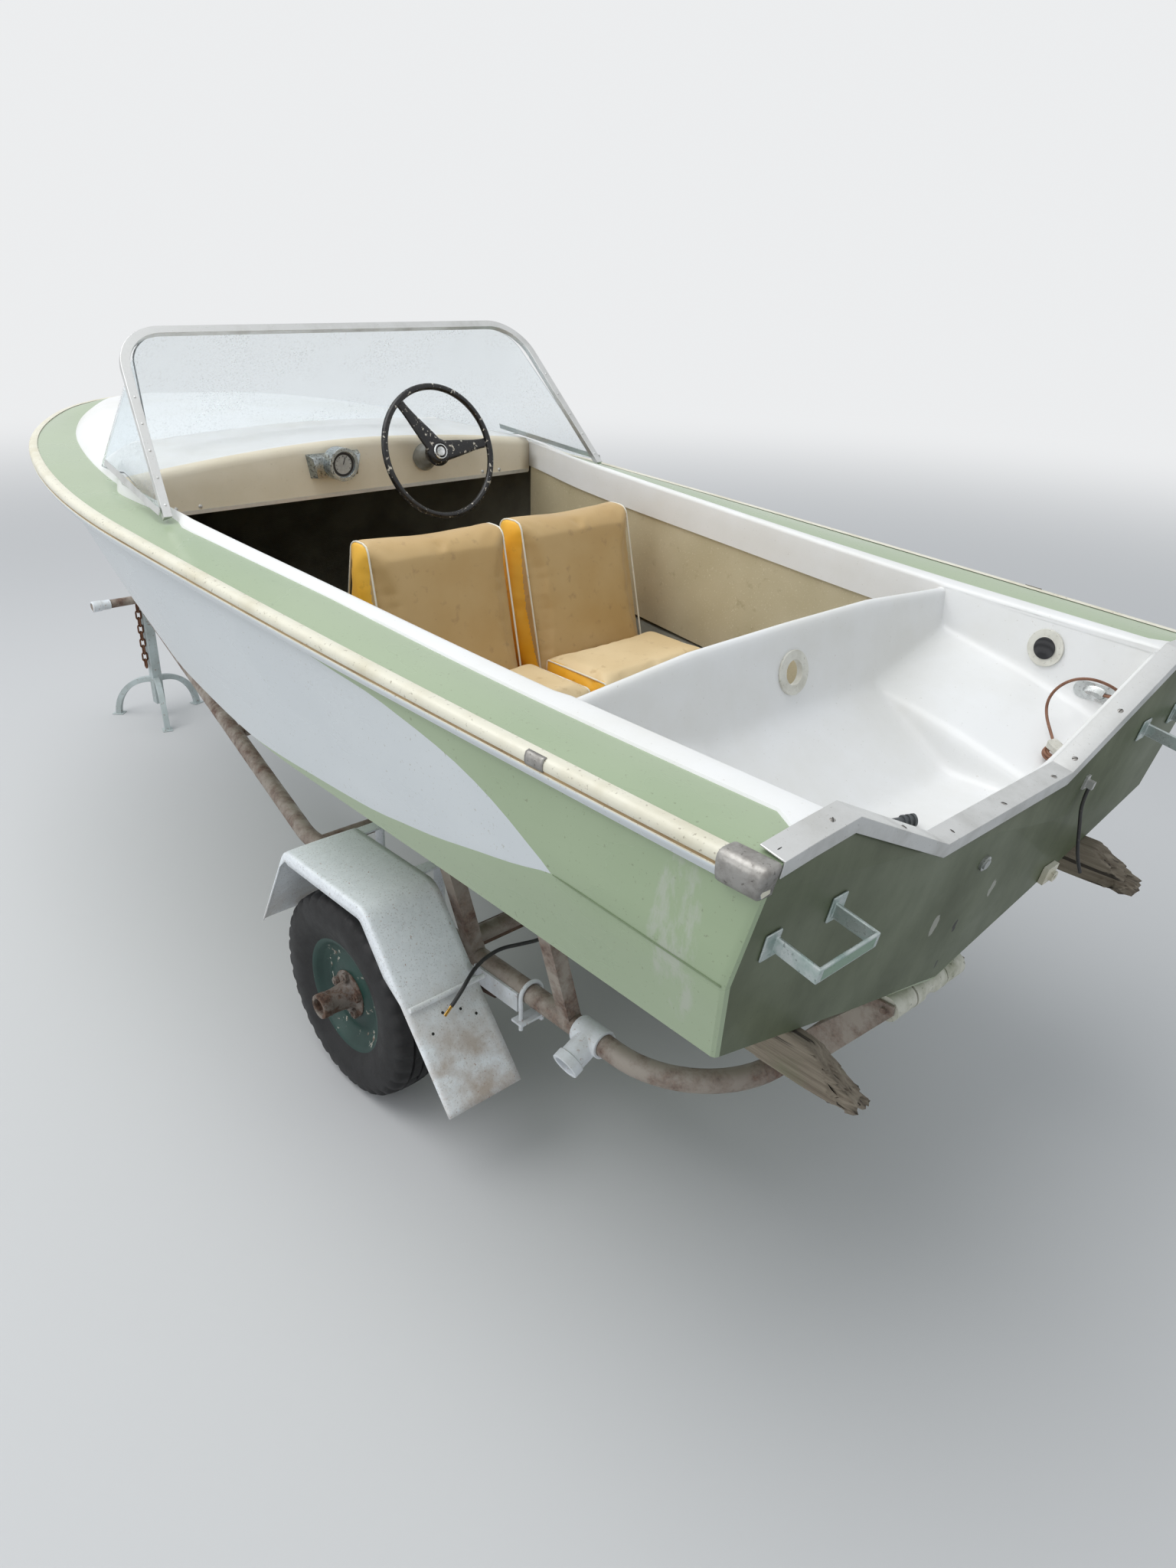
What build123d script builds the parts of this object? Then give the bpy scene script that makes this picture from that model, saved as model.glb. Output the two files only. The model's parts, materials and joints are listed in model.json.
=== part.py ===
"""Open runabout speedboat on its pipe-framed trailer, millimetres, +X forward, +Y port, +Z up.

The floor is z = 0 and the origin is the middle of the whole outfit on the floor.
Lengths along the boat are measured forward from the heel, where the keel meets the transom.
"""
import os
from math import atan, cos, hypot, radians, sin, sqrt, tan

from build123d import *

os.makedirs("parts", exist_ok=True)

# Placing of the boat
heel_x = -1822.0        # heel of the keel, from the middle of the outfit
heel_z = 594.0          # height of the keel at the heel
transom_rake = 0.2      # aft run of the transom for each unit of height

# Sheer: the edge where hull and deck meet, a sloping plane seen from the side
sheer_aft_s = -110.0
sheer_aft_y = 699.0
sheer_aft_z = 1142.0
sheer_rise = 0.0541
beam_s = 1726.0         # station of the greatest beam
beam_y = 750.0
bow_s = 3423.0          # tip of the bow
shoulder_s, shoulder_y = 2610.0, 628.0
cheek_s, cheek_y = 3175.0, 352.0

# Hull
skin = 6.0              # thickness of the hull and deck mouldings
transom_thick = 42.0

# Transom corners: half-breadth and height
chine_aft_y, chine_aft_z = 697.0, 810.0
knuckle_aft_y, knuckle_aft_z = 725.0, 956.0

# Motor cut-out in the transom
cutout_low_y, cutout_low_z = 210.0, 992.0
cutout_top_y, cutout_top_z = 531.0, 1158.0
capping_thick = 3.0

# Cockpit and well
dash_s = 1960.0
dash_low_z = 1200.0
coaming_lip = 90.0
floor_z = 720.0
floor_thick = 12.0
well_crease_s, well_foot_s = 185.0, 385.0
well_low_z, well_foot_z = 880.0, 1017.0
tray_y, shelf_y = 262.0, 275.0
bulkhead_lean = 0.176   # forward run of the bulkhead for each unit of height
grommet_z, grommet_hole_r = 1098.0, 24.5

# Windscreen
screen_end_s, screen_end_y, screen_end_z = 1663.0, 671.0, 1262.0
screen_top_y, screen_top_z = 604.0, 1640.0
screen_lean = 0.86      # forward run of the frame for each unit of height
screen_front_s = 2250.0
screen_front_z = 1350.0
screen_rake = 0.914     # aft run of the front pane for each unit of height
screen_corner_r = 130.0
pane_thick = 4.0
frame_wide = 20.0
frame_deep = 14.0

# Steering
helm_y = -240.0
wheel_hub_s, wheel_hub_z = 1882.0, 1304.0
wheel_face_tilt = 17.0  # degrees that the column slopes down and forward
steering_r = 180.0
steering_rim_r = 9.5

# Seats
seat_pair_y = -80.0     # middle of the pair of seats
seat_wide = 412.0
seat_gap = 14.0
seat_top_s, seat_top_z = 1412.0, 1212.0
seat_top_thick = 84.0
seat_foot_thick = 290.0
cushion_z = 880.0
cushion_thick = 90.0
cushion_long = 250.0

# Trailer
wheel_s = 1100.0
wheel_z = 252.5
tyre_r = 252.5
tyre_side_y = 651.0
tyre_wide = 132.0
pipe_r = 24.0
rail_y = 405.0
rail_z = 370.0
rail_front_s = 1650.0
rail_rear_s = 200.0
rear_bend_r = 230.0
nose_s, nose_z = 3640.0, 492.0
guard_in_y, guard_out_y = 486.0, 672.0
guard_top_z = 585.0
guard_thick = 3.0
running = 0.05          # radial clearance of a running fit
seat_clear = 0.3        # clearance where curved pieces sit on each other


def st(s):
    """x of a station s measured forward from the heel."""
    return heel_x + s


def sheer_z(s):
    return sheer_aft_z + sheer_rise * (s - sheer_aft_s)


def arc_through(s0, y0, angle, s1, y1):
    """Centre and radius of the arc that leaves (s0, y0) at angle below the x axis and ends at (s1, y1)."""
    chord = hypot(s1 - s0, y1 - y0)
    chord_angle = atan((y0 - y1) / (s1 - s0))
    turn = 2 * (chord_angle - angle)
    radius = chord / (2 * sin(turn / 2))
    centre = (s0 - radius * sin(angle), y0 - radius * cos(angle))
    return centre, radius, angle + turn


aft_r = ((beam_s - sheer_aft_s) ** 2 + (beam_y - sheer_aft_y) ** 2) / (2 * (beam_y - sheer_aft_y))
shoulder_arc = arc_through(beam_s, beam_y, 0.0, shoulder_s, shoulder_y)
cheek_arc = arc_through(shoulder_s, shoulder_y, shoulder_arc[2], cheek_s, cheek_y)
bow_arc = arc_through(cheek_s, cheek_y, cheek_arc[2], bow_s, 0.0)


def sheer_y(s):
    """Half-breadth of the sheer at a station, on four tangent arcs."""
    if s <= beam_s:
        return beam_y - aft_r + sqrt(aft_r**2 - (s - beam_s) ** 2)
    for (cx, cy), radius, end in ((shoulder_arc[0], shoulder_arc[1], shoulder_s),
                                  (cheek_arc[0], cheek_arc[1], cheek_s),
                                  (bow_arc[0], bow_arc[1], bow_s)):
        if s <= end:
            return cy + sqrt(radius**2 - (s - cx) ** 2)
    return 0.0


def cross_plane(s):
    """Plane square to the keel at a station: local x is port, local y is up."""
    return Plane(origin=(st(s), 0, 0), x_dir=(0, 1, 0), z_dir=(1, 0, 0))


rake_angle = atan(transom_rake)


def transom_plane(inset=0.0):
    """Plane of the transom, local x is port, local y is up the transom from the heel."""
    return Plane(
        origin=(heel_x + inset * cos(rake_angle), 0, heel_z + inset * sin(rake_angle)),
        x_dir=(0, 1, 0),
        z_dir=(cos(rake_angle), 0, sin(rake_angle)),
    )


def up_transom(z):
    """Distance up the transom of a height."""
    return (z - heel_z) / cos(rake_angle)


def mirrored(points):
    """Closed outline from its port half, listed from the middle outwards."""
    return points + [(-y, z) for y, z in reversed(points) if y > 0]


# Sections of the moulded boat. Columns: station, keel height, chine half-breadth and height,
# knuckle half-breadth and height, coaming half-breadth and height, crown height of the deck
sections = [
    (450, 599, 700, 832, 735, 997, 562, 1180, 1190),
    (1100, 608, 700, 850, 738, 1030, 594, 1226, 1240),
    (1700, 620, 650, 876, 716, 1058, 625, 1274, 1296),
    (1960, 630, 606, 898, 690, 1077, 640, 1308, 1345),
    (2250, 649, 530, 930, 632, 1101, 490, 1345, 1366),
    (2500, 674, 448, 961, 561, 1125, 425, 1362, 1380),
    (2700, 706, 372, 991, 494, 1145, 372, 1368, 1382),
    (2880, 747, 288, 1024, 417, 1166, 318, 1368, 1379),
    (3030, 802, 208, 1056, 335, 1186, 260, 1364, 1371),
    (3160, 872, 133, 1090, 250, 1208, 200, 1356, 1361),
    (3270, 968, 74, 1130, 165, 1232, 140, 1347, 1350),
    (3350, 1085, 36, 1180, 95, 1258, 80, 1341, 1343),
    (3395, 1200, 16, 1240, 42, 1284, 36, 1339, 1340),
    (3416, 1285, 5, 1298, 12, 1312, 8, 1337, 1338),
]
rail_deep = 20.0
room_ends = 3270        # last station where the hull is hollow
crease_in, crease_up = 82.0, 16.0
rail_part = 0.21        # share of the topside, from sheer to knuckle, behind the rub rail
aft_section = (0, heel_z, chine_aft_y, chine_aft_z, knuckle_aft_y, knuckle_aft_z, 540, 1157, 1159)


def sheer_at(row):
    """Half-breadth and height of the sheer for a section row; the aft row is the transom."""
    if row is aft_section:
        return sheer_aft_y, sheer_aft_z
    return sheer_y(row[0]), sheer_z(row[0])


def hull_points(row):
    _, keel, cy, cz, ky, kz, *_ = row
    return mirrored([(0, keel), (cy, cz), (ky, kz), sheer_at(row)])


def hull_room_points(row):
    _, keel, cy, cz, ky, kz, *_ = row
    sy, sz = sheer_at(row)
    return mirrored([(0, keel + 2 * skin), (cy - skin, cz + skin), (ky - skin, kz), (sy - skin, sz),
                     (sy - skin, sz + 60)])


def deck_points(row):
    coam_y, coam_z, crown = row[6:]
    sy, sz = sheer_at(row)
    crease_y = max(sy - crease_in, (sy + coam_y) / 2)
    return mirrored([(0, crown), (coam_y, coam_z), (crease_y, sz + min(crease_up, 0.6 * (coam_z - sz))),
                     (sy, sz)])


def deck_room_points(row):
    coam_y, coam_z, crown = row[6:]
    sy, sz = sheer_at(row)
    crease_y = max(sy - crease_in, (sy + coam_y) / 2)
    return mirrored([(0, crown - skin), (coam_y, coam_z - skin),
                     (crease_y - 4, sz + min(crease_up, 0.6 * (coam_z - sz)) - skin), (sy - 16, sz - 3),
                     (sy - 16, sz - 60)])


def rail_points(row, side):
    _, _, _, _, ky, kz, *_ = row
    sy, sz = sheer_at(row)
    low_y, low_z = sy + (ky - sy) * rail_part, sz + (kz - sz) * rail_part
    deep = rail_deep
    outline = [(sy, sz), (sy, sz + 3), (sy + deep - 6, sz + 3), (sy + deep, sz - 5), (sy + deep, sz - 26),
               (sy + deep - 7, low_z), (low_y, low_z)]
    return [(side * y, z) for y, z in outline]


def section_faces(points_of, rows, side=None):
    """Faces of a form on the transom plane and on each section plane, ready to be lofted."""
    faces = []
    for row in [aft_section] + rows:
        on_transom = row is aft_section
        outline = points_of(row) if side is None else points_of(row, side)
        with BuildSketch(transom_plane() if on_transom else cross_plane(row[0])) as section:
            with BuildLine():
                Polyline([(y, up_transom(z) if on_transom else z) for y, z in outline], close=True)
            make_face()
        faces.append(section.sketch.face())
    return faces


hollow_rows = [row for row in sections if row[0] <= room_ends]
with BuildPart() as hull_body:
    loft(section_faces(hull_points, sections), ruled=True)

with BuildPart() as hull_room:
    loft(section_faces(hull_room_points, hollow_rows), ruled=True)
    split(bisect_by=transom_plane(transom_thick), keep=Keep.TOP)

motor_cutout = [(cutout_low_y, cutout_low_z), (cutout_top_y, cutout_top_z),
                (cutout_top_y, cutout_top_z + 100)]

with BuildPart() as hull_shell:
    add(hull_body.part)
    add(hull_room.part, mode=Mode.SUBTRACT)
    with BuildSketch(transom_plane(-60)):
        with BuildLine():
            Polyline([(y, up_transom(z)) for y, z in motor_cutout]
                     + [(-y, up_transom(z)) for y, z in reversed(motor_cutout)], close=True)
        make_face()
    extrude(amount=160, mode=Mode.SUBTRACT)
hull_shell.part.label = "hull_shell"
export_step(hull_shell.part, "parts/hull_shell.step")

# Deck: a moulding with the cockpit and the well as one opening as wide as the coaming
coaming_rows = [row for row in sections if row[0] <= dash_s]
with BuildPart() as deck_moulding:
    loft(section_faces(deck_points, sections), ruled=True)
    loft(section_faces(deck_room_points, hollow_rows), ruled=True, mode=Mode.SUBTRACT)
    with BuildSketch(Plane.XY.offset(sheer_aft_z - 100)):
        with BuildLine():
            line = [(sheer_aft_s - 60, 538)] + [(row[0], row[6]) for row in coaming_rows]
            Polyline([(st(s), y) for s, y in line] + [(st(s), -y) for s, y in reversed(line)], close=True)
        make_face()
    extrude(amount=600, mode=Mode.SUBTRACT)
    # lips that hang from the coaming into the cockpit
    for side in (1, -1):
        for row in coaming_rows:
            y, z = row[6:8]
            with BuildSketch(cross_plane(row[0])):
                with BuildLine():
                    Polyline([(side * y, z - 2), (side * y, z - coaming_lip),
                              (side * (y + skin), z - coaming_lip),
                              (side * (y + skin), z - 2)], close=True)
                make_face()
        loft(ruled=True)
    # dash: face that hangs from the aft edge of the foredeck
    with BuildSketch(cross_plane(dash_s)):
        with BuildLine():
            Polyline([(636, 1306), (636, dash_low_z), (-636, dash_low_z), (-636, 1306), (0, 1343)],
                     close=True)
        make_face()
    extrude(amount=skin)
deck_moulding.part.label = "deck_moulding"
export_step(deck_moulding.part, "parts/deck_moulding.step")

# Motor well: a tray that falls from the bulkhead to a low floor, with a raised shelf on each side.
# Columns: station, height of the tray, height of the shelf's inner edge, wall foot half-breadth and height
well_rows = [
    (-100, well_low_z, 912, 523, 967),
    (well_crease_s, well_low_z, 968, 531.8, 1035.2),
    (well_foot_s, well_foot_z, well_foot_z + 1, 538, 1083),
    (well_foot_s + 75, well_foot_z, well_foot_z + 1, 540.3, 1101),
]
wall_clear = 0.3        # gap between the well's walls and the edge of the deck opening


def opening_y(s):
    """Half-breadth of the deck opening beside the well."""
    return 538 + (562 - 538) * (s - sheer_aft_s + 60) / (450 - sheer_aft_s + 60)


def opening_z(s):
    """Height of the coaming beside the well."""
    return 1157 + (1180 - 1157) * (s + 112.6) / (450 + 112.6)


def well_points(row, grow, above):
    """Outline of the well at a row: its inner face, or that face grown by the thickness of the moulding."""
    s, tray, shelf, wall_y, wall_z = row
    top_y = opening_y(s) - wall_clear - skin + grow
    outline = [(0, tray - grow), (tray_y + grow, tray - grow), (shelf_y + grow, shelf - grow),
               (wall_y + grow, wall_z - grow), (top_y, opening_z(s))]
    if above:
        outline.append((top_y, opening_z(s) + above))
    return mirrored(outline)


def well_faces(grow, above):
    faces = []
    for row in well_rows:
        with BuildSketch(cross_plane(row[0])) as section:
            with BuildLine():
                Polyline(well_points(row, grow, above), close=True)
            make_face()
        faces.append(section.sketch.face())
    return faces


def bulkhead_plane(forward=0.0):
    """Plane of the bulkhead's aft face, or one forward of it, facing forward and down."""
    tilt = hypot(1, bulkhead_lean)
    origin = (st(well_foot_s) + forward / tilt, 0, well_foot_z - forward * bulkhead_lean / tilt)
    return Plane(origin=origin, x_dir=(0, 1, 0), z_dir=(1, 0, -bulkhead_lean))


with BuildPart() as well_room:
    loft(well_faces(0.0, 90), ruled=True)
    split(bisect_by=transom_plane(transom_thick + seat_clear + skin), keep=Keep.TOP)
    split(bisect_by=bulkhead_plane(), keep=Keep.BOTTOM)

grommet_s = well_foot_s + (grommet_z - well_foot_z) * bulkhead_lean
grommet_face = Plane(origin=(st(grommet_s), 0, grommet_z), x_dir=(0, 1, 0), z_dir=(-1, 0, bulkhead_lean))
with BuildPart() as motor_well:
    loft(well_faces(skin, 0), ruled=True)
    split(bisect_by=transom_plane(transom_thick + seat_clear), keep=Keep.TOP)
    split(bisect_by=bulkhead_plane(skin), keep=Keep.BOTTOM)
    # lip along the top of the bulkhead
    with BuildSketch(cross_plane(409)):
        with BuildLine():
            Polyline(mirrored([(0, 1193), (260, 1191), (470, 1180), (557, 1168), (557, 1148)]), close=True)
        make_face()
    extrude(amount=24)
    add(well_room.part, mode=Mode.SUBTRACT)
    with BuildSketch(transom_plane(-60)):
        with BuildLine():
            Polyline([(y, up_transom(z)) for y, z in motor_cutout]
                     + [(-y, up_transom(z)) for y, z in reversed(motor_cutout)], close=True)
        make_face()
    extrude(amount=160, mode=Mode.SUBTRACT)
    # hole for the centre grommet in the bulkhead
    with BuildSketch(grommet_face.offset(30)):
        Circle(grommet_hole_r + 2.3)
    extrude(amount=-80, mode=Mode.SUBTRACT)
motor_well.part.label = "motor_well"
export_step(motor_well.part, "parts/motor_well.step")

# Cockpit floor, cut to the inside of the hull
with BuildPart() as cockpit_floor:
    with BuildSketch(Plane.XY.offset(floor_z)):
        with Locations((st(1300), 0)):
            Rectangle(1900, 1300)
    extrude(amount=floor_thick)
    add(hull_room.part, mode=Mode.INTERSECT)
cockpit_floor.part.label = "cockpit_floor"
export_step(cockpit_floor.part, "parts/cockpit_floor.step")

# Rub rail: a band of constant section that follows the sheer, closed by a nose over the stem
with BuildPart() as rub_rail:
    for side in (1, -1):
        loft(section_faces(rail_points, sections, side), ruled=True)
    tip_y, tip_z = sheer_at(sections[-1])
    for s, half in ((sections[-1][0], tip_y + rail_deep), (bow_s + 6, tip_y + 6), (bow_s + rail_deep, 6)):
        with BuildSketch(cross_plane(s)):
            with BuildLine():
                Polyline([(half, tip_z + 3), (half, tip_z - 26), (half - 4, tip_z - 36),
                          (-half + 4, tip_z - 36),
                          (-half, tip_z - 26), (-half, tip_z + 3)], close=True)
            make_face()
    loft(ruled=True)
rub_rail.part.label = "rub_rail"
export_step(rub_rail.part, "parts/rub_rail.step")

# Rail end caps: castings over the aft ends of the rub rail
cap_long, cap_grow, cap_thick = 74.0, 4.0, 3.0
with BuildPart() as rail_end_caps:
    for side in (1, -1):
        with BuildSketch(transom_plane(-cap_thick)):
            with BuildLine():
                Polyline([(side * y, up_transom(z)) for y, z in
                          [(sheer_aft_y - 12, sheer_aft_z - 46), (sheer_aft_y - 12, sheer_aft_z - 2),
                           (sheer_aft_y + rail_deep + cap_grow, sheer_aft_z - 2),
                           (sheer_aft_y + rail_deep + cap_grow, sheer_aft_z - 46)]], close=True)
            make_face()
        extrude(amount=cap_thick)
        # cup that wraps the rail's outer face
        with BuildSketch(transom_plane()):
            with BuildLine():
                Polyline([(side * y, up_transom(z)) for y, z in
                          [(sheer_aft_y + rail_deep + 0.6, sheer_aft_z - 46),
                           (sheer_aft_y + rail_deep + 0.6, sheer_aft_z - 2),
                           (sheer_aft_y + rail_deep + cap_grow, sheer_aft_z - 6),
                           (sheer_aft_y + rail_deep + cap_grow, sheer_aft_z - 42)]], close=True)
            make_face()
        with BuildSketch(cross_plane(sheer_aft_s + cap_long)):
            with BuildLine():
                base_y = sheer_y(sheer_aft_s + cap_long) + rail_deep
                base_z = sheer_z(sheer_aft_s + cap_long)
                Polyline([(side * y, z) for y, z in
                          [(base_y + 0.6, base_z - 42), (base_y + 0.6, base_z - 4),
                           (base_y + cap_grow, base_z - 8), (base_y + cap_grow, base_z - 38)]], close=True)
            make_face()
        loft(ruled=True)
rail_end_caps.part.label = "rail_end_caps"
export_step(rail_end_caps.part, "parts/rail_end_caps.step")

# Aluminium capping: an angle along the top of the transom, with the bends of the motor cut-out
capping_line = [(sheer_aft_y - 14, sheer_aft_z + 5), (617, 1154), (cutout_top_y, cutout_top_z + 2),
                (cutout_low_y, cutout_low_z)]
capping_drop = 24.0


def capping_outline(rise, drop):
    """Band over the transom edge between a rise above it and a drop below it."""
    port = [(y, z + rise) for y, z in capping_line]
    low = [(y, z - drop) for y, z in capping_line]
    return (port + [(-y, z) for y, z in reversed(port)]
            + [(-y, z) for y, z in low] + [(y, z) for y, z in reversed(low)])


with BuildPart() as transom_capping:
    with BuildSketch(transom_plane(-capping_thick)):
        with BuildLine():
            Polyline([(y, up_transom(z)) for y, z in capping_outline(capping_thick, capping_drop)],
                     close=True)
        make_face()
    extrude(amount=capping_thick - 0.1)
    with BuildSketch(transom_plane(-capping_thick)):
        with BuildLine():
            Polyline([(y, up_transom(z)) for y, z in capping_outline(capping_thick, -0.4)], close=True)
        make_face()
    extrude(amount=transom_thick)
transom_capping.part.label = "transom_capping"
export_step(transom_capping.part, "parts/transom_capping.step")


def on_transom(y, z, out=0.0):
    """Location on the outer face of the transom; local z points aft."""
    base = transom_plane()
    origin = base.from_local_coords(Vector(y, up_transom(z), -out))
    return Plane(origin=origin, x_dir=(0, 1, 0), z_dir=-base.z_dir)


# Lift handles: a bent strap on two foot pads
handle_span, handle_out, handle_wide, handle_thick = 146.0, 78.0, 26.0, 6.0
handle_y, handle_z = 580.0, 1000.0
for side, name in ((1, "transom_handle_port"), (-1, "transom_handle_starboard")):
    with BuildPart() as transom_handle:
        with Locations(Location(on_transom(side * handle_y, handle_z))):
            with Locations((handle_span / 2, 0, 2), (-handle_span / 2, 0, 2)):
                Box(34, 46, 4)
            with Locations((handle_span / 2 - 8, 0, handle_out / 2),
                           (-handle_span / 2 + 8, 0, handle_out / 2)):
                Box(handle_thick, handle_wide, handle_out)
            with Locations((0, 0, handle_out - handle_thick / 2)):
                Box(handle_span - 16 + handle_thick, handle_wide, handle_thick)
    transom_handle.part.label = name
    export_step(transom_handle.part, f"parts/{name}.step")

# Chrome drain bung, square fitting and the eye of the tube on the transom
with BuildPart() as transom_bung:
    with Locations(Location(on_transom(21, 882))):
        Cylinder(15, 5, align=(Align.CENTER, Align.CENTER, Align.MIN))
        with Locations((0, 0, 5)):
            Cylinder(10, 3, align=(Align.CENTER, Align.CENTER, Align.MIN))
            Box(18, 3, 1.6, align=(Align.CENTER, Align.CENTER, Align.MIN), mode=Mode.SUBTRACT)
transom_bung.part.label = "transom_bung"
export_step(transom_bung.part, "parts/transom_bung.step")

with BuildPart() as transom_fitting:
    with Locations(Location(on_transom(-341, 715))):
        Box(44, 40, 12, align=(Align.CENTER, Align.CENTER, Align.MIN))
        with Locations((0, 0, 12)):
            Cylinder(12, 9, align=(Align.CENTER, Align.CENTER, Align.MIN))
        with Locations((0, 0, 21)):
            Hole(5, depth=12)
transom_fitting.part.label = "transom_fitting"
export_step(transom_fitting.part, "parts/transom_fitting.step")

# Windscreen: the pane is a raked, wrapped sheet trimmed by the leaning plane of its frame
screen_plane = Plane(origin=(st(screen_end_s), 0, screen_end_z), x_dir=(0, 1, 0), z_dir=(1, 0, -screen_lean))
screen_slope = (screen_top_z - screen_end_z) * hypot(1, screen_lean)
side_lean = (screen_end_y - screen_top_y) / (screen_top_z - screen_end_z)


def screen_region(z, inset):
    """Filled plan of the screen at a height: two sides that close in forward, a rounded front."""
    front = screen_front_s - (z - screen_front_z) * screen_rake - inset
    aft_half = screen_end_y - (z - screen_end_z) * side_lean - inset
    fore_half = aft_half - 0.115 * (front - screen_end_s)
    return front, aft_half, fore_half


def screen_solid(inset):
    faces = []
    for z in (screen_end_z - 30, screen_top_z + 20):
        front, aft_half, fore_half = screen_region(z, inset)
        with BuildSketch(Plane.XY.offset(z)) as level:
            with BuildLine():
                Polyline([(st(screen_end_s - 80), aft_half + 9), (st(front), fore_half),
                          (st(front), -fore_half),
                          (st(screen_end_s - 80), -aft_half - 9)], close=True)
            make_face()
            fillet(level.vertices().group_by(Axis.X)[-1], radius=screen_corner_r - inset)
        faces.append(level.sketch.face())
    return faces


with BuildPart() as deck_solid:
    loft(section_faces(deck_points, sections), ruled=True)

with BuildPart() as windscreen_pane:
    loft(screen_solid(0.0), ruled=True)
    loft(screen_solid(pane_thick), ruled=True, mode=Mode.SUBTRACT)
    split(bisect_by=screen_plane.offset(frame_deep / 2), keep=Keep.TOP)
    split(bisect_by=Plane.XY.offset(screen_top_z - 6), keep=Keep.BOTTOM)
    add(deck_solid.part, mode=Mode.SUBTRACT)
    add(deck_moulding.part, mode=Mode.SUBTRACT)
    split(bisect_by=Plane.XY.offset(screen_end_z + 12), keep=Keep.TOP)
windscreen_pane.part.label = "windscreen_pane"
export_step(windscreen_pane.part, "parts/windscreen_pane.step")

def frame_outline(inside, radius):
    """Outline of the frame in its own plane, drawn inside its outer edge by a given width."""
    with BuildSketch() as outline:
        with BuildLine():
            foot_y, top_y, top = screen_end_y + 4 - inside, screen_top_y + 4 - inside, screen_slope - inside
            foot = -1.0 if inside else 0.0
            Polyline([(foot_y, foot), (top_y, top), (-top_y, top), (-foot_y, foot)], close=True)
        make_face()
        fillet(outline.vertices().group_by(Axis.Y)[-1], radius=radius)
    return outline.sketch


with BuildPart() as windscreen_frame:
    with BuildSketch(screen_plane.offset(-frame_deep / 2)):
        add(frame_outline(0.0, screen_corner_r))
        add(frame_outline(frame_wide, screen_corner_r - frame_wide), mode=Mode.SUBTRACT)
    extrude(amount=frame_deep)
    add(deck_moulding.part, mode=Mode.SUBTRACT)
windscreen_frame.part.label = "windscreen_frame"
export_step(windscreen_frame.part, "parts/windscreen_frame.step")

# Instrument in the dash: a sloping housing with a round bezel
gauge_y, gauge_z = 64.0, 1293.0
with BuildPart() as gauge_housing:
    with BuildSketch(cross_plane(dash_s)):
        with BuildLine():
            Polyline([(gauge_y + 82, gauge_z + 26), (gauge_y - 82, gauge_z + 26),
                      (gauge_y - 70, gauge_z - 38),
                      (gauge_y + 70, gauge_z - 38)], close=True)
        make_face()
    with BuildSketch(cross_plane(dash_s - 26)):
        with BuildLine():
            Polyline([(gauge_y + 74, gauge_z + 18), (gauge_y - 74, gauge_z + 18),
                      (gauge_y - 62, gauge_z - 36),
                      (gauge_y + 62, gauge_z - 36)], close=True)
        make_face()
    loft(ruled=True)
    with Locations(Location(Plane(origin=(st(dash_s - 20), gauge_y, gauge_z), x_dir=(0, 1, 0),
                                  z_dir=(-1, 0, 0)))):
        Cylinder(44, 42, align=(Align.CENTER, Align.CENTER, Align.MIN))
        with Locations((0, 0, 42)):
            Hole(34, depth=22)
gauge_housing.part.label = "gauge_housing"
export_step(gauge_housing.part, "parts/gauge_housing.step")

with BuildPart() as gauge_dial:
    with Locations(Location(Plane(origin=(st(dash_s - 40.3), gauge_y, gauge_z), x_dir=(0, 1, 0),
                                  z_dir=(-1, 0, 0)))):
        Cylinder(33.7, 4, align=(Align.CENTER, Align.CENTER, Align.MIN))
        with Locations((0, 0, 14)):
            Cylinder(33.7, 2, align=(Align.CENTER, Align.CENTER, Align.MIN))
gauge_dial.part.label = "gauge_dial"
export_step(gauge_dial.part, "parts/gauge_dial.step")

# Steering: a cone boss on the dash, a column, and the wheel that turns on it
column_dir = Vector(-cos(radians(wheel_face_tilt)), 0, sin(radians(wheel_face_tilt)))
hub_centre = Vector(st(wheel_hub_s), helm_y, wheel_hub_z)
wheel_plane = Plane(origin=hub_centre, x_dir=(0, -1, 0), z_dir=column_dir)
dash_gap = (dash_s - wheel_hub_s) / cos(radians(wheel_face_tilt))
column_r = 9.0
with BuildPart() as steering_boss:
    with BuildSketch(wheel_plane.offset(-dash_gap)):
        Circle(40)
    with BuildSketch(wheel_plane.offset(-32)):
        Circle(26)
    loft()
    with BuildSketch(wheel_plane.offset(-32)):
        Circle(column_r)
    extrude(amount=30)
    split(bisect_by=Plane(origin=(st(dash_s), 0, 0), z_dir=(1, 0, 0)), keep=Keep.BOTTOM)
steering_boss.part.label = "steering_boss"
export_step(steering_boss.part, "parts/steering_boss.step")

with BuildPart() as steering_wheel:
    with Locations(Location(wheel_plane)):
        Torus(steering_r, steering_rim_r)
        with Locations((0, 0, -30)):
            Cylinder(30, 34, align=(Align.CENTER, Align.CENTER, Align.MIN))
        with Locations((0, 0, 4)):
            Hole(column_r + running, depth=40)
        for angle in (125, 4):
            with Locations(Location((0, 0, -6), (0, 0, angle))):
                with Locations((steering_r / 2 + 4, 0, 0)):
                    Box(steering_r - 14, 26, 9)
steering_wheel.part.label = "steering_wheel"
export_step(steering_wheel.part, "parts/steering_wheel.step")

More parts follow.
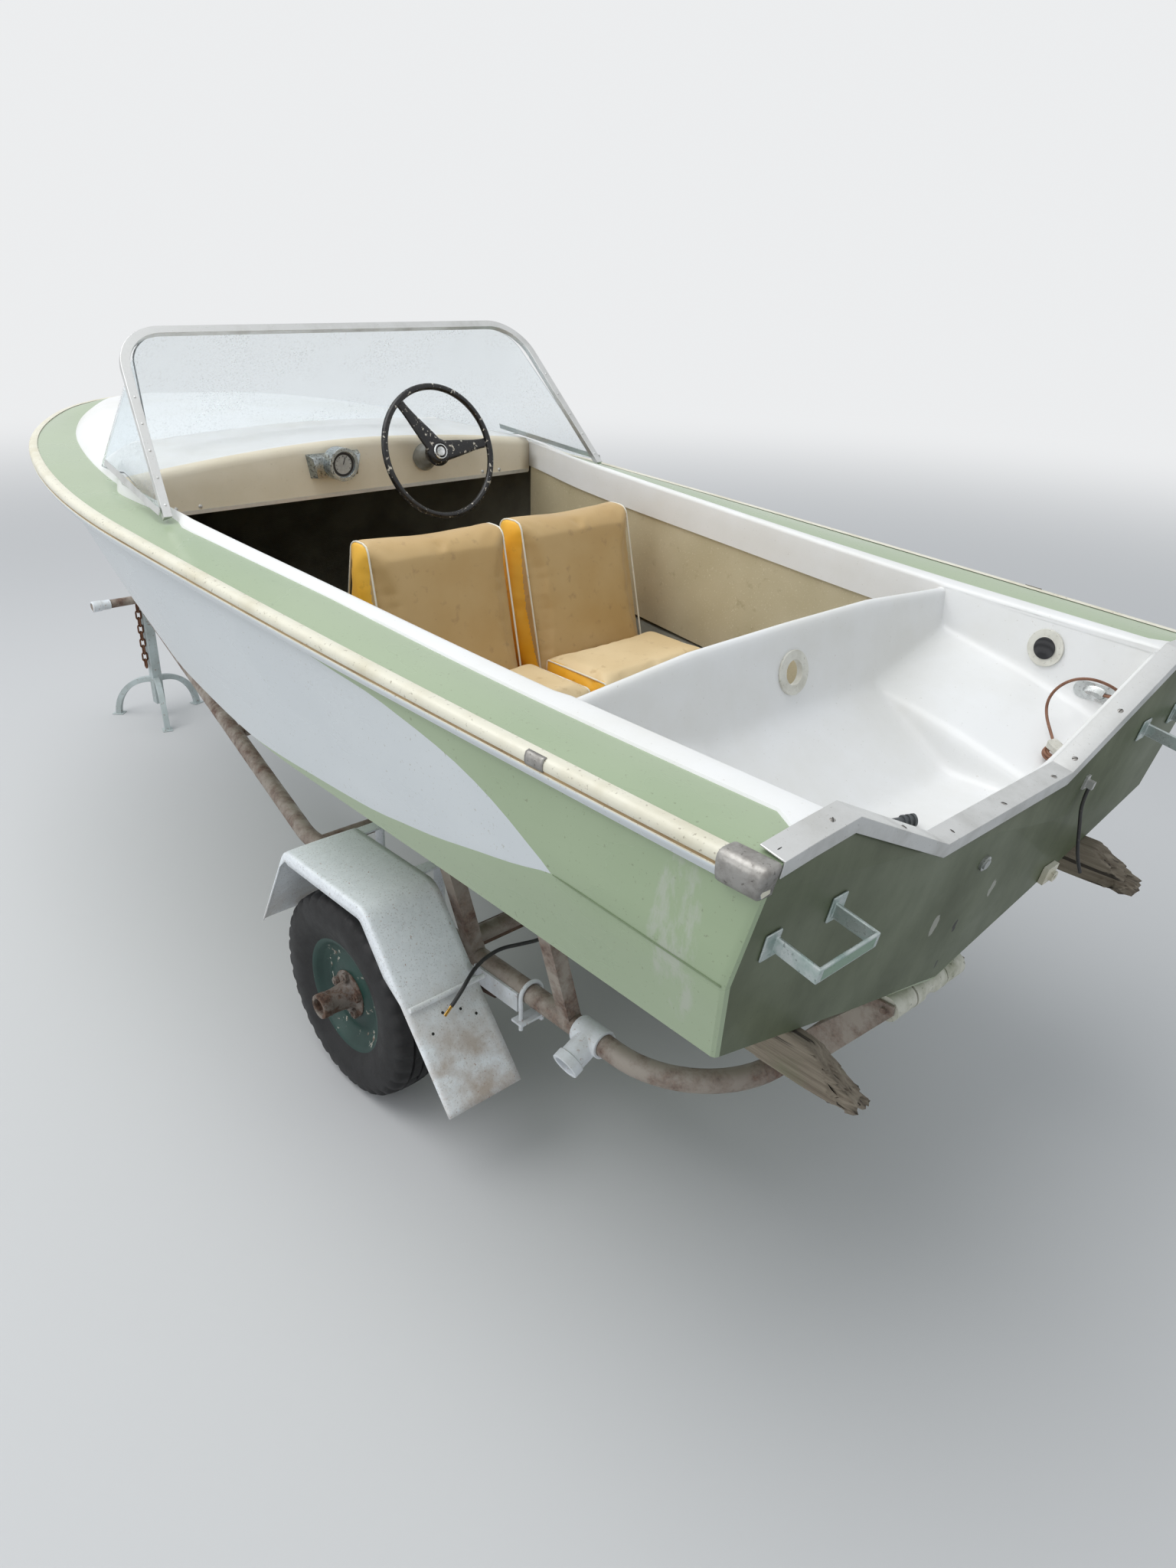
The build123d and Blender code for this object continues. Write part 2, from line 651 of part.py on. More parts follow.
# Back-to-back seats: a base on the floor, a wedge of two backs, and a cushion each way
seat_y = {"port": seat_pair_y + (seat_wide + seat_gap) / 2,
          "starboard": seat_pair_y - (seat_wide + seat_gap) / 2}
base_top = cushion_z - cushion_thick
seat_mid_s = seat_top_s
for side, y0 in seat_y.items():
    with BuildPart() as seat_base:
        with Locations((st(seat_mid_s), y0, floor_z + floor_thick)):
            Box(seat_foot_thick + 2 * cushion_long - 30, seat_wide - 20, base_top - floor_z - floor_thick,
                align=(Align.CENTER, Align.CENTER, Align.MIN))
        add(hull_room.part, mode=Mode.INTERSECT)
    seat_base.part.label = f"seat_base_{side}"
    export_step(seat_base.part, f"parts/seat_base_{side}.step")
    with BuildPart() as seat_back:
        with BuildSketch(Plane.XZ.offset(-(y0 + seat_wide / 2))):
            with BuildLine():
                Polyline([(st(seat_mid_s - seat_foot_thick / 2), base_top),
                          (st(seat_mid_s - seat_top_thick / 2), seat_top_z),
                          (st(seat_mid_s + seat_top_thick / 2), seat_top_z),
                          (st(seat_mid_s + seat_foot_thick / 2), base_top)], close=True)
            make_face()
        extrude(amount=seat_wide)
        add(hull_room.part, mode=Mode.INTERSECT)
    seat_back.part.label = f"seat_back_{side}"
    export_step(seat_back.part, f"parts/seat_back_{side}.step")
    for way, facing in ((-1, "aft"), (1, "forward")):
        with BuildPart() as seat_cushion:
            with BuildSketch(Plane.XZ.offset(-(y0 + seat_wide / 2))):
                with BuildLine():
                    start = seat_foot_thick / 2 + 0.4
                    Polyline([(st(seat_mid_s + way * start), base_top),
                              (st(seat_mid_s + way * (start + cushion_long)), base_top),
                              (st(seat_mid_s + way * (start + cushion_long)), cushion_z),
                              (st(seat_mid_s + way * start), cushion_z)], close=True)
                make_face()
            extrude(amount=seat_wide)
            add(hull_room.part, mode=Mode.INTERSECT)
        seat_cushion.part.label = f"seat_cushion_{facing}_{side}"
        export_step(seat_cushion.part, f"parts/seat_cushion_{facing}_{side}.step")

# Grommet of the bulkhead
with BuildPart() as well_grommet:
    with BuildSketch(grommet_face.offset(0.1)):
        Circle(44)
        Circle(grommet_hole_r, mode=Mode.SUBTRACT)
    extrude(amount=5)
    with BuildSketch(grommet_face.offset(-9)):
        Circle(grommet_hole_r + 2)
        Circle(grommet_hole_r, mode=Mode.SUBTRACT)
    extrude(amount=10)
well_grommet.part.label = "well_grommet"
export_step(well_grommet.part, "parts/well_grommet.step")

# Chassis: one bent pipe down each side and across the back, cross pipes, and the nose bar
def pipe_path(side):
    return [(st(nose_s), side * 10, nose_z), (st(rail_front_s), side * rail_y, rail_z),
            (st(rail_rear_s), side * rail_y, rail_z), (st(rail_rear_s), 0, rail_z)]


def rail_at(s):
    """Half-breadth and height of the side pipe forward of its bend."""
    share = (s - rail_front_s) / (nose_s - rail_front_s)
    return rail_y + share * (10 - rail_y), rail_z + share * (nose_z - rail_z)


nose_bar_s, nose_bar_z, nose_bar_half, nose_bar_r = 3650.0, 520.0, 214.0, 15.0
front_cross_s, middle_cross_s = 2350.0, 960.0
with BuildPart() as chassis_frame:
    for side in (1, -1):
        with BuildLine() as route:
            FilletPolyline(pipe_path(side), radius=[320, rear_bend_r])
        with BuildSketch(Plane(origin=route.line @ 0, z_dir=route.line % 0)):
            Circle(pipe_r)
        sweep(path=route.line)
    for s in (rail_front_s - 60, front_cross_s, middle_cross_s):
        half, z = (rail_y, rail_z) if s < rail_front_s else rail_at(s)
        with Locations(Location((st(s), 0, z), (90, 0, 0))):
            Cylinder(pipe_r - 3, 2 * half)
    with Locations(Location((st(nose_bar_s), 0, nose_bar_z), (90, 0, 0))):
        Cylinder(nose_bar_r, 2 * nose_bar_half)
        Cylinder(nose_bar_r + 2, 2 * nose_bar_half - 148)
chassis_frame.part.label = "chassis_frame"
export_step(chassis_frame.part, "parts/chassis_frame.step")

# Sockets on the ends of the nose bar
with BuildPart() as nose_bar_sockets:
    for side in (1, -1):
        with Locations(Location((st(nose_bar_s), side * (nose_bar_half + 2), nose_bar_z),
                                (-90 * side, 0, 0))):
            Cylinder(19, 72, align=(Align.CENTER, Align.CENTER, Align.MAX))
            with Locations((0, 0, -36)):
                Cylinder(21.5, 34, align=(Align.CENTER, Align.CENTER, Align.MIN))
            Cylinder(nose_bar_r + seat_clear, 80, align=(Align.CENTER, Align.CENTER, Align.MAX),
                     mode=Mode.SUBTRACT)
nose_bar_sockets.part.label = "nose_bar_sockets"
export_step(nose_bar_sockets.part, "parts/nose_bar_sockets.step")


def band(points, thick):
    """Closed outline of an open line of points, thickened to its right with mitred corners."""
    inner = []
    for i, (x, y) in enumerate(points):
        before = points[i - 1] if i else None
        after = points[i + 1] if i + 1 < len(points) else None
        normals = []
        for a, b in ((before, (x, y)), ((x, y), after)):
            if a and b:
                length = hypot(b[0] - a[0], b[1] - a[1])
                normals.append(((b[1] - a[1]) / length, -(b[0] - a[0]) / length))
        nx, ny = sum(n[0] for n in normals), sum(n[1] for n in normals)
        scale = 2 * thick / (nx * nx + ny * ny) if len(normals) == 2 else thick
        inner.append((x + nx * scale, y + ny * scale))
    return points + inner[::-1]


def side_plane(y):
    """Upright plane along the boat at a half-breadth: local x is forward, local y is up, z points to port."""
    return Plane(origin=(heel_x, y, 0), x_dir=(-1, 0, 0), z_dir=(0, 1, 0))


def along(points):
    """Points (station, height) in the coordinates of a side plane."""
    return [(-s, z) for s, z in points]


def section_z(s, y):
    """Height of the hull bottom at a station and half-breadth, inside the chine."""
    rows = [(0.0, heel_z, chine_aft_y, chine_aft_z)] + [row[:4] for row in sections]
    lower = max((r for r in rows if r[0] <= max(s, 0.0)), key=lambda r: r[0])
    upper = min((r for r in rows if r[0] > lower[0]), key=lambda r: r[0])
    share = (s - lower[0]) / (upper[0] - lower[0])
    keel, cy, cz = [lower[i] + share * (upper[i] - lower[i]) for i in (1, 2, 3)]
    return keel + (cz - keel) * abs(y) / cy


# Axle: square beam with a round stub at each end
stub_r = 17.5
axle_half = 500.0
hub_out_y = 703.0
with BuildPart() as axle_beam:
    with Locations((st(wheel_s), 0, wheel_z)):
        Box(40, 2 * axle_half, 40)
    with Locations(Location((st(wheel_s), 0, wheel_z), (90, 0, 0))):
        Cylinder(stub_r, 2 * (hub_out_y - 14))
axle_beam.part.label = "axle_beam"
export_step(axle_beam.part, "parts/axle_beam.step")

# Leaf springs on the axle, under the rails
leaf_thick, leaf_wide = 7.0, 44.0
leaves = [(130.0, 0), (210.0, 1), (300.0, 2)]
spring_rise = 26.0
leaf_base_z = wheel_z + 20
with BuildPart() as leaf_springs:
    for side in (1, -1):
        for half, level in leaves:
            low = leaf_base_z + level * leaf_thick
            rise = spring_rise * (half / leaves[-1][0]) ** 2
            with BuildSketch(side_plane(side * rail_y - leaf_wide / 2)):
                with BuildLine():
                    a = ThreePointArc(*along([(wheel_s - half, low + rise), (wheel_s, low),
                                              (wheel_s + half, low + rise)]))
                    b = ThreePointArc(*along([(wheel_s - half, low + rise + leaf_thick),
                                              (wheel_s, low + leaf_thick),
                                              (wheel_s + half, low + rise + leaf_thick)]))
                    Line(a @ 0, b @ 0)
                    Line(a @ 1, b @ 1)
                make_face()
            extrude(amount=leaf_wide)
leaf_springs.part.label = "leaf_springs"
export_step(leaf_springs.part, "parts/leaf_springs.step")

# Hangers that hold the spring ends under the rails
hanger_top = rail_z - pipe_r
hanger_low = leaf_base_z + 3 * leaf_thick + spring_rise
with BuildPart() as spring_hangers:
    for side in (1, -1):
        for end in (-1, 1):
            with Locations((st(wheel_s + end * (leaves[-1][0] - 18)), side * rail_y,
                            hanger_low + seat_clear)):
                Box(40, leaf_wide + 4, hanger_top - hanger_low + 14,
                    align=(Align.CENTER, Align.CENTER, Align.MIN))
        with Locations(Location((st(wheel_s), side * rail_y, rail_z), (0, 90, 0))):
            Cylinder(pipe_r + seat_clear, 1200, mode=Mode.SUBTRACT)
spring_hangers.part.label = "spring_hangers"
export_step(spring_hangers.part, "parts/spring_hangers.step")

# Wheels: each is a tyre and a rim with its hub tube, turning on the stub
wheel_mid_y = tyre_side_y - tyre_wide / 2
half_tyre = tyre_wide / 2
tyre_profile = [(-45.2, 129), (-47.2, 148.3), (-60, 164), (-half_tyre, 192), (-62, 224), (-52, 243),
                (-38, tyre_r)]


def wheel_plane_at():
    return Plane(origin=(st(wheel_s), 0, wheel_z), x_dir=(0, 1, 0), z_dir=(1, 0, 0))


wheel_axis = Axis((st(wheel_s), 0, wheel_z), (0, 1, 0))
hub_r = 27.0
for side, name in ((1, "port"), (-1, "starboard")):
    with BuildPart() as tyre:
        with BuildSketch(wheel_plane_at()):
            with BuildLine():
                half = [(side * (wheel_mid_y + y), r) for y, r in tyre_profile]
                other = [(side * (wheel_mid_y - y), r) for y, r in reversed(tyre_profile)]
                Polyline(half + other, close=True)
            make_face()
        revolve(axis=wheel_axis)
    tyre.part.label = f"tyre_{name}"
    export_step(tyre.part, f"parts/tyre_{name}.step")
    with BuildPart() as rim:
        with BuildSketch(wheel_plane_at()):
            with BuildLine():
                outside = [(-50.5, 148), (-47.6, 148), (-45.6, 128.6), (45.6, 128.6), (47.6, 148),
                           (50.5, 148),
                           (50.5, 124.6), (34, 124.6), (24, 100), (32, 64), (32, hub_r)]
                inside = [(28, hub_r), (28, 62), (20, 98), (30, 120.6), (-50.5, 124.6)]
                Polyline([(side * (wheel_mid_y + y), r) for y, r in outside + inside], close=True)
            make_face()
            with BuildLine():
                Polyline([(side * y, r) for y, r in
                          [(wheel_mid_y - 48, stub_r + running), (wheel_mid_y - 48, hub_r + 6),
                           (wheel_mid_y + 8, hub_r + 6), (wheel_mid_y + 27, hub_r + 1),
                           (hub_out_y, hub_r + 1),
                           (hub_out_y, hub_r - 6), (hub_out_y - 12, hub_r - 6),
                           (hub_out_y - 12, stub_r + running)]],
                         close=True)
            make_face()
        revolve(axis=wheel_axis)
    rim.part.label = f"rim_{name}"
    export_step(rim.part, f"parts/rim_{name}.step")

# Mudguards: bent sheet with a turned-down outer edge
guard_line = [(1412, 329), (1262, guard_top_z), (925, guard_top_z), (785, 401), (636, 220)]
guard_lip = 26.0
for side, name in ((1, "port"), (-1, "starboard")):
    with BuildPart() as mudguard:
        with BuildSketch(side_plane(side * guard_in_y if side > 0 else -guard_out_y)):
            with BuildLine():
                Polyline(along(band(guard_line, -guard_thick)), close=True)
            make_face()
        extrude(amount=guard_out_y - guard_in_y)
        with BuildSketch(side_plane(side * guard_out_y - (guard_thick if side > 0 else 0))):
            with BuildLine():
                Polyline(along(band(guard_line[1:4], -guard_lip)), close=True)
            make_face()
        extrude(amount=guard_thick)
    mudguard.part.label = f"mudguard_{name}"
    export_step(mudguard.part, f"parts/mudguard_{name}.step")

with BuildPart() as guard_stays:
    for side in (1, -1):
        for s in (975.0, 1215.0):
            arm = [(rail_y + pipe_r + seat_clear, rail_z - 10),
                   (rail_y + pipe_r + seat_clear, guard_top_z - guard_thick),
                   (guard_out_y - 40, guard_top_z - guard_thick)]
            with BuildSketch(cross_plane(s)):
                with BuildLine():
                    Polyline([(side * y, z) for y, z in band(arm, 6)], close=True)
                make_face()
            extrude(amount=34)
        # rod across the outside of the aft bend
        with Locations(Location((st(guard_line[3][0] - 5), side * 568, guard_line[3][1] + 4), (90, 0, 0))):
            Cylinder(6, 192)
guard_stays.part.label = "guard_stays"
export_step(guard_stays.part, "parts/guard_stays.step")


# Tee clamps on the rails, each with a socket that points outward and down
tee_s, tee_r, tee_bore_r = 505.0, 31.0, 24.5
with BuildPart() as rail_tee_clamps:
    for side in (1, -1):
        with Locations(Location((st(tee_s), side * rail_y, rail_z), (0, 90, 0))):
            Cylinder(tee_r, 74)
        with Locations(Location((st(tee_s), side * rail_y, rail_z), (-115 * side, 0, 0))):
            Cylinder(tee_r - 2, 62, align=(Align.CENTER, Align.CENTER, Align.MIN))
            with Locations((0, 0, 62)):
                Cylinder(tee_r + 1, 22, align=(Align.CENTER, Align.CENTER, Align.MIN))
            with Locations((0, 0, 84)):
                Hole(tee_bore_r, depth=52)
        with Locations(Location((st(tee_s), side * rail_y, rail_z), (0, 90, 0))):
            Cylinder(pipe_r + seat_clear, 80, mode=Mode.SUBTRACT)
rail_tee_clamps.part.label = "rail_tee_clamps"
export_step(rail_tee_clamps.part, "parts/rail_tee_clamps.step")

# Front stand: a square post under the nose on three bent legs
stand_s, post_side, leg_side = 3665.0, 38.0, 22.0
leg_reach, leg_rise = 196.0, 176.0
with BuildPart() as front_stand:
    with Locations((st(stand_s), 0, 60)):
        Box(post_side, post_side, nose_bar_z - nose_bar_r - 2 - seat_clear - 60,
            align=(Align.CENTER, Align.CENTER, Align.MIN))
    for angle in (44, 164, 284):
        way = (cos(radians(angle)), sin(radians(angle)))
        leg_plane = Plane(origin=(st(stand_s), 0, 0), x_dir=(way[0], way[1], 0), z_dir=(way[1], -way[0], 0))
        with BuildSketch(leg_plane.offset(-leg_side / 2)):
            with BuildLine():
                outer = ThreePointArc((leg_reach, 0), (12 + (leg_reach - 12) * 0.707, leg_rise * 0.707),
                                      (12, leg_rise))
                inner = ThreePointArc((leg_reach - leg_side, 0), (12 + (leg_reach - 12 - leg_side) * 0.707,
                                      (leg_rise - leg_side) * 0.707), (12, leg_rise - leg_side))
                Line(outer @ 0, inner @ 0)
                Line(outer @ 1, inner @ 1)
            make_face()
        extrude(amount=leg_side)
        with Locations(Location((st(stand_s), 0, 0), (0, 0, angle))):
            with Locations((leg_reach - leg_side / 2, 0, 0)):
                Box(46, 40, 3, align=(Align.CENTER, Align.CENTER, Align.MIN))
front_stand.part.label = "front_stand"
export_step(front_stand.part, "parts/front_stand.step")

# Safety chain hanging beside the post
link_pitch, link_wire_r, link_half = 30.0, 3.5, 9.5
chain_y, chain_top_z, chain_links = post_side / 2 + 13.3, 480.5, 9
link_straight = link_pitch + 2 * link_wire_r + 0.3 - 2 * link_half
with BuildPart() as safety_chain:
    for i in range(chain_links):
        centre = (st(stand_s), chain_y, chain_top_z - i * link_pitch)
        across = (0, 1, 0) if i % 2 else (1, 0, 0)
        frame = Plane(origin=centre, x_dir=across, z_dir=(-across[1], across[0], 0))
        with BuildLine(frame) as loop:
            half_run = link_straight / 2
            Line((link_half, -half_run), (link_half, half_run))
            ThreePointArc((link_half, half_run), (0, half_run + link_half), (-link_half, half_run))
            Line((-link_half, half_run), (-link_half, -half_run))
            ThreePointArc((-link_half, -half_run), (0, -half_run - link_half), (link_half, -half_run))
        with BuildSketch(Plane(origin=loop.line @ 0, z_dir=loop.line % 0)):
            Circle(link_wire_r)
        sweep(path=loop.line)
safety_chain.part.label = "safety_chain"
export_step(safety_chain.part, "parts/safety_chain.step")

# Keel roller at the heel: a bracket from the rear pipe, and rollers on its pin
roller_s, neck_r, roller_r, roller_pin_r = 25.0, 22.0, 26.0, 7.0
roller_z = section_z(roller_s, 0) - seat_clear - neck_r
bracket_y = 118.0
with BuildPart() as roller_bracket:
    for side in (1, -1):
        with BuildSketch(side_plane(side * bracket_y - (0 if side > 0 else 6))):
            with BuildLine():
                Polyline(along([(roller_s - 18, roller_z - 4), (roller_s - 18, roller_z + 16),
                                (roller_s + 20, roller_z + 16),
                                (rail_rear_s + 34, rail_z + 6), (rail_rear_s + 34, rail_z - 26),
                                (rail_rear_s - 30, rail_z - 26)]),
                         close=True)
            make_face()
        extrude(amount=6)
    with Locations(Location((st(rail_rear_s), 0, rail_z), (90, 0, 0))):
        Cylinder(pipe_r + seat_clear, 400, mode=Mode.SUBTRACT)
    with Locations(Location((st(roller_s), 0, roller_z), (90, 0, 0))):
        Cylinder(roller_pin_r, 2 * bracket_y + 24)
roller_bracket.part.label = "roller_bracket"
export_step(roller_bracket.part, "parts/roller_bracket.step")

with BuildPart() as keel_roller:
    with BuildSketch(Plane(origin=(st(roller_s), 0, roller_z), x_dir=(0, 1, 0), z_dir=(1, 0, 0))):
        with BuildLine():
            Polyline([(-bracket_y + 1, roller_pin_r + running), (-bracket_y + 1, roller_r), (-54, roller_r),
                      (-54, 14), (-50, 14),
                      (-50, roller_r + 1), (-24, roller_r + 1), (-16, neck_r), (16, neck_r),
                      (24, roller_r + 1),
                      (50, roller_r + 1), (50, 14), (54, 14), (54, roller_r), (bracket_y - 1, roller_r),
                      (bracket_y - 1, roller_pin_r + running)], close=True)
        make_face()
    revolve(axis=Axis((st(roller_s), 0, roller_z), (0, 1, 0)))
keel_roller.part.label = "keel_roller"
export_step(keel_roller.part, "parts/keel_roller.step")

# Bunks: timber planks on edge under the hull, on posts from the rails
bunk_in_y, bunk_out_y, bunk_deep = 460.0, 505.0, 90.0
bunk_rear_s, bunk_front_s = -165.0, 1060.0
bunk_worn = 58.0        # drop of the rotted top at the rear end


def bunk_top(s, y):
    return section_z(max(s, 0.0), y) - 0.4


with BuildPart() as bunks:
    for side in (1, -1):
        # columns: station, drop of the top, rise of the underside
        for s, worn, rise in ((bunk_rear_s, bunk_worn, 6), (-60.0, 3, 0), (450.0, 0, 0),
                              (bunk_front_s, 0, 0)):
            low = bunk_top(s, bunk_out_y) - bunk_deep + rise
            with BuildSketch(cross_plane(s)):
                with BuildLine():
                    Polyline([(side * bunk_in_y, bunk_top(s, bunk_in_y) - worn),
                              (side * bunk_out_y, bunk_top(s, bunk_out_y) - worn),
                              (side * bunk_out_y, low), (side * bunk_in_y, low)], close=True)
                make_face()
        loft(ruled=True)
bunks.part.label = "bunks"
export_step(bunks.part, "parts/bunks.step")

with BuildPart() as bunk_posts:
    for side in (1, -1):
        for s in (556.0, 880.0):
            head_z = bunk_top(s, bunk_out_y) - bunk_deep - seat_clear
            with BuildSketch(cross_plane(s)):
                with BuildLine():
                    Polyline([(side * (rail_y - 16), rail_z + 14), (side * (rail_y + 18), rail_z + 14),
                              (side * (bunk_out_y - 6), head_z), (side * (bunk_in_y + 4), head_z)],
                             close=True)
                make_face()
            extrude(amount=36)
        with Locations(Location((st(640), side * rail_y, rail_z), (0, 90, 0))):
            Cylinder(pipe_r + seat_clear, 800, mode=Mode.SUBTRACT)
bunk_posts.part.label = "bunk_posts"
export_step(bunk_posts.part, "parts/bunk_posts.step")

# Chock that carries the forward keel on the front cross pipe
chock_pipe_z = rail_at(front_cross_s)[1]
with BuildPart() as keel_chock:
    with BuildSketch(cross_plane(front_cross_s - 30)):
        with BuildLine():
            keel_here = section_z(front_cross_s - 30, 0) - seat_clear
            Polyline([(0, keel_here), (60, section_z(front_cross_s - 30, 60) - seat_clear),
                      (60, keel_here - 30),
                      (30, chock_pipe_z), (-30, chock_pipe_z), (-60, keel_here - 30),
                      (-60, section_z(front_cross_s - 30, 60) - seat_clear)], close=True)
        make_face()
    extrude(amount=60)
    with Locations(Location((st(front_cross_s), 0, chock_pipe_z), (90, 0, 0))):
        Cylinder(pipe_r - 3 + seat_clear, 200, mode=Mode.SUBTRACT)
keel_chock.part.label = "keel_chock"
export_step(keel_chock.part, "parts/keel_chock.step")

# Side plates and U-bolts that hold the spring hangers to the rails
ubolt_s, ubolt_r, plate_z = (700.0, 1500.0), 5.0, rail_z - pipe_r - 34
with BuildPart() as rail_clamps:
    for side in (1, -1):
        for s in ubolt_s:
            with BuildLine(cross_plane(s)) as hoop:
                reach = pipe_r + seat_clear + ubolt_r
                a = Line((side * rail_y - reach, plate_z - 24), (side * rail_y - reach, rail_z))
                c = ThreePointArc(a @ 1, (side * rail_y, rail_z + reach), (side * rail_y + reach, rail_z))
                Line(c @ 1, (side * rail_y + reach, plate_z - 24))
            with BuildSketch(Plane(origin=hoop.line @ 0, z_dir=hoop.line % 0)):
                Circle(ubolt_r)
            sweep(path=hoop.line)
            with Locations((st(s), side * rail_y, plate_z)):
                Box(34, 2 * reach + 26, 6)
    for side in (1, -1):
        with Locations((st(788), side * (rail_y + pipe_r + seat_clear + 3), rail_z - 18)):
            Box(152, 6, 46)
rail_clamps.part.label = "rail_clamps"
export_step(rail_clamps.part, "parts/rail_clamps.step")


def room_z(row, y):
    """Height of the inside of the hull at a half-breadth of a section, below the knuckle."""
    _, keel, cy, cz, ky, kz, *_ = row
    line = [(0, keel + 2 * skin), (cy - skin, cz + skin), (ky - skin, kz)]
    low, high = (line[0], line[1]) if y <= cy - skin else (line[1], line[2])
    return low[1] + (high[1] - low[1]) * (y - low[0]) / (high[0] - low[0])


# Cockpit side panels, hung behind the coaming lips and reaching down to the hull
panel_thick = 4.0
with BuildPart() as side_panels:
    for side in (1, -1):
        for row in coaming_rows[:-1] + [(dash_s - 1,) + sections[3][1:]]:
            y0 = row[6] + skin + seat_clear
            y1 = y0 + panel_thick
            low = room_z(row, y1) + 1
            with BuildSketch(cross_plane(row[0])):
                with BuildLine():
                    Polyline([(side * y0, low), (side * y1, low), (side * y1, row[7] - coaming_lip + 24),
                              (side * y0, row[7] - coaming_lip + 24)], close=True)
                make_face()
        loft(ruled=True)
side_panels.part.label = "side_panels"
export_step(side_panels.part, "parts/side_panels.step")

# Starboard wall of the well: a round grommet and a clamshell vent
def well_row_at(s):
    """Row of the well at a station, between the listed ones."""
    lower = max((r for r in well_rows if r[0] <= s), key=lambda r: r[0])
    upper = min((r for r in well_rows if r[0] > s), key=lambda r: r[0])
    share = (s - lower[0]) / (upper[0] - lower[0])
    return [a + share * (b - a) for a, b in zip(lower, upper)]


def wall_point(s, z):
    """Point of the inner face of the starboard wall."""
    row = well_row_at(s)
    top_y = opening_y(s) - wall_clear - skin
    share = (z - row[4]) / (opening_z(s) - row[4])
    return Vector(st(s), -(row[3] + share * (top_y - row[3])), z)


def on_well_wall(s, z):
    """Plane on the inner face of the starboard wall; local x is aft and local z points into the well."""
    here, aft, above = wall_point(s, z), wall_point(s - 20, z), wall_point(s, z + 20)
    inward = (aft - here).cross(above - here)
    return Plane(origin=here, x_dir=aft - here, z_dir=inward).offset(0.3)


with BuildPart() as side_grommet:
    with BuildSketch(on_well_wall(155, 1100)):
        Circle(39)
    extrude(amount=5)
    with BuildSketch(on_well_wall(155, 1100).offset(5)):
        Circle(23)
    extrude(amount=1)
side_grommet.part.label = "side_grommet"
export_step(side_grommet.part, "parts/side_grommet.step")

vent_long, vent_wide, vent_rise = 88.0, 36.0, 16.0
vent_at = on_well_wall(34, 1038)
vent_mouth = 22.0       # distance of the mouth aft of the vent's middle
with BuildPart() as clamshell_vent:
    with BuildSketch(vent_at):
        SlotOverall(vent_long, vent_wide)
    extrude(amount=2)
    with BuildSketch(vent_at):
        with Locations((2, 0)):
            Ellipse(28, 14)
    extrude(amount=vent_rise, taper=32)
    with BuildSketch(vent_at.offset(2)):
        with Locations((vent_mouth + 18, 0)):
            Rectangle(36, 30)
    extrude(amount=20, mode=Mode.SUBTRACT)
clamshell_vent.part.label = "clamshell_vent"
export_step(clamshell_vent.part, "parts/clamshell_vent.step")


def cord_line(points, wide):
    """Straight runs joined by tangent arcs through points in space, each arc as wide as its runs allow."""
    radii = []
    for before, here, after in zip(points, points[1:], points[2:]):
        first, second = here - before, after - here
        turn = radians(first.get_angle(second))
        radii.append(0.45 * min(first.length, second.length) / tan(turn / 2))
    print("cord", wide, "runs", [round((b - a).length) for a, b in zip(points, points[1:])],
          "radii", [round(r, 1) for r in radii])
    return FilletPolyline(points, radius=radii)


def route(points):
    """Points in space of a route listed as (station, half-breadth, height)."""
    return [Vector(st(s), y, z) for s, y, z in points]


# Clip on the middle cross pipe for the lighting cable
clip_y, clip_z = 202.0, 404.0
with BuildPart() as cable_clip:
    with Locations(Location((st(middle_cross_s), clip_y, rail_z), (90, 0, 0))):
        Cylinder(pipe_r, 16)
    with Locations((st(948.5), clip_y, 399)):
        Box(17, 16, 24)
    with Locations(Location((st(middle_cross_s), clip_y, rail_z), (90, 0, 0))):
        Cylinder(pipe_r - 3 + seat_clear, 40, mode=Mode.SUBTRACT)
cable_clip.part.label = "cable_clip"
export_step(cable_clip.part, "parts/cable_clip.step")

# Lighting cable that hangs over the port rail, with its two bared conductors in ferrules
cable_r, ferrule_r, ferrule_long = 4.5, 1.8, 24.0
cable_route = route([(940, clip_y, clip_z), (893, clip_y, clip_z), (838, 222, 418), (792, 262, 428),
                     (775, 312, 432),
                     (790, 358, 432), (808, 402, 431), (806, 446, 427), (789, 485, 429), (773, 516, 425),
                     (760, 548, 408), (755, 577, 389)])
with BuildPart() as trailer_cable:
    with BuildLine():
        cable_line = cord_line(cable_route, 2 * cable_r)
    with BuildSketch(Plane(origin=cable_line @ 0, z_dir=cable_line % 0)):
        Circle(cable_r)
    sweep(path=cable_line)
trailer_cable.part.label = "trailer_cable"
export_step(trailer_cable.part, "parts/trailer_cable.step")

with BuildPart() as cable_ferrules:
    with BuildSketch(Plane(origin=cable_line @ 1, z_dir=cable_line % 1)):
        with Locations((-2.2, 0), (2.2, 0)):
            Circle(ferrule_r)
    extrude(amount=ferrule_long)
cable_ferrules.part.label = "cable_ferrules"
export_step(cable_ferrules.part, "parts/cable_ferrules.step")

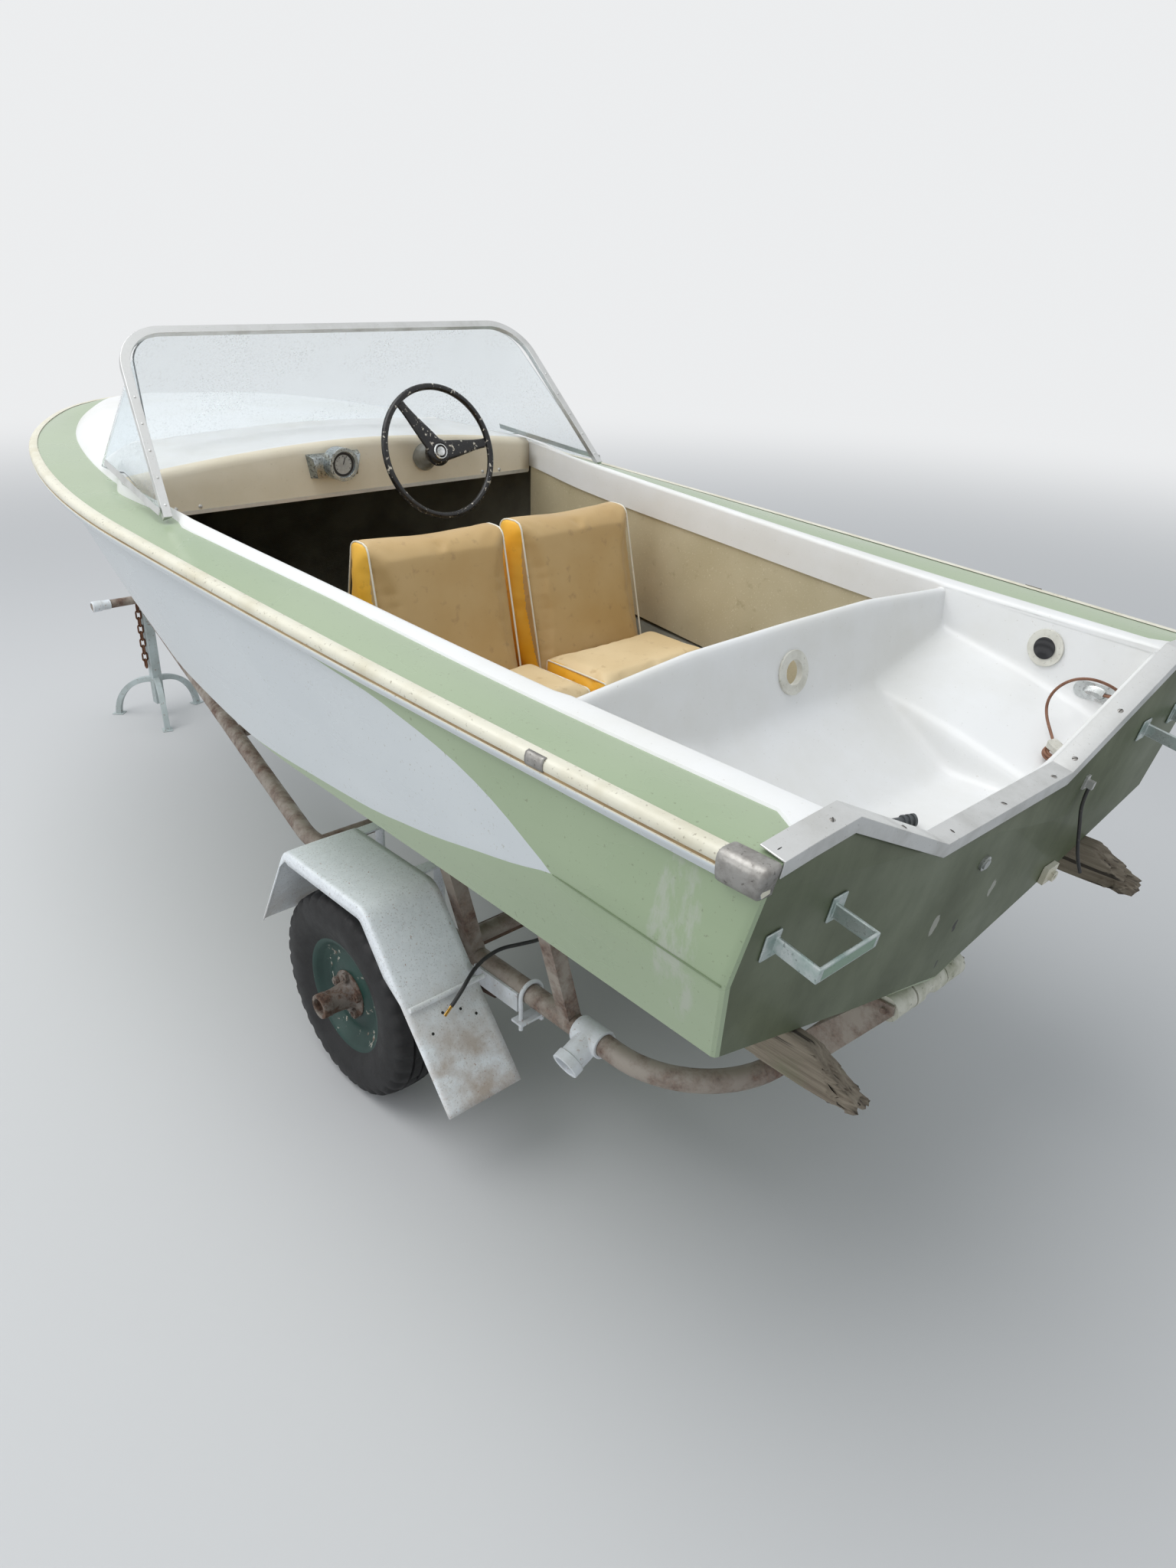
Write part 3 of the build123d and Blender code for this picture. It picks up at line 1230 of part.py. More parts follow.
# Drain elbow on the low floor of the well
elbow_from, elbow_to, elbow_r = (120.0, 42.0), (99.0, -6.0), 9.0
elbow_way = Vector(elbow_to[0] - elbow_from[0], elbow_to[1] - elbow_from[1], 0)
elbow_z = well_low_z + 14
with BuildPart() as well_elbow:
    with Locations((st(elbow_from[0]), elbow_from[1], well_low_z)):
        Cylinder(16, 4, align=(Align.CENTER, Align.CENTER, Align.MIN))
        Cylinder(elbow_r, 14, align=(Align.CENTER, Align.CENTER, Align.MIN))
    with Locations((st(elbow_from[0]), elbow_from[1], elbow_z)):
        Sphere(elbow_r)
    with BuildSketch(Plane(origin=(st(elbow_from[0]), elbow_from[1], elbow_z), z_dir=elbow_way)):
        Circle(elbow_r)
    extrude(amount=elbow_way.length)
    for rib in (0.5, 0.7, 0.9):
        rib_at = Vector(st(elbow_from[0]), elbow_from[1], elbow_z) + elbow_way * rib
        with BuildSketch(Plane(origin=rib_at, z_dir=elbow_way)):
            Circle(elbow_r + 3.5)
        extrude(amount=5)
well_elbow.part.label = "well_elbow"
export_step(well_elbow.part, "parts/well_elbow.step")

# Tied coil of flex on the starboard shelf, with the plug on it
coil_s, coil_y, coil_r, coil_hole_r, coil_thick = 13.0, -352.0, 27.0, 11.0, 17.0


def shelf_point(s, y):
    """Point of the starboard shelf."""
    row = well_row_at(s)
    return Vector(st(s), y, row[2] + (row[4] - row[2]) * (-y - shelf_y) / (row[3] - shelf_y))


coil_origin = shelf_point(coil_s, coil_y)
coil_out = shelf_point(coil_s + 12.4, coil_y - 15.6) - coil_origin
coil_side = shelf_point(coil_s + 15.6, coil_y + 12.4) - coil_origin
coil_plane = Plane(origin=coil_origin, x_dir=coil_out, z_dir=coil_out.cross(coil_side)).offset(0.2)
with BuildPart() as flex_coil:
    with BuildSketch(coil_plane):
        RegularPolygon(coil_r, 16, major_radius=False, rotation=11.25)
        Circle(coil_hole_r, mode=Mode.SUBTRACT)
    extrude(amount=coil_thick)
flex_coil.part.label = "flex_coil"
export_step(flex_coil.part, "parts/flex_coil.step")

with BuildPart() as flex_plug:
    with BuildSketch(coil_plane.offset(coil_thick)):
        with Locations(Location((-3, 4, 0), (0, 0, 30))):
            RectangleRounded(36, 22, 5)
    extrude(amount=16)
flex_plug.part.label = "flex_plug"
export_step(flex_plug.part, "parts/flex_plug.step")

# Flex that leaves the vent, loops over the well and goes into the coil
flex_r = 3.0
flex_exit = vent_at.from_local_coords(Vector(vent_mouth, 0, 5.6))
flex_first = vent_at.from_local_coords(Vector(vent_mouth + 34, 0, 5.6))
flex_enter = coil_plane.from_local_coords(Vector(coil_r, 0, coil_thick / 2))
flex_last = coil_plane.from_local_coords(Vector(coil_r + 26, 0, coil_thick / 2))
flex_route = [flex_exit, flex_first] + route([(-30, -496, 1062), (-13, -468, 1082), (16, -449, 1091),
                                              (47, -440, 1083),
                                              (72, -434, 1060), (83, -428, 1030), (73, -415, 1003)])
flex_route += [flex_last, flex_enter]
with BuildPart() as well_flex:
    with BuildLine():
        flex_line = cord_line(flex_route, 2 * flex_r)
    with BuildSketch(Plane(origin=flex_line @ 0, z_dir=flex_line % 0)):
        Circle(flex_r)
    sweep(path=flex_line)
well_flex.part.label = "well_flex"
export_step(well_flex.part, "parts/well_flex.step")

# Black tube that hangs from an eye on the transom
eye_y, eye_z, tube_r = -313.0, 940.0, 3.5
with BuildPart() as tube_eye:
    with Locations(Location(on_transom(eye_y, eye_z))):
        Box(14, 30, 4, align=(Align.CENTER, Align.CENTER, Align.MIN))
        with Locations((0, 0, 4)):
            Box(9, 16, 14, align=(Align.CENTER, Align.CENTER, Align.MIN))
tube_eye.part.label = "tube_eye"
export_step(tube_eye.part, "parts/tube_eye.step")

tube_start = on_transom(eye_y, eye_z).from_local_coords(Vector(0, 8, 11))
tube_next = on_transom(eye_y, eye_z).from_local_coords(Vector(0, 44, 11))
tube_route = [tube_start, tube_next] + route([(-79, -312, 848), (-83, -314, 808), (-87, -323, 772),
                                              (-90, -340, 742)])
with BuildPart() as drain_tube:
    with BuildLine():
        tube_line = cord_line(tube_route, 2 * tube_r)
    with BuildSketch(Plane(origin=tube_line @ 0, z_dir=tube_line % 0)):
        Circle(tube_r)
    sweep(path=tube_line)
drain_tube.part.label = "drain_tube"
export_step(drain_tube.part, "parts/drain_tube.step")
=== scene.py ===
# %% [markdown]
# # A small open speedboat on its trailer
# This lesson dresses a measured frame of the boat with meshes and materials in Blender. The frame is
# loaded first and never moved. Each later piece is placed in the same metres, with x forward, y to port
# and z up. Stations are measured in millimetres forward from the heel, where the keel meets the transom.

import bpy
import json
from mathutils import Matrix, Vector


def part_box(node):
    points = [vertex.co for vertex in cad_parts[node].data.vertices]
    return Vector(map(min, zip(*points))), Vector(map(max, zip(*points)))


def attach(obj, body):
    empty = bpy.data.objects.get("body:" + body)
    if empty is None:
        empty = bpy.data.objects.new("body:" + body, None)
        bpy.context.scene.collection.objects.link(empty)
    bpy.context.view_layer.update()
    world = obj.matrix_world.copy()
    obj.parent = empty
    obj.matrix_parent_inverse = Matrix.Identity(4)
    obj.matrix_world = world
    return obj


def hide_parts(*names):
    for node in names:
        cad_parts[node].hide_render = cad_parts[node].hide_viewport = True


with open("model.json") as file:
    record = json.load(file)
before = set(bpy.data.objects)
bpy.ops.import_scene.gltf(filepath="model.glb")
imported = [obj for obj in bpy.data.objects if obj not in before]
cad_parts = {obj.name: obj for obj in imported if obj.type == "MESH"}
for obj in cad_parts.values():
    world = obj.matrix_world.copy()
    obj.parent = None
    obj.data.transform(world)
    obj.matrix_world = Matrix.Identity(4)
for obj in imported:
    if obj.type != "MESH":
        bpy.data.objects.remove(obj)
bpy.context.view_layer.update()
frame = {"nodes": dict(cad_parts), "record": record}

# %% Tools from Blender and Python
import json
import math

import bmesh
import bpy
from mathutils import Matrix, Vector, noise

scene = bpy.context.scene
scene.view_settings.view_transform = "Standard"
ROOT = "boat_and_trailer"
HEEL_X = -1.822
SIDES = ((1, "port"), (-1, "starboard"))


def at(s, y, z):
    """Point of the scene in metres from a station, half-breadth and height in millimetres."""
    return Vector((HEEL_X + s / 1000, y / 1000, z / 1000))


# %% [markdown]
# ## Camera
# The photograph was taken from behind the port quarter with a wide lens, at eye height. The camera is
# given by the three directions it sees: to its right, up and forward. A wide lens makes the near
# transom look large and the bow small, so the lens matters as much as the place.

# %% Camera
CAMERA_AT = Vector((-2.620, 1.662, 1.801))
CAMERA_RIGHT = Vector((-0.6772, -0.7355, 0.0232))
CAMERA_FORWARD = Vector((0.6581, -0.6194, -0.4282))
LENS_MM = 25.18

camera_right = CAMERA_RIGHT.normalized()
camera_back = -CAMERA_FORWARD.normalized()
camera_up = camera_back.cross(camera_right).normalized()
camera_data = bpy.data.cameras.new("view_camera")
camera_data.lens = LENS_MM
camera_data.sensor_width = 36
camera = bpy.data.objects.new("view_camera", camera_data)
camera.matrix_world = Matrix.Translation(CAMERA_AT) @ Matrix(
    [[camera_right[i], camera_up[i], camera_back[i]] for i in range(3)]
).to_4x4()
scene.collection.objects.link(camera)
scene.camera = camera
print("camera", camera.matrix_world.translation)

# %% [markdown]
# ## Floor and light
# A large pale floor stands for the studio. The world is almost white to the camera and to mirrors, but
# gives the object a soft, even light. A broad lamp overhead and one on the port side model the form, so
# that the topsides look brighter than the transom, as they do outdoors; the transom's finish also carries
# painted shade.

# %% Floor
FLOOR_HALF = 250.0
FLOOR_GREY = (0.58, 0.58, 0.58, 1.0)


def node_material(name):
    """New material with its node tree and its main shader."""
    material = bpy.data.materials.new(name)
    material.use_nodes = True
    shader = material.node_tree.nodes["Principled BSDF"]
    return material, material.node_tree, shader


def mesh_object(name, vertices, faces):
    """Object made from points and faces, ready to be given a material and a body."""
    mesh = bpy.data.meshes.new(name)
    mesh.from_pydata([tuple(v) for v in vertices], [], faces)
    mesh.update()
    piece = bpy.data.objects.new(name, mesh)
    scene.collection.objects.link(piece)
    return piece


floor_corners = [(-1, -1), (1, -1), (1, 1), (-1, 1)]
studio_floor = mesh_object(
    "studio_floor", [(x * FLOOR_HALF, y * FLOOR_HALF, -0.0005) for x, y in floor_corners], [(0, 1, 2, 3)]
)
floor_finish, floor_tree, floor_shader = node_material("studio_floor_finish")
floor_shader.inputs["Base Color"].default_value = FLOOR_GREY
floor_shader.inputs["Roughness"].default_value = 0.9
studio_floor.data.materials.append(floor_finish)
print("floor", studio_floor.dimensions)

# %% World
WORLD_GREY = (0.87, 0.93, 0.99, 1.0)
WORLD_STRENGTH = 0.66
BACKDROP = (0.84, 0.85, 0.86, 1.0)


def shade_node(tree, kind, **settings):
    """Shader node of a kind with properties and input values set by name."""
    node = tree.nodes.new("ShaderNode" + kind)
    for name, value in settings.items():
        key = name.replace("_", " ")
        if hasattr(node, name):
            setattr(node, name, value)
        elif key.title() in node.inputs:
            node.inputs[key.title()].default_value = value
        else:
            node.inputs[key].default_value = value
    return node


def seen_rays(tree):
    """Mask of the rays that carry a picture: to the camera, through a clear sheet, or off a mirror."""
    paths = shade_node(tree, "LightPath")
    mask = paths.outputs["Is Camera Ray"]
    for kind in ("Is Transmission Ray", "Is Glossy Ray"):
        either = shade_node(tree, "Math", operation="MAXIMUM")
        tree.links.new(mask, either.inputs[0])
        tree.links.new(paths.outputs[kind], either.inputs[1])
        mask = either.outputs[0]
    return mask


def mixed(tree, mask, dark, bright, output):
    """Show one shader where a mask is 0 and another where it is 1."""
    mix_node = shade_node(tree, "MixShader")
    for socket, source in zip(mix_node.inputs, (mask, dark, bright)):
        tree.links.new(source, socket)
    tree.links.new(mix_node.outputs[0], output.inputs["Surface"])


studio_world = bpy.data.worlds.new("studio_world")
studio_world.use_nodes = True
scene.world = studio_world
world_tree = studio_world.node_tree
world_tree.nodes.clear()
lit_world = shade_node(world_tree, "Background", strength=WORLD_STRENGTH)
lit_world.inputs["Color"].default_value = WORLD_GREY
seen_world = shade_node(world_tree, "Background")
seen_world.inputs["Color"].default_value = BACKDROP
mixed(world_tree, seen_rays(world_tree), lit_world.outputs[0], seen_world.outputs[0],
      shade_node(world_tree, "OutputWorld"))
print("world nodes", len(world_tree.nodes))


# %% Lamps
def soft_lamp(name, place, aim, wide, watts):
    """Broad square lamp that points at a place."""
    data = bpy.data.lights.new(name, "AREA")
    data.shape = "SQUARE"
    data.size = wide
    data.energy = watts
    lamp = bpy.data.objects.new(name, data)
    lamp.location = place
    lamp.rotation_euler = (Vector(aim) - Vector(place)).to_track_quat("-Z", "Y").to_euler()
    scene.collection.objects.link(lamp)


soft_lamp("sky_lamp", (0.6, 2.0, 6.5), (0, 0, 0.6), 6.0, 300)
soft_lamp("side_lamp", (0.5, 6.5, 2.6), (-0.4, 0, 0.7), 3.5, 60)

# %% [markdown]
# ## Finishes
# Every finish is made from nodes. Each starts as a base colour and a roughness, and then noise at two
# or three scales adds what age has done: large soft stains, small specks, and a fine bump that breaks
# the shine. One helper builds the common part, so each finish is only a short list of its own numbers.

# %% Node helpers
def place_of(tree, stretch=(1, 1, 1)):
    """Place of a surface point in the object's own metres, stretched along chosen axes."""
    coords = tree.nodes.get("coords") or tree.nodes.new("ShaderNodeTexCoord")
    coords.name = "coords"
    if stretch == (1, 1, 1):
        return coords.outputs["Object"]
    mapping = shade_node(tree, "Mapping")
    mapping.inputs["Scale"].default_value = stretch
    tree.links.new(coords.outputs["Object"], mapping.inputs["Vector"])
    return mapping.outputs["Vector"]


def noise_field(tree, scale, detail=4.0, rough=0.55, stretch=(1, 1, 1), distort=0.0):
    """Cloudy field; a larger scale gives smaller clouds."""
    clouds = shade_node(tree, "TexNoise", scale=scale, detail=detail, roughness=rough, distortion=distort)
    tree.links.new(place_of(tree, stretch), clouds.inputs["Vector"])
    return clouds.outputs["Fac"]


def cells_field(tree, scale, feature="F1", output="Distance", randomness=1.0):
    """Field of small cells, like the pebbles of a grain or the squares of a net."""
    cells = shade_node(tree, "TexVoronoi", feature=feature, scale=scale, randomness=randomness)
    tree.links.new(place_of(tree), cells.inputs["Vector"])
    return cells.outputs[output]


def steps_of(tree, field, low, high):
    """Field turned into a mask that rises from 0 at one value to 1 at another."""
    ramp = shade_node(tree, "MapRange", clamp=True)
    ramp.inputs["From Min"].default_value = low
    ramp.inputs["From Max"].default_value = high
    tree.links.new(field, ramp.inputs["Value"])
    return ramp.outputs["Result"]


def product(tree, a, b):
    """Product of two masks, or of a mask and a number."""
    both = shade_node(tree, "Math", operation="MULTIPLY")
    for socket, value in zip(both.inputs, (a, b)):
        if isinstance(value, (int, float)):
            socket.default_value = value
        else:
            tree.links.new(value, socket)
    return both.outputs[0]


def tint(tree, under, over, mask, strength=1.0):
    """Colour that turns from one to another where a mask is bright; plain colours are 0 to 255."""
    blend = shade_node(tree, "Mix", data_type="RGBA")
    tree.links.new(product(tree, mask, strength), blend.inputs["Factor"])
    for socket, colour in ((blend.inputs["A"], under), (blend.inputs["B"], over)):
        if isinstance(colour, tuple):
            socket.default_value = srgb(*colour)
        else:
            tree.links.new(colour, socket)
    return blend.outputs["Result"]


def level(tree, low, high, mask):
    """Number that follows a mask between two values."""
    ramp = shade_node(tree, "MapRange")
    ramp.inputs["To Min"].default_value = low
    ramp.inputs["To Max"].default_value = high
    tree.links.new(mask, ramp.inputs["Value"])
    return ramp.outputs["Result"]


def bump(tree, shader, *layers):
    """Bump the shader with layers of (field, strength, distance in metres)."""
    before = None
    for field, strength, distance in layers:
        relief = shade_node(tree, "Bump", strength=strength, distance=distance)
        tree.links.new(field, relief.inputs["Height"])
        if before is not None:
            tree.links.new(before, relief.inputs["Normal"])
        before = relief.outputs["Normal"]
    tree.links.new(before, shader.inputs["Normal"])


def srgb(*values):
    """Linear colour from the everyday 0 to 255 values."""
    parts = [c / 255 for c in values]
    return (*[c / 12.92 if c <= 0.04045 else ((c + 0.055) / 1.055) ** 2.4 for c in parts], 1.0)


def height_mask(tree, low, high):
    """Mask that rises with height above the floor, in metres."""
    split = shade_node(tree, "SeparateXYZ")
    tree.links.new(place_of(tree), split.inputs[0])
    return steps_of(tree, split.outputs["Z"], low, high)


def finish_shader(tree, shader, colour, rough, mask, **inputs):
    """Give the shader its colour, a roughness that follows a mask, and values for other inputs."""
    tree.links.new(colour, shader.inputs["Base Color"])
    tree.links.new(level(tree, *rough, mask), shader.inputs["Roughness"])
    for name, value in inputs.items():
        shader.inputs[name.replace("_", " ")].default_value = value


print("middle grey", [round(c, 3) for c in srgb(128, 128, 128)])


# %% One builder for worn finishes
def worn_finish(name, clean, stain, spot, rough=(0.35, 0.55), metal=0.0, stain_size=3.0, spot_size=60.0,
                stain_amount=0.6, spot_amount=0.6, spot_edge=(0.62, 0.70), relief=0.25, coat=0.0):
    """Finish with a clean colour, soft stains, small spots and a fine uneven surface."""
    material, tree, shader = node_material(name)
    stains = steps_of(tree, noise_field(tree, stain_size, 6, 0.6), 0.42, 0.68)
    spots = steps_of(tree, noise_field(tree, spot_size, 3, 0.6), *spot_edge)
    colour = tint(tree, clean, stain, stains, stain_amount)
    colour = tint(tree, colour, spot, spots, spot_amount)
    finish_shader(tree, shader, colour, rough, stains, Metallic=metal, Coat_Weight=coat, Coat_Roughness=0.12)
    bump(tree, shader, (noise_field(tree, 220, 3), relief, 0.0006), (spots, relief * 0.6, 0.0004))
    return material


finishes = {
    "aluminium_trim": worn_finish(
        "dull_aluminium", (212, 213, 212), (168, 168, 164), (120, 112, 100), rough=(0.34, 0.52),
        metal=0.85, stain_size=11, spot_size=240, stain_amount=0.45, spot_amount=0.45,
        spot_edge=(0.66, 0.72), relief=0.12),
    "axle_steel": worn_finish(
        "rusty_axle", (96, 74, 58), (60, 42, 32), (150, 120, 96), rough=(0.7, 0.9), stain_size=18,
        spot_size=90, relief=0.6),
    "boss_black": worn_finish(
        "boss_shell", (150, 150, 144), (104, 102, 98), (60, 56, 50), rough=(0.3, 0.5), metal=0.6,
        stain_size=25, spot_size=120, relief=0.2),
    "cable_black": worn_finish(
        "cable_jacket", (40, 40, 42), (66, 64, 60), (96, 92, 84), rough=(0.45, 0.65), stain_size=30,
        spot_size=240, spot_amount=0.4, relief=0.2),
    "chain_iron": worn_finish(
        "rusty_chain_iron", (106, 68, 44), (62, 38, 26), (150, 100, 62), rough=(0.75, 0.92),
        stain_size=60, spot_size=200, relief=0.7),
    "clamp_zinc": worn_finish(
        "dull_zinc", (226, 230, 234), (188, 188, 184), (150, 108, 78), rough=(0.42, 0.66), stain_size=22,
        spot_size=110, relief=0.3),
    "ferrule_brass": worn_finish(
        "crimped_brass", (200, 160, 84), (140, 104, 52), (90, 66, 38), rough=(0.28, 0.45), metal=1.0,
        stain_size=120, spot_size=400, relief=0.2),
    "flex_brown": worn_finish(
        "brown_flex_jacket", (128, 88, 66), (96, 62, 46), (168, 132, 108), rough=(0.55, 0.75),
        stain_size=40, spot_size=260, relief=0.3),
    "plug_cream": worn_finish(
        "plug_shell", (206, 204, 194), (164, 160, 148), (120, 112, 98), rough=(0.4, 0.6), stain_size=50,
        spot_size=200, relief=0.2),
    "gelcoat_cream": worn_finish(
        "white_gelcoat", (230, 230, 229), (214, 212, 204), (158, 148, 126), rough=(0.32, 0.48),
        stain_size=3.2, spot_size=150, stain_amount=0.5, spot_amount=0.3, spot_edge=(0.68, 0.73),
        relief=0.06, coat=0.15),
    "stand_paint": worn_finish(
        "stand_paint_blue_grey", (186, 196, 196), (150, 156, 152), (124, 84, 58), rough=(0.5, 0.7),
        stain_size=9, spot_size=70, relief=0.3),
    "dial_black": worn_finish(
        "silver_dial", (170, 172, 170), (130, 130, 126), (96, 92, 86), rough=(0.3, 0.5), metal=0.4,
        stain_size=60, spot_size=300, relief=0.1),
    "roller_nylon": worn_finish(
        "mossy_nylon", (206, 204, 190), (120, 124, 88), (84, 80, 58), rough=(0.5, 0.75), stain_size=22,
        spot_size=110, relief=0.4),
    "spring_steel": worn_finish(
        "rusty_springs", (84, 62, 50), (52, 38, 30), (128, 92, 66), rough=(0.7, 0.9), stain_size=24,
        spot_size=120, relief=0.6),
    "seat_base": worn_finish(
        "seat_base_yellow", (226, 176, 62), (196, 146, 44), (150, 108, 44), rough=(0.4, 0.6),
        stain_size=8, spot_size=120, spot_amount=0.4, relief=0.2),
    "grommet_white": worn_finish(
        "grommet_rubber", (216, 214, 204), (180, 176, 162), (120, 112, 98), rough=(0.45, 0.6),
        stain_size=30, spot_size=150, spot_amount=0.4, relief=0.15),
    "grommet_grey": worn_finish(
        "dark_grey_rubber", (74, 78, 80), (52, 54, 56), (110, 110, 108), rough=(0.5, 0.65), stain_size=40,
        spot_size=200, relief=0.2),
}
print("finishes", len(finishes))

# %% [markdown]
# ## Finishes with a pattern of their own
# Some finishes need more than stains. Gel coat has a shine under the chalk, weathered timber has grain
# along its length, rust breaks through paint in patches with hard edges, and chrome pits in clusters.

# %% Gel coats
def near_spot(tree, place, size, squash_by=(1, 1, 1)):
    """Mask of a ragged patch round a place of the object, in metres."""
    wobble = shade_node(tree, "TexNoise", scale=60.0, detail=4.0)
    tree.links.new(place_of(tree), wobble.inputs["Vector"])
    moved = shade_node(tree, "VectorMath", operation="MULTIPLY_ADD")
    tree.links.new(wobble.outputs["Color"], moved.inputs[0])
    moved.inputs[1].default_value = (0.016, 0.016, 0.016)
    tree.links.new(place_of(tree), moved.inputs[2])
    away = shade_node(tree, "VectorMath", operation="SUBTRACT")
    tree.links.new(moved.outputs[0], away.inputs[0])
    away.inputs[1].default_value = tuple(place + Vector((0.008, 0.008, 0.008)))
    flat = shade_node(tree, "VectorMath", operation="MULTIPLY")
    tree.links.new(away.outputs[0], flat.inputs[0])
    flat.inputs[1].default_value = squash_by
    far = shade_node(tree, "VectorMath", operation="LENGTH")
    tree.links.new(flat.outputs[0], far.inputs[0])
    return steps_of(tree, far.outputs["Value"], size, size * 0.85)


def gelcoat(name, clean, chalk, deep, grime, weathered=None):
    """Old polished resin: a faint mottling, chalky patches, dark specks and a soft shine."""
    material, tree, shader = node_material(name)
    mottle = steps_of(tree, noise_field(tree, 1.6, 5, 0.55), 0.35, 0.72)
    chalked = steps_of(tree, noise_field(tree, 4, 4, 0.5, (0.5, 1, 1.6)), 0.40, 0.80)
    specks = steps_of(tree, noise_field(tree, 170, 2, 0.5), 0.67, 0.74)
    colour = tint(tree, clean, deep, mottle, 0.6)
    colour = tint(tree, colour, chalk, chalked, 0.55)
    colour = tint(tree, colour, grime, specks, 0.45)
    if weathered is not None:
        runs = steps_of(tree, noise_field(tree, 46, 6, 0.65, (1, 1, 0.35)), 0.44, 0.60)
        worn = product(tree, near_spot(tree, weathered, 0.11, (2.4, 0.5, 0.75)), runs)
        colour = tint(tree, colour, (174, 177, 166), worn, 0.6)
    finish_shader(tree, shader, colour, (0.24, 0.46), chalked, Coat_Weight=0.2, Coat_Roughness=0.15)
    bump(tree, shader, (noise_field(tree, 5, 2), 0.05, 0.003), (noise_field(tree, 420, 2), 0.05, 0.0004))
    return material


finishes["gelcoat_green"] = gelcoat(
    "sage_gelcoat", (154, 170, 138), (168, 181, 153), (140, 157, 124), (104, 106, 82), at(26, 728, 985))
flash_white = gelcoat("flash_gelcoat", (202, 207, 209), (212, 216, 217), (188, 194, 198), (150, 144, 124))
finishes["rail_white"] = worn_finish(
    "cream_rail", (222, 218, 200), (196, 188, 162), (120, 106, 84), rough=(0.35, 0.55), stain_size=9,
    spot_size=130, relief=0.1, coat=0.1)
print("gel coats", finishes["gelcoat_green"].name, flash_white.name)


# %% Paint that lets the rust through
def rusted_paint(name, paint, faded, rust, deep_rust, bare, patch_size):
    """Paint with hard-edged patches of rust that stand a little proud."""
    material, tree, shader = node_material(name)
    patches = steps_of(tree, noise_field(tree, patch_size, 8, 0.68), *bare)
    grains = noise_field(tree, 130, 4, 0.65)
    coat_colour = tint(tree, paint, faded, steps_of(tree, noise_field(tree, 6, 4), 0.4, 0.65), 0.8)
    rust_colour = tint(tree, rust, deep_rust, steps_of(tree, grains, 0.38, 0.62), 1.0)
    finish_shader(tree, shader, tint(tree, coat_colour, rust_colour, patches), (0.48, 0.86), patches)
    bump(tree, shader, (patches, 0.35, 0.0008), (grains, 0.4, 0.0007))
    return material


finishes["chassis_paint"] = rusted_paint(
    "rusty_chassis_paint", (160, 150, 139), (140, 129, 118), (122, 98, 84), (88, 68, 60), (0.42, 0.64), 13)
finishes["rim_paint"] = rusted_paint(
    "flaking_rim_paint", (12, 42, 38), (24, 62, 54), (196, 200, 190), (96, 74, 56), (0.60, 0.62), 26)
rusty_hub = rusted_paint(
    "rusty_hub_iron", (122, 113, 104), (92, 84, 78), (98, 76, 62), (62, 44, 34), (0.44, 0.56), 34)


def galvanised_sheet(name):
    """Dull zinc with fine spangle, rust specks, and brown road dirt on the lower part."""
    material, tree, shader = node_material(name)
    spangle = cells_field(tree, 90, output="Color")
    flecks = steps_of(tree, noise_field(tree, 260, 3, 0.6), 0.58, 0.66)
    rust = product(tree, steps_of(tree, noise_field(tree, 120, 4, 0.6), 0.66, 0.70),
                   steps_of(tree, noise_field(tree, 9, 3), 0.40, 0.60))
    dirt = product(tree, steps_of(tree, noise_field(tree, 13, 6, 0.65), 0.34, 0.66),
                   height_mask(tree, 0.46, 0.30))
    colour = tint(tree, (240, 244, 247), (220, 225, 228), spangle, 0.5)
    colour = tint(tree, colour, (160, 158, 154), flecks, 0.5)
    colour = tint(tree, colour, (170, 150, 130), dirt, 0.8)
    colour = tint(tree, colour, (150, 98, 60), rust, 0.9)
    finish_shader(tree, shader, colour, (0.46, 0.74), dirt, Metallic=0.1)
    bump(tree, shader, (noise_field(tree, 300, 3), 0.25, 0.0005), (rust, 0.4, 0.0006))
    return material


finishes["guard_paint"] = galvanised_sheet("galvanised_guard")
print("painted steel", finishes["chassis_paint"].name, rusty_hub.name, finishes["guard_paint"].name)


# %% Timber, rubber and chrome
def weathered_timber(name):
    """Grey split planks with grain along the boat."""
    material, tree, shader = node_material(name)
    grain = noise_field(tree, 26, 8, 0.7, (0.16, 3.2, 3.2), 0.4)
    splits = steps_of(tree, noise_field(tree, 34, 3, 0.5, (0.06, 2.4, 2.4)), 0.62, 0.66)
    colour = tint(tree, (150, 140, 124), (96, 84, 70), steps_of(tree, grain, 0.35, 0.65), 0.9)
    colour = tint(tree, colour, (118, 128, 96), steps_of(tree, noise_field(tree, 7, 4), 0.52, 0.7), 0.4)
    colour = tint(tree, colour, (44, 38, 32), splits, 0.9)
    tree.links.new(colour, shader.inputs["Base Color"])
    shader.inputs["Roughness"].default_value = 0.86
    bump(tree, shader, (grain, 0.7, 0.002), (splits, 0.6, -0.003))
    return material


finishes["bunk_timber"] = weathered_timber("weathered_timber")
finishes["tyre_rubber"] = worn_finish(
    "old_tyre_rubber", (15, 15, 17), (29, 28, 28), (56, 52, 46), rough=(0.55, 0.78), stain_size=14,
    spot_size=170, spot_amount=0.35, relief=0.35)


def pitted_chrome(name):
    """Chrome whose pits come in clusters."""
    material, tree, shader = node_material(name)
    pits = steps_of(tree, noise_field(tree, 190, 3, 0.6), 0.60, 0.68)
    clusters = steps_of(tree, noise_field(tree, 22, 3), 0.40, 0.60)
    marks = product(tree, pits, clusters)
    colour = tint(tree, (228, 230, 230), (128, 134, 130), clusters, 0.6)
    colour = tint(tree, colour, (62, 56, 48), marks, 0.9)
    finish_shader(tree, shader, colour, (0.10, 0.38), clusters, Metallic=1.0)
    bump(tree, shader, (marks, 0.4, -0.0005), (noise_field(tree, 60, 2), 0.05, 0.001))
    return material


finishes["chrome_trim"] = pitted_chrome("pitted_chrome")
print("chrome", finishes["chrome_trim"].name)


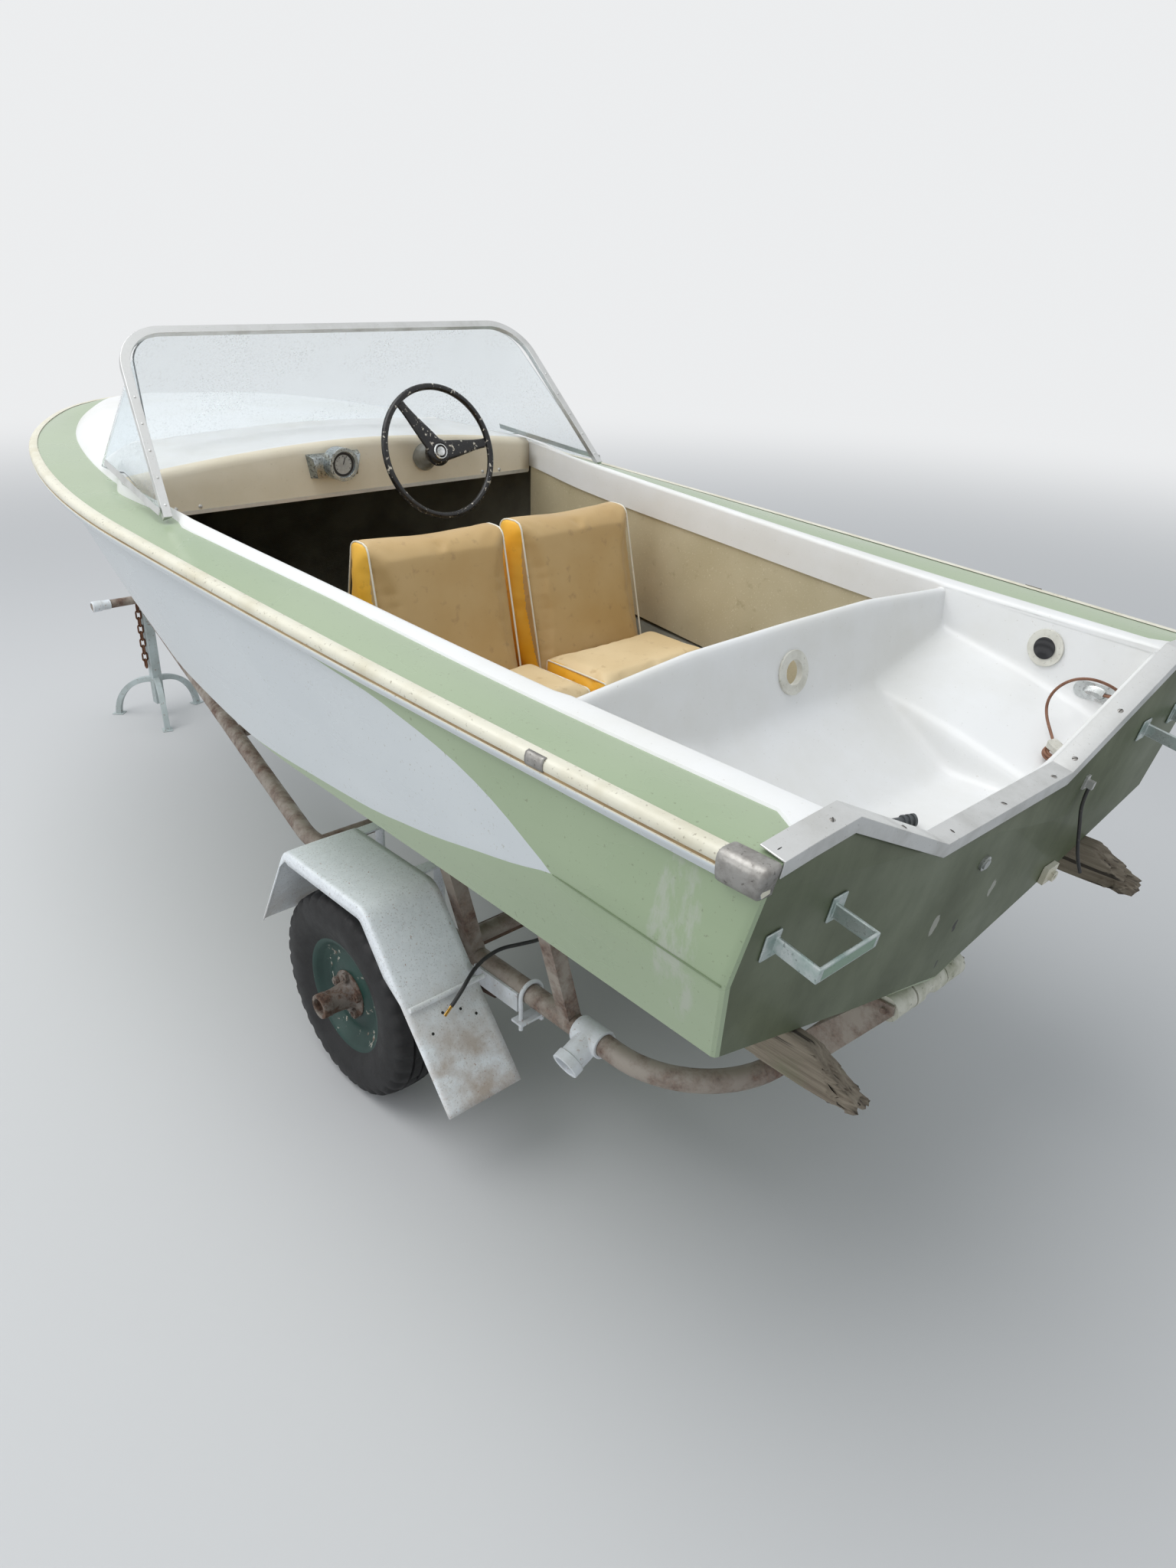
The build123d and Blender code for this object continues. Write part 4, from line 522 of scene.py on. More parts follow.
# %% Vinyl and the clear sheet
def grained_vinyl(name, clean, faded, crease, flecks=None, grain=520.0):
    """Vinyl with a fine leather grain, a faded crown and darker creases."""
    material, tree, shader = node_material(name)
    pebbles = cells_field(tree, grain)
    fading = steps_of(tree, noise_field(tree, 5, 4, 0.5), 0.38, 0.68)
    colour = tint(tree, clean, faded, fading, 0.8)
    colour = tint(tree, colour, crease, steps_of(tree, noise_field(tree, 34, 4, 0.6), 0.60, 0.74), 0.5)
    if flecks is not None:
        colour = tint(tree, colour, flecks, steps_of(tree, noise_field(tree, 210, 2), 0.63, 0.70), 0.7)
    finish_shader(tree, shader, colour, (0.42, 0.6), fading, Sheen_Weight=0.1)
    bump(tree, shader, (pebbles, 0.25, 0.0006), (noise_field(tree, 26, 3), 0.15, 0.002))
    return material


finishes["seat_vinyl"] = grained_vinyl("tan_vinyl", (187, 154, 100), (200, 171, 122), (150, 122, 82))
seat_yellow = grained_vinyl("ochre_vinyl", (238, 176, 40), (242, 196, 84), (186, 132, 36))
seat_piping = grained_vinyl("white_piping", (232, 228, 214), (214, 206, 184), (160, 146, 116), grain=900)
seat_pale = grained_vinyl("pale_tan_vinyl", (216, 190, 144), (234, 212, 170), (180, 148, 100))
finishes["panel_tan"] = grained_vinyl(
    "pebbled_panel_vinyl", (184, 173, 142), (200, 189, 160), (154, 140, 108), (212, 204, 178), 300)
finishes["wheel_rim"] = worn_finish(
    "chipped_black_rim", (16, 16, 18), (40, 39, 38), (206, 200, 186), rough=(0.22, 0.42), stain_size=30,
    spot_size=75, spot_amount=0.95, spot_edge=(0.63, 0.65), relief=0.3)


def crazed_pane(name):
    """Clear sheet with a fine net of crazing and a little haze."""
    material, tree, shader = node_material(name)
    net = steps_of(tree, cells_field(tree, 70, "DISTANCE_TO_EDGE"), 0.03, 0.0)
    haze = steps_of(tree, noise_field(tree, 5, 7, 0.66), 0.40, 0.70)
    beads = product(tree, steps_of(tree, noise_field(tree, 170, 2), 0.56, 0.66), haze)
    shader.inputs["Base Color"].default_value = (0.90, 0.94, 0.96, 1.0)
    tree.links.new(level(tree, 0.93, 0.62, beads), shader.inputs["Transmission Weight"])
    shader.inputs["IOR"].default_value = 1.1
    roughness = shade_node(tree, "Math", operation="MULTIPLY_ADD")
    tree.links.new(net, roughness.inputs[0])
    roughness.inputs[1].default_value = 0.12
    tree.links.new(level(tree, 0.01, 0.06, haze), roughness.inputs[2])
    tree.links.new(roughness.outputs[0], shader.inputs["Roughness"])
    bump(tree, shader, (noise_field(tree, 12, 2), 0.03, 0.001))
    return material


finishes["screen_pane"] = crazed_pane("crazed_clear_sheet")
print("finishes", sorted(finishes))

# %% Give every node of the frame its finish
node_slots = {part["node"]: part["material_slot"] for part in frame["record"]["subparts"]}
for name, piece in frame["nodes"].items():
    piece.data.materials.clear()
    piece.data.materials.append(finishes[node_slots[name]])
print("nodes finished", len(node_slots))

# %% [markdown]
# ## Floor that fades
# A floor that simply ends shows a hard horizon. From three metres out this one turns slowly into the
# backdrop, but only for rays that carry a picture, so its shadows and its bounced light stay real.

# %% Floor that fades into the backdrop
FADE_FROM, FADE_TO = 3.0, 13.0
far_away = shade_node(floor_tree, "VectorMath", operation="LENGTH")
floor_tree.links.new(place_of(floor_tree), far_away.inputs[0])
fade = shade_node(floor_tree, "MapRange", interpolation_type="SMOOTHERSTEP")
fade.inputs["From Min"].default_value, fade.inputs["From Max"].default_value = FADE_FROM, FADE_TO
floor_tree.links.new(far_away.outputs["Value"], fade.inputs["Value"])
far_glow = shade_node(floor_tree, "Emission")
far_glow.inputs["Color"].default_value = BACKDROP
mixed(floor_tree, product(floor_tree, fade.outputs["Result"], seen_rays(floor_tree)), floor_shader.outputs[0],
      far_glow.outputs[0], floor_tree.nodes["Material Output"])
print("floor nodes", len(floor_tree.nodes))

# %% [markdown]
# ## Cords
# The cords come first. Each is a NURBS curve whose control points are the route's corners, so the line
# is as smooth as a real cable.

# %% Mounting and cord helpers
def mount(piece, slot, *nodes, body=ROOT, finish=None):
    """Fix a piece to a body, give it its finish, and hide the plain solids that it stands for."""
    if len(piece.data.materials) == 0:
        piece.data.materials.append(finish or finishes[slot])
    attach(piece, body)
    if nodes:
        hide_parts(*nodes)


def cord_curve(name, route, radius, slot, *nodes):
    """Round cord on one smooth spline through a route of (station, half-breadth, height)."""
    data = bpy.data.curves.new(name, "CURVE")
    data.dimensions = "3D"
    data.bevel_depth = radius
    data.bevel_resolution = 5
    data.resolution_u = 10
    data.use_fill_caps = True
    spline = data.splines.new("NURBS")
    spline.points.add(len(route) - 1)
    for point, place in zip(spline.points, route):
        point.co = (*at(*place), 1.0)
    spline.order_u = 3
    spline.use_endpoint_u = True
    piece = bpy.data.objects.new(name, data)
    scene.collection.objects.link(piece)
    mount(piece, slot, *nodes)
    return piece


# %% Lighting cable and drain tube
CABLE_ROUTE = [(940, 202, 404), (893, 202, 404), (838, 222, 418), (792, 262, 428), (775, 312, 432),
               (790, 358, 432), (808, 402, 431), (806, 446, 427), (789, 485, 429), (773, 516, 425),
               (760, 548, 408), (755, 577, 389)]
lighting_cable = cord_curve("lighting_cable", CABLE_ROUTE, 0.0045, "cable_black", "trailer_cable")

TUBE_ROUTE = [(-78.4, -313, 930), (-71.4, -313, 894.7), (-79, -312, 848), (-83, -314, 808), (-87, -323, 772),
              (-90, -340, 742)]
hanging_tube = cord_curve("hanging_tube", TUBE_ROUTE, 0.0035, "cable_black", "drain_tube")

# %% [markdown]
# ## The lines of the hull
# A fibreglass boat is drawn with a few long fair lines: the keel, the chine where the bottom turns up,
# the knuckle on the side and the sheer at the top. Each line is known at fourteen stations. A smooth
# curve that never overshoots joins them, and every ring of the mesh is read from those curves.

# %% Fair curves
def fair(stations, values):
    """Smooth curve through points that never overshoots them."""
    steps = [b - a for a, b in zip(stations, stations[1:])]
    slopes = [(b - a) / h for a, b, h in zip(values, values[1:], steps)]
    tangents = [slopes[0]]
    for before, after, h0, h1 in zip(slopes, slopes[1:], steps, steps[1:]):
        if before * after <= 0:
            tangents.append(0.0)
        else:
            first, second = 2 * h1 + h0, h1 + 2 * h0
            tangents.append((first + second) / (first / before + second / after))
    tangents.append(slopes[-1])

    def curve(x):
        i = max(k for k in range(len(steps)) if k == 0 or stations[k] <= x)
        t = (x - stations[i]) / steps[i]
        rise = steps[i] * ((t**3 - 2 * t**2 + t) * tangents[i] + (t**3 - t**2) * tangents[i + 1])
        return (2 * t**3 - 3 * t**2 + 1) * values[i] + (3 * t**2 - 2 * t**3) * values[i + 1] + rise

    return curve


def mix(a, b, t):
    """Value between two others."""
    return a + (b - a) * t


print("fair curve at 1.5", round(fair([0, 1, 2], [0, 1, 4])(1.5), 3))

# %% Stations of the moulding
# Columns: station, keel height, chine half-breadth and height, knuckle half-breadth and height,
# coaming half-breadth and height, crown height of the deck
SECTIONS = [
    (-60, 594, 697, 810, 725, 956, 540, 1157, 1159),
    (450, 599, 700, 832, 735, 997, 562, 1180, 1190),
    (1100, 608, 700, 850, 738, 1030, 594, 1226, 1240),
    (1700, 620, 650, 876, 716, 1058, 625, 1274, 1296),
    (1960, 630, 606, 898, 690, 1077, 640, 1308, 1345),
    (2250, 649, 530, 930, 632, 1101, 490, 1345, 1366),
    (2500, 674, 448, 961, 561, 1125, 425, 1362, 1380),
    (2700, 706, 372, 991, 494, 1145, 372, 1368, 1382),
    (2880, 747, 288, 1024, 417, 1166, 318, 1368, 1379),
    (3030, 802, 208, 1056, 335, 1186, 260, 1364, 1371),
    (3160, 872, 133, 1090, 250, 1208, 200, 1356, 1361),
    (3270, 968, 74, 1130, 165, 1232, 140, 1347, 1350),
    (3350, 1085, 36, 1180, 95, 1258, 80, 1341, 1343),
    (3395, 1200, 16, 1240, 42, 1284, 36, 1339, 1340),
    (3416, 1285, 5, 1298, 12, 1312, 8, 1337, 1338),
]
AFT, UPRIGHT, LAST_RING = SECTIONS[0][0], SECTIONS[1][0], SECTIONS[-1][0]
TRANSOM_RAKE = 0.2
KEEL_Z = 594.0
section_stations = [row[0] for row in SECTIONS]
columns = [fair(section_stations, [row[i] for row in SECTIONS]) for i in range(1, 9)]
keel_z, chine_y, chine_z, knuckle_y, knuckle_z, coaming_y, coaming_z, crown_z = columns


def on_transom(z):
    """Station of the sloping transom at a height."""
    return -TRANSOM_RAKE * (z - KEEL_Z)


def station(p, z_aft):
    """Station of a line at ring p: rings lean with the transom at first, and stand upright from 450 on."""
    if p >= UPRIGHT:
        return p
    return mix(on_transom(z_aft), UPRIGHT, (p - AFT) / (UPRIGHT - AFT))


print("stations", len(SECTIONS))

# %% Sheer in plan
BEAM_S, BEAM_Y, BOW_S = 1726.0, 750.0, 3423.0
SHEER_AFT_S, SHEER_AFT_Y, SHEER_AFT_Z, SHEER_RISE = -110.0, 699.0, 1142.0, 0.0541
SHEER_CORNERS = [(2610.0, 628.0), (3175.0, 352.0), (BOW_S, 0.0)]


def arc_through(s0, y0, angle, s1, y1):
    """Centre and radius of the arc that leaves a point at an angle below the x axis and ends at another."""
    chord_angle = math.atan((y0 - y1) / (s1 - s0))
    turn = 2 * (chord_angle - angle)
    radius = math.hypot(s1 - s0, y1 - y0) / (2 * math.sin(turn / 2))
    return (s0 - radius * math.sin(angle), y0 - radius * math.cos(angle)), radius, angle + turn


aft_radius = ((BEAM_S - SHEER_AFT_S) ** 2 + (BEAM_Y - SHEER_AFT_Y) ** 2) / (2 * (BEAM_Y - SHEER_AFT_Y))
sheer_arcs = [((BEAM_S, BEAM_Y - aft_radius), aft_radius, BEAM_S)]
arc_start, arc_angle = (BEAM_S, BEAM_Y), 0.0
for corner in SHEER_CORNERS:
    arc_centre, arc_radius, arc_angle = arc_through(*arc_start, arc_angle, *corner)
    sheer_arcs.append((arc_centre, arc_radius, corner[0]))
    arc_start = corner


def sheer_y(s):
    """Half-breadth of the sheer on its four tangent arcs."""
    for (centre_s, centre_y), radius, end in sheer_arcs:
        if s <= end:
            return centre_y + math.sqrt(max(radius**2 - (s - centre_s) ** 2, 0.0))
    return 0.0


def sheer_z(s):
    """Height of the sheer, which is a sloping plane."""
    return SHEER_AFT_Z + SHEER_RISE * (s - SHEER_AFT_S)


def sheer_s(p):
    """Station of the sheer at a ring."""
    return station(p, SHEER_AFT_Z)


print("sheer", [round(sheer_y(s)) for s in (-110, 900, 1726, 2610, 3300, 3423)])

# %% [markdown]
# ## The flash on the topsides
# The side of this boat carries a long pale flash that starts as a spear near the stern and widens until
# it fills the whole side at the bow. On the real moulding it is a flat scoop between two creases, with
# the green hull standing a little proud above and below. The rings therefore have points on both
# creases, so that the edge between the two colours is a real edge of the mesh and not a painted one.

# %% Creases of the flash
SPEAR_S, UPPER_END, LOWER_END, FULL_SCOOP = 271, 1250, 1290, 1790
RAIL_SHARE = 0.21
upper_crease = fair([SPEAR_S, 316, 394, 468, 554, 635, 738, 839, 937, 1117, UPPER_END],
                    [986, 1007, 1045, 1074, 1097, 1113, 1131, 1141, 1151, 1163, 1174])
lower_crease = fair([SPEAR_S, 356, 471, 589, 685, 798, 899, 1035, 1150, LOWER_END],
                    [986, 960, 934, 908, 893, 877, 871, 866, 862, 857])


def share_of(value, start, end):
    """How far a value has come from a start to an end: 0 before the start, 1 past the end."""
    return min(max((value - start) / (end - start), 0.0), 1.0)


def side_point(p, z):
    """Half-breadth of the plain topside at a height."""
    low_y, low_z, bend_y, bend_z = chine_y(p), chine_z(p), knuckle_y(p), knuckle_z(p)
    top_y, top_z = sheer_y(sheer_s(p)), sheer_z(sheer_s(p))
    if z <= bend_z:
        return mix(low_y, bend_y, (z - low_z) / (bend_z - low_z))
    return mix(bend_y, top_y, (z - bend_z) / (top_z - bend_z))


def crease_heights(p):
    """Heights of the lower and upper crease of the flash at a ring."""
    rail_foot = mix(sheer_z(sheer_s(p)), knuckle_z(p), RAIL_SHARE)
    if p <= SPEAR_S:
        return knuckle_z(p), knuckle_z(p)
    low = lower_crease(p) if p < LOWER_END else chine_z(p)
    high = upper_crease(p) if p < UPPER_END else rail_foot
    return max(low, chine_z(p)), min(high, rail_foot)


def hull_ring(p, columns_per_part=(9, 3, 9, 5)):
    """Port half of one ring, from the keel to the sheer, with the part that each point starts."""
    low_z, high_z = crease_heights(p)
    low_y, high_y = side_point(p, low_z), side_point(p, high_z)
    top_y, top_z = sheer_y(sheer_s(p)), sheer_z(sheer_s(p))
    scoop = side_point(p, (low_z + high_z) / 2) - (low_y + high_y) / 2
    fill = share_of(p, LOWER_END, FULL_SCOOP)
    corners = [(0.0, keel_z(p)), (chine_y(p), chine_z(p)), (low_y, low_z), (high_y, high_z), (top_y, top_z)]
    ring = []
    for part, count in enumerate(columns_per_part):
        (y0, z0), (y1, z1) = corners[part], corners[part + 1]
        for k in range(count):
            t = k / count
            bulge = scoop * fill * 4 * t * (1 - t) if part == 2 else 0.0
            y, z = mix(y0, y1, t) + bulge, mix(z0, z1, t)
            ring.append((p, y, z, part))
    ring.append((p, top_y, top_z, 3))
    return ring


hull_rings = [AFT, -45, -20, 20, 70, 120, 170, 215, 245, SPEAR_S, 295, 330, 370, 410, UPRIGHT, 500]
hull_rings += list(range(550, 2300, 50)) + list(range(2300, 3000, 35)) + list(range(3000, 3300, 20))
hull_rings += [3300, 3318, 3335, 3350, 3363, 3375, 3386, 3395, 3403, 3410, LAST_RING]
print("rings", len(hull_rings), "points a ring", len(hull_ring(900)))

# %% Hull skin
CORNER_ROUND = 9.0
STEM_FOOT, STEM_RAKE = (3419, 1285), 0.06
MOTOR_CUTOUT = [(531, 1158), (210, 992)]
hull_vertices, hull_faces, hull_parts = [], [], []


def add_ring(ring, half, aft=0.0, shrink=0.0):
    """Add a port or starboard half ring, moved aft of its place and shrunk for a rounded corner."""
    start = len(hull_vertices)
    for p, y, z, _ in ring:
        bottom = max(0.0, 1 - y / 300)
        hull_vertices.append(at(station(p, z) + aft, half * max(y - shrink, 0.0), z + shrink * bottom))
    return start


aft_ring, aft_edges = hull_ring(AFT), []
for half in (1, -1):
    starts = [add_ring(aft_ring, half, 0.0, CORNER_ROUND), add_ring(aft_ring, half, 2.6, 2.6)]
    parts = [[point[3] for point in aft_ring]] * 2
    for index, p in enumerate(hull_rings):
        ring = hull_ring(p)
        starts.append(add_ring(ring, half, CORNER_ROUND if index == 0 else 0.0))
        parts.append([point[3] for point in ring])
    starts.append(len(hull_vertices))
    parts.append(parts[-1])
    hull_vertices += [at(STEM_FOOT[0] + (z - STEM_FOOT[1]) * STEM_RAKE, 0.0, z)
                      for _, _, z, _ in hull_ring(LAST_RING)]
    for a, b, row in zip(starts, starts[1:], parts):
        for k in range(len(row) - 1):
            quad = (a + k, b + k, b + k + 1, a + k + 1)
            hull_faces.append(quad if half > 0 else quad[::-1])
            hull_parts.append(1 if row[k] == 2 else 0)
    aft_edges.append([starts[0] + k for k in range(len(aft_ring))])
cutout_at = len(hull_vertices)
hull_vertices += [at(on_transom(z), y, z) for y, z in MOTOR_CUTOUT]
hull_vertices += [at(on_transom(z), -y, z) for y, z in reversed(MOTOR_CUTOUT)]
hull_faces.append(tuple(aft_edges[0] + list(range(cutout_at, cutout_at + 4)) + aft_edges[1][:0:-1]))
hull_parts.append(0)
hull_skin = mesh_object("hull_skin", hull_vertices, hull_faces)
print("hull", len(hull_vertices), "points")


# %% Finish a moulding
SKIN = 0.005


def tidy_mesh(piece, merge=0.0002):
    """Merge doubled points, drop empty faces and turn all faces outwards."""
    cleaned = bmesh.new()
    cleaned.from_mesh(piece.data)
    bmesh.ops.remove_doubles(cleaned, verts=cleaned.verts, dist=merge)
    bmesh.ops.dissolve_degenerate(cleaned, edges=cleaned.edges, dist=merge / 4)
    bmesh.ops.recalc_face_normals(cleaned, faces=cleaned.faces)
    cleaned.to_mesh(piece.data)
    cleaned.free()


def smooth_piece(piece, angle=32.0):
    """Shade smooth, but keep the edges that turn by more than an angle."""
    piece.data.shade_smooth()
    piece.data.set_sharp_from_angle(angle=math.radians(angle))


def add_thickness(piece, thick, offset=-1.0):
    """Turn a surface into a sheet."""
    shell = piece.modifiers.new("thickness", "SOLIDIFY")
    shell.thickness = thick
    shell.offset = offset


def swap_mesh(piece):
    """Make the result of all modifiers the piece's own mesh."""
    bpy.context.view_layer.update()
    done = bpy.data.meshes.new_from_object(piece.evaluated_get(bpy.context.evaluated_depsgraph_get()))
    piece.modifiers.clear()
    piece.data = done


def colour_parts(piece, parts):
    """Give each face the number of its part's finish."""
    for polygon, part in zip(piece.data.polygons, parts):
        polygon.material_index = part


colour_parts(hull_skin, hull_parts)
tidy_mesh(hull_skin)
smooth_piece(hull_skin, 20)
add_thickness(hull_skin, SKIN)
print("hull faces", len(hull_skin.data.polygons))

# %% Colours of the hull skin
def laminate(name):
    """Dull grey-green inside of the moulding, with the weave of the glass just showing."""
    material, tree, shader = node_material(name)
    weave = cells_field(tree, 260, randomness=0.35)
    patches = steps_of(tree, noise_field(tree, 6, 5), 0.4, 0.66)
    tree.links.new(tint(tree, (112, 110, 98), (80, 78, 68), patches, 0.8), shader.inputs["Base Color"])
    shader.inputs["Roughness"].default_value = 0.8
    bump(tree, shader, (weave, 0.4, 0.001), (patches, 0.3, 0.002))
    return material


def transom_gelcoat(name):
    """Transom gel coat: a darker olive as painted shade of the aft face, dirt clouds, vertical streaks, two
    filler patches and painted shade in two holes.
    """
    material, tree, shader = node_material(name)
    streaks = steps_of(tree, noise_field(tree, 9, 7, 0.65, (1, 1.7, 0.5)), 0.42, 0.68)
    clouds = steps_of(tree, noise_field(tree, 3.4, 5), 0.38, 0.66)
    # The olive base, darker than the topsides' green, is painted shade of the aft face; the darker clouds on
    # it are dirt.
    colour = tint(tree, (93, 102, 76), (70, 77, 56), clouds, 0.8)
    colour = tint(tree, colour, (120, 128, 102), streaks, 0.25)
    colour = tint(tree, colour, (72, 74, 60), steps_of(tree, noise_field(tree, 150, 3), 0.64, 0.72), 0.5)
    for y, z, size in ((119, 784, 0.016), (-77, 784, 0.013)):
        place = at(on_transom(z), y, z)
        colour = tint(tree, colour, (158, 158, 148), near_spot(tree, place, size, (0.4, 1.4, 0.6)), 0.9)
    # Two small holes are drawn as near-black spots: painted shade inside them.
    for y, z, size in ((22, 739, 0.009), (27, 649, 0.007)):
        place = at(on_transom(z), y, z)
        colour = tint(tree, colour, (30, 28, 26), near_spot(tree, place, size, (0.4, 1.5, 0.6)), 1.0)
    finish_shader(tree, shader, colour, (0.42, 0.62), clouds, Coat_Weight=0.05)
    bump(tree, shader, (noise_field(tree, 6, 2), 0.05, 0.003), (noise_field(tree, 300, 2), 0.08, 0.0004))
    return material


outer_finishes = [finishes["gelcoat_green"], flash_white, transom_gelcoat("transom_gelcoat")]
for finish in outer_finishes + [laminate("glass_laminate")] * 3:
    hull_skin.data.materials.append(finish)
# Faces that look aft take the transom finish, whose darker olive paints the shade of the aft face.
for polygon in hull_skin.data.polygons:
    if polygon.normal.x < -0.93:
        polygon.material_index = 2
hull_skin.modifiers["thickness"].material_offset = 3
hull_skin.modifiers["thickness"].material_offset_rim = 0
mount(hull_skin, "gelcoat_green", "hull_shell")
print("hull finishes", [m.name for m in hull_skin.data.materials])

# %% [markdown]
# ## Deck moulding
# The deck is one moulding: a green band along the sheer with a small step at its inner edge, then white
# side decks that roll over into the cockpit, and a cambered foredeck with a shallow tray behind the dash.
# One strip runs the whole length outside the coaming line, and the lip, foredeck and dash join it there.

# %% Deck measures
DASH_S, DASH_LOW, DASH_HALF = 1960.0, 1200.0, 636
CREASE_IN, CREASE_UP = 116.0, 16.0
EDGE_ROUND = 10.0
WELL_END = 421.0
DASH_ROUND = 24
FOREDECK_AFT = DASH_S + DASH_ROUND


def deck_row(p):
    """Coaming, crease and sheer of the deck at a ring: three pairs of half-breadth and height."""
    top_y, top_z = sheer_y(sheer_s(p)), sheer_z(sheer_s(p))
    in_y, in_z = coaming_y(p), coaming_z(p)
    in_y -= 7.0 * share_of(p, UPRIGHT, WELL_END)
    band = CREASE_IN * (1 - 0.4 * share_of(p, 20, -50))
    white = 36.0 - 26.0 * share_of(p, 1610, 1690)
    step_y = max(top_y - band, in_y + min(white, (top_y - in_y) / 2))
    step_z = top_z + min(CREASE_UP, 0.6 * (in_z - top_z))
    return (in_y, in_z), (step_y, step_z), (top_y, top_z)


def outer_strip(p):
    """Points from the rounded coaming edge out to the sheer; the step comes after the fourth."""
    (in_y, in_z), (step_y, step_z), (top_y, top_z) = deck_row(p)
    wide = step_y - in_y
    edge = min(EDGE_ROUND, 0.3 * wide)
    points = []
    for t in (edge / wide, 0.4, 0.7, 1 - 2.5 / max(wide, 8)):
        points.append((in_y + wide * t, mix(in_z, step_z, t) + 3.0 * math.sin(math.pi * t)))
    points.append((step_y, step_z - 3.2))
    for t in (0.06, 0.3, 0.55, 0.8, 0.96, 1.0):
        points.append((mix(step_y, top_y, t), mix(step_z - 3.2, top_z, t) + 4.0 * math.sin(math.pi * t)))
    return points


def lip_strip(p):
    """Points from the coaming edge round and down into the cockpit."""
    edge_y, edge_z = outer_strip(p)[0]
    (in_y, in_z), _, _ = deck_row(p)
    deep = 90.0 if p > WELL_END else 16.0
    points = [(edge_y, edge_z)]
    for turn in (25, 50, 72, 90):
        a = math.radians(turn)
        points.append((edge_y - (edge_y - in_y) * math.sin(a), edge_z - EDGE_ROUND * (1 - math.cos(a))))
    return points + [(in_y, in_z - deep / 2), (in_y, in_z - deep), (in_y + 7, in_z - deep - 1)]


def tray_depth(s, y):
    """Depth of the shallow tray on the foredeck at a place."""
    edge = 500 - (s - 2006) * 0.6
    return 9.0 * share_of(s, 2006, 2022) * share_of(s, 2150, 2134) * share_of(abs(y), edge, edge - 22)


def foredeck_z(p, y):
    """Height of the foredeck: a smooth camber from the centre line to the coaming line."""
    edge_y, edge_z = outer_strip(p)[0]
    u = min(abs(y) / max(edge_y, 1.0), 1.0)
    return mix(crown_z(p), edge_z, u**1.7) - tray_depth(p, y)


print("deck row at 900", [tuple(round(v) for v in pair) for pair in deck_row(900)])

# %% Deck mesh
deck_rings = [AFT, -20, 20, 70, 120, 170, 220, 270, 320, 370, 410, WELL_END, 424, UPRIGHT]
deck_rings += list(range(490, 1960, 49)) + [DASH_S, FOREDECK_AFT]
fore_rings = [FOREDECK_AFT, 1994, 2004, 2010, 2016, 2024, 2050, 2080, 2110, 2134, 2142, 2150, 2156, 2180]
fore_rings += list(range(2220, 3000, 40)) + list(range(3000, 3300, 25))
fore_rings += [3300, 3325, 3350, 3372, 3395, 3408, LAST_RING]
deck_vertices, deck_faces, deck_parts = [], [], []


def deck_strip(rings, maker, half, parts):
    """Join the points that a maker gives at each ring with quads, each with its part's number."""
    rows = []
    for p in rings:
        start = len(deck_vertices)
        deck_vertices.extend(at(station(p, z), half * y, z) for y, z in maker(p))
        rows.append(range(start, len(deck_vertices)))
    for a, b in zip(rows, rows[1:]):
        for k in range(len(a) - 1):
            quad = (a[k], b[k], b[k + 1], a[k + 1])
            deck_faces.append(quad if half < 0 else quad[::-1])
            deck_parts.append(parts[k])


def foredeck_row(p):
    """Points of the foredeck from the centre line to the coaming line."""
    edge_y = outer_strip(p)[0][0]
    return [(edge_y * k / FORE_COLUMNS, foredeck_z(p, edge_y * k / FORE_COLUMNS))
            for k in range(FORE_COLUMNS + 1)]


CREAM, GREEN, WARM = 0, 1, 2
FORE_COLUMNS = 16
for half in (1, -1):
    deck_strip(deck_rings + fore_rings[1:], outer_strip, half, [CREAM] * 4 + [GREEN] * 6)
    deck_strip([p for p in deck_rings if p <= DASH_S], lip_strip, half, [CREAM] * 7)
    deck_strip(fore_rings, foredeck_row, half, [CREAM] * FORE_COLUMNS)
print("deck points", len(deck_vertices))


# %% Dash face
def dash_profile(y):
    """Dash section at a half-breadth: a return at the foot, the face, and a rounded top."""
    top = foredeck_z(FOREDECK_AFT, y)
    points = [(DASH_S + 16, DASH_LOW), (DASH_S + 3, DASH_LOW), (DASH_S, DASH_LOW + 3),
              (DASH_S, DASH_LOW + 40), (DASH_S, (DASH_LOW + top) / 2), (DASH_S, top - DASH_ROUND)]
    for turn in (22, 45, 67, 90):
        a = math.radians(turn)
        points.append((FOREDECK_AFT - DASH_ROUND * math.cos(a), top - DASH_ROUND * (1 - math.sin(a))))
    return points


dash_rows = []
edge_half = outer_strip(FOREDECK_AFT)[0][0]
for k in range(-FORE_COLUMNS, FORE_COLUMNS + 1):
    start = len(deck_vertices)
    y = edge_half * k / FORE_COLUMNS
    deck_vertices.extend(at(s, y, z) for s, z in dash_profile(y))
    dash_rows.append(range(start, len(deck_vertices)))
for a, b in zip(dash_rows, dash_rows[1:]):
    for k in range(len(a) - 1):
        deck_faces.append((a[k], a[k + 1], b[k + 1], b[k]))
        deck_parts.append(WARM)
deck_skin = mesh_object("deck_skin", deck_vertices, deck_faces)
colour_parts(deck_skin, deck_parts)
tidy_mesh(deck_skin, 0.0004)
if deck_skin.data.polygons[0].normal.z < 0:
    deck_skin.data.flip_normals()
smooth_piece(deck_skin, 40)
warm_cream = worn_finish(
    "warm_cream_gelcoat", (224, 214, 192), (208, 196, 168), (150, 136, 108), rough=(0.34, 0.5), stain_size=4,
    spot_size=150, spot_amount=0.3, spot_edge=(0.67, 0.73), relief=0.06, coat=0.12)
for finish in (finishes["gelcoat_cream"], finishes["gelcoat_green"], warm_cream):
    deck_skin.data.materials.append(finish)
add_thickness(deck_skin, SKIN)
mount(deck_skin, "gelcoat_cream", "deck_moulding")
print("deck faces", len(deck_skin.data.polygons))

# %% [markdown]
# ## Rub rail
# The rail that hides the joint of hull and deck is a rounded cream extrusion with a tan insert line and a
# thin white strip below it. It follows the sheer in plan, so its section is carried along the normal of
# that curve and keeps its width round the bow.

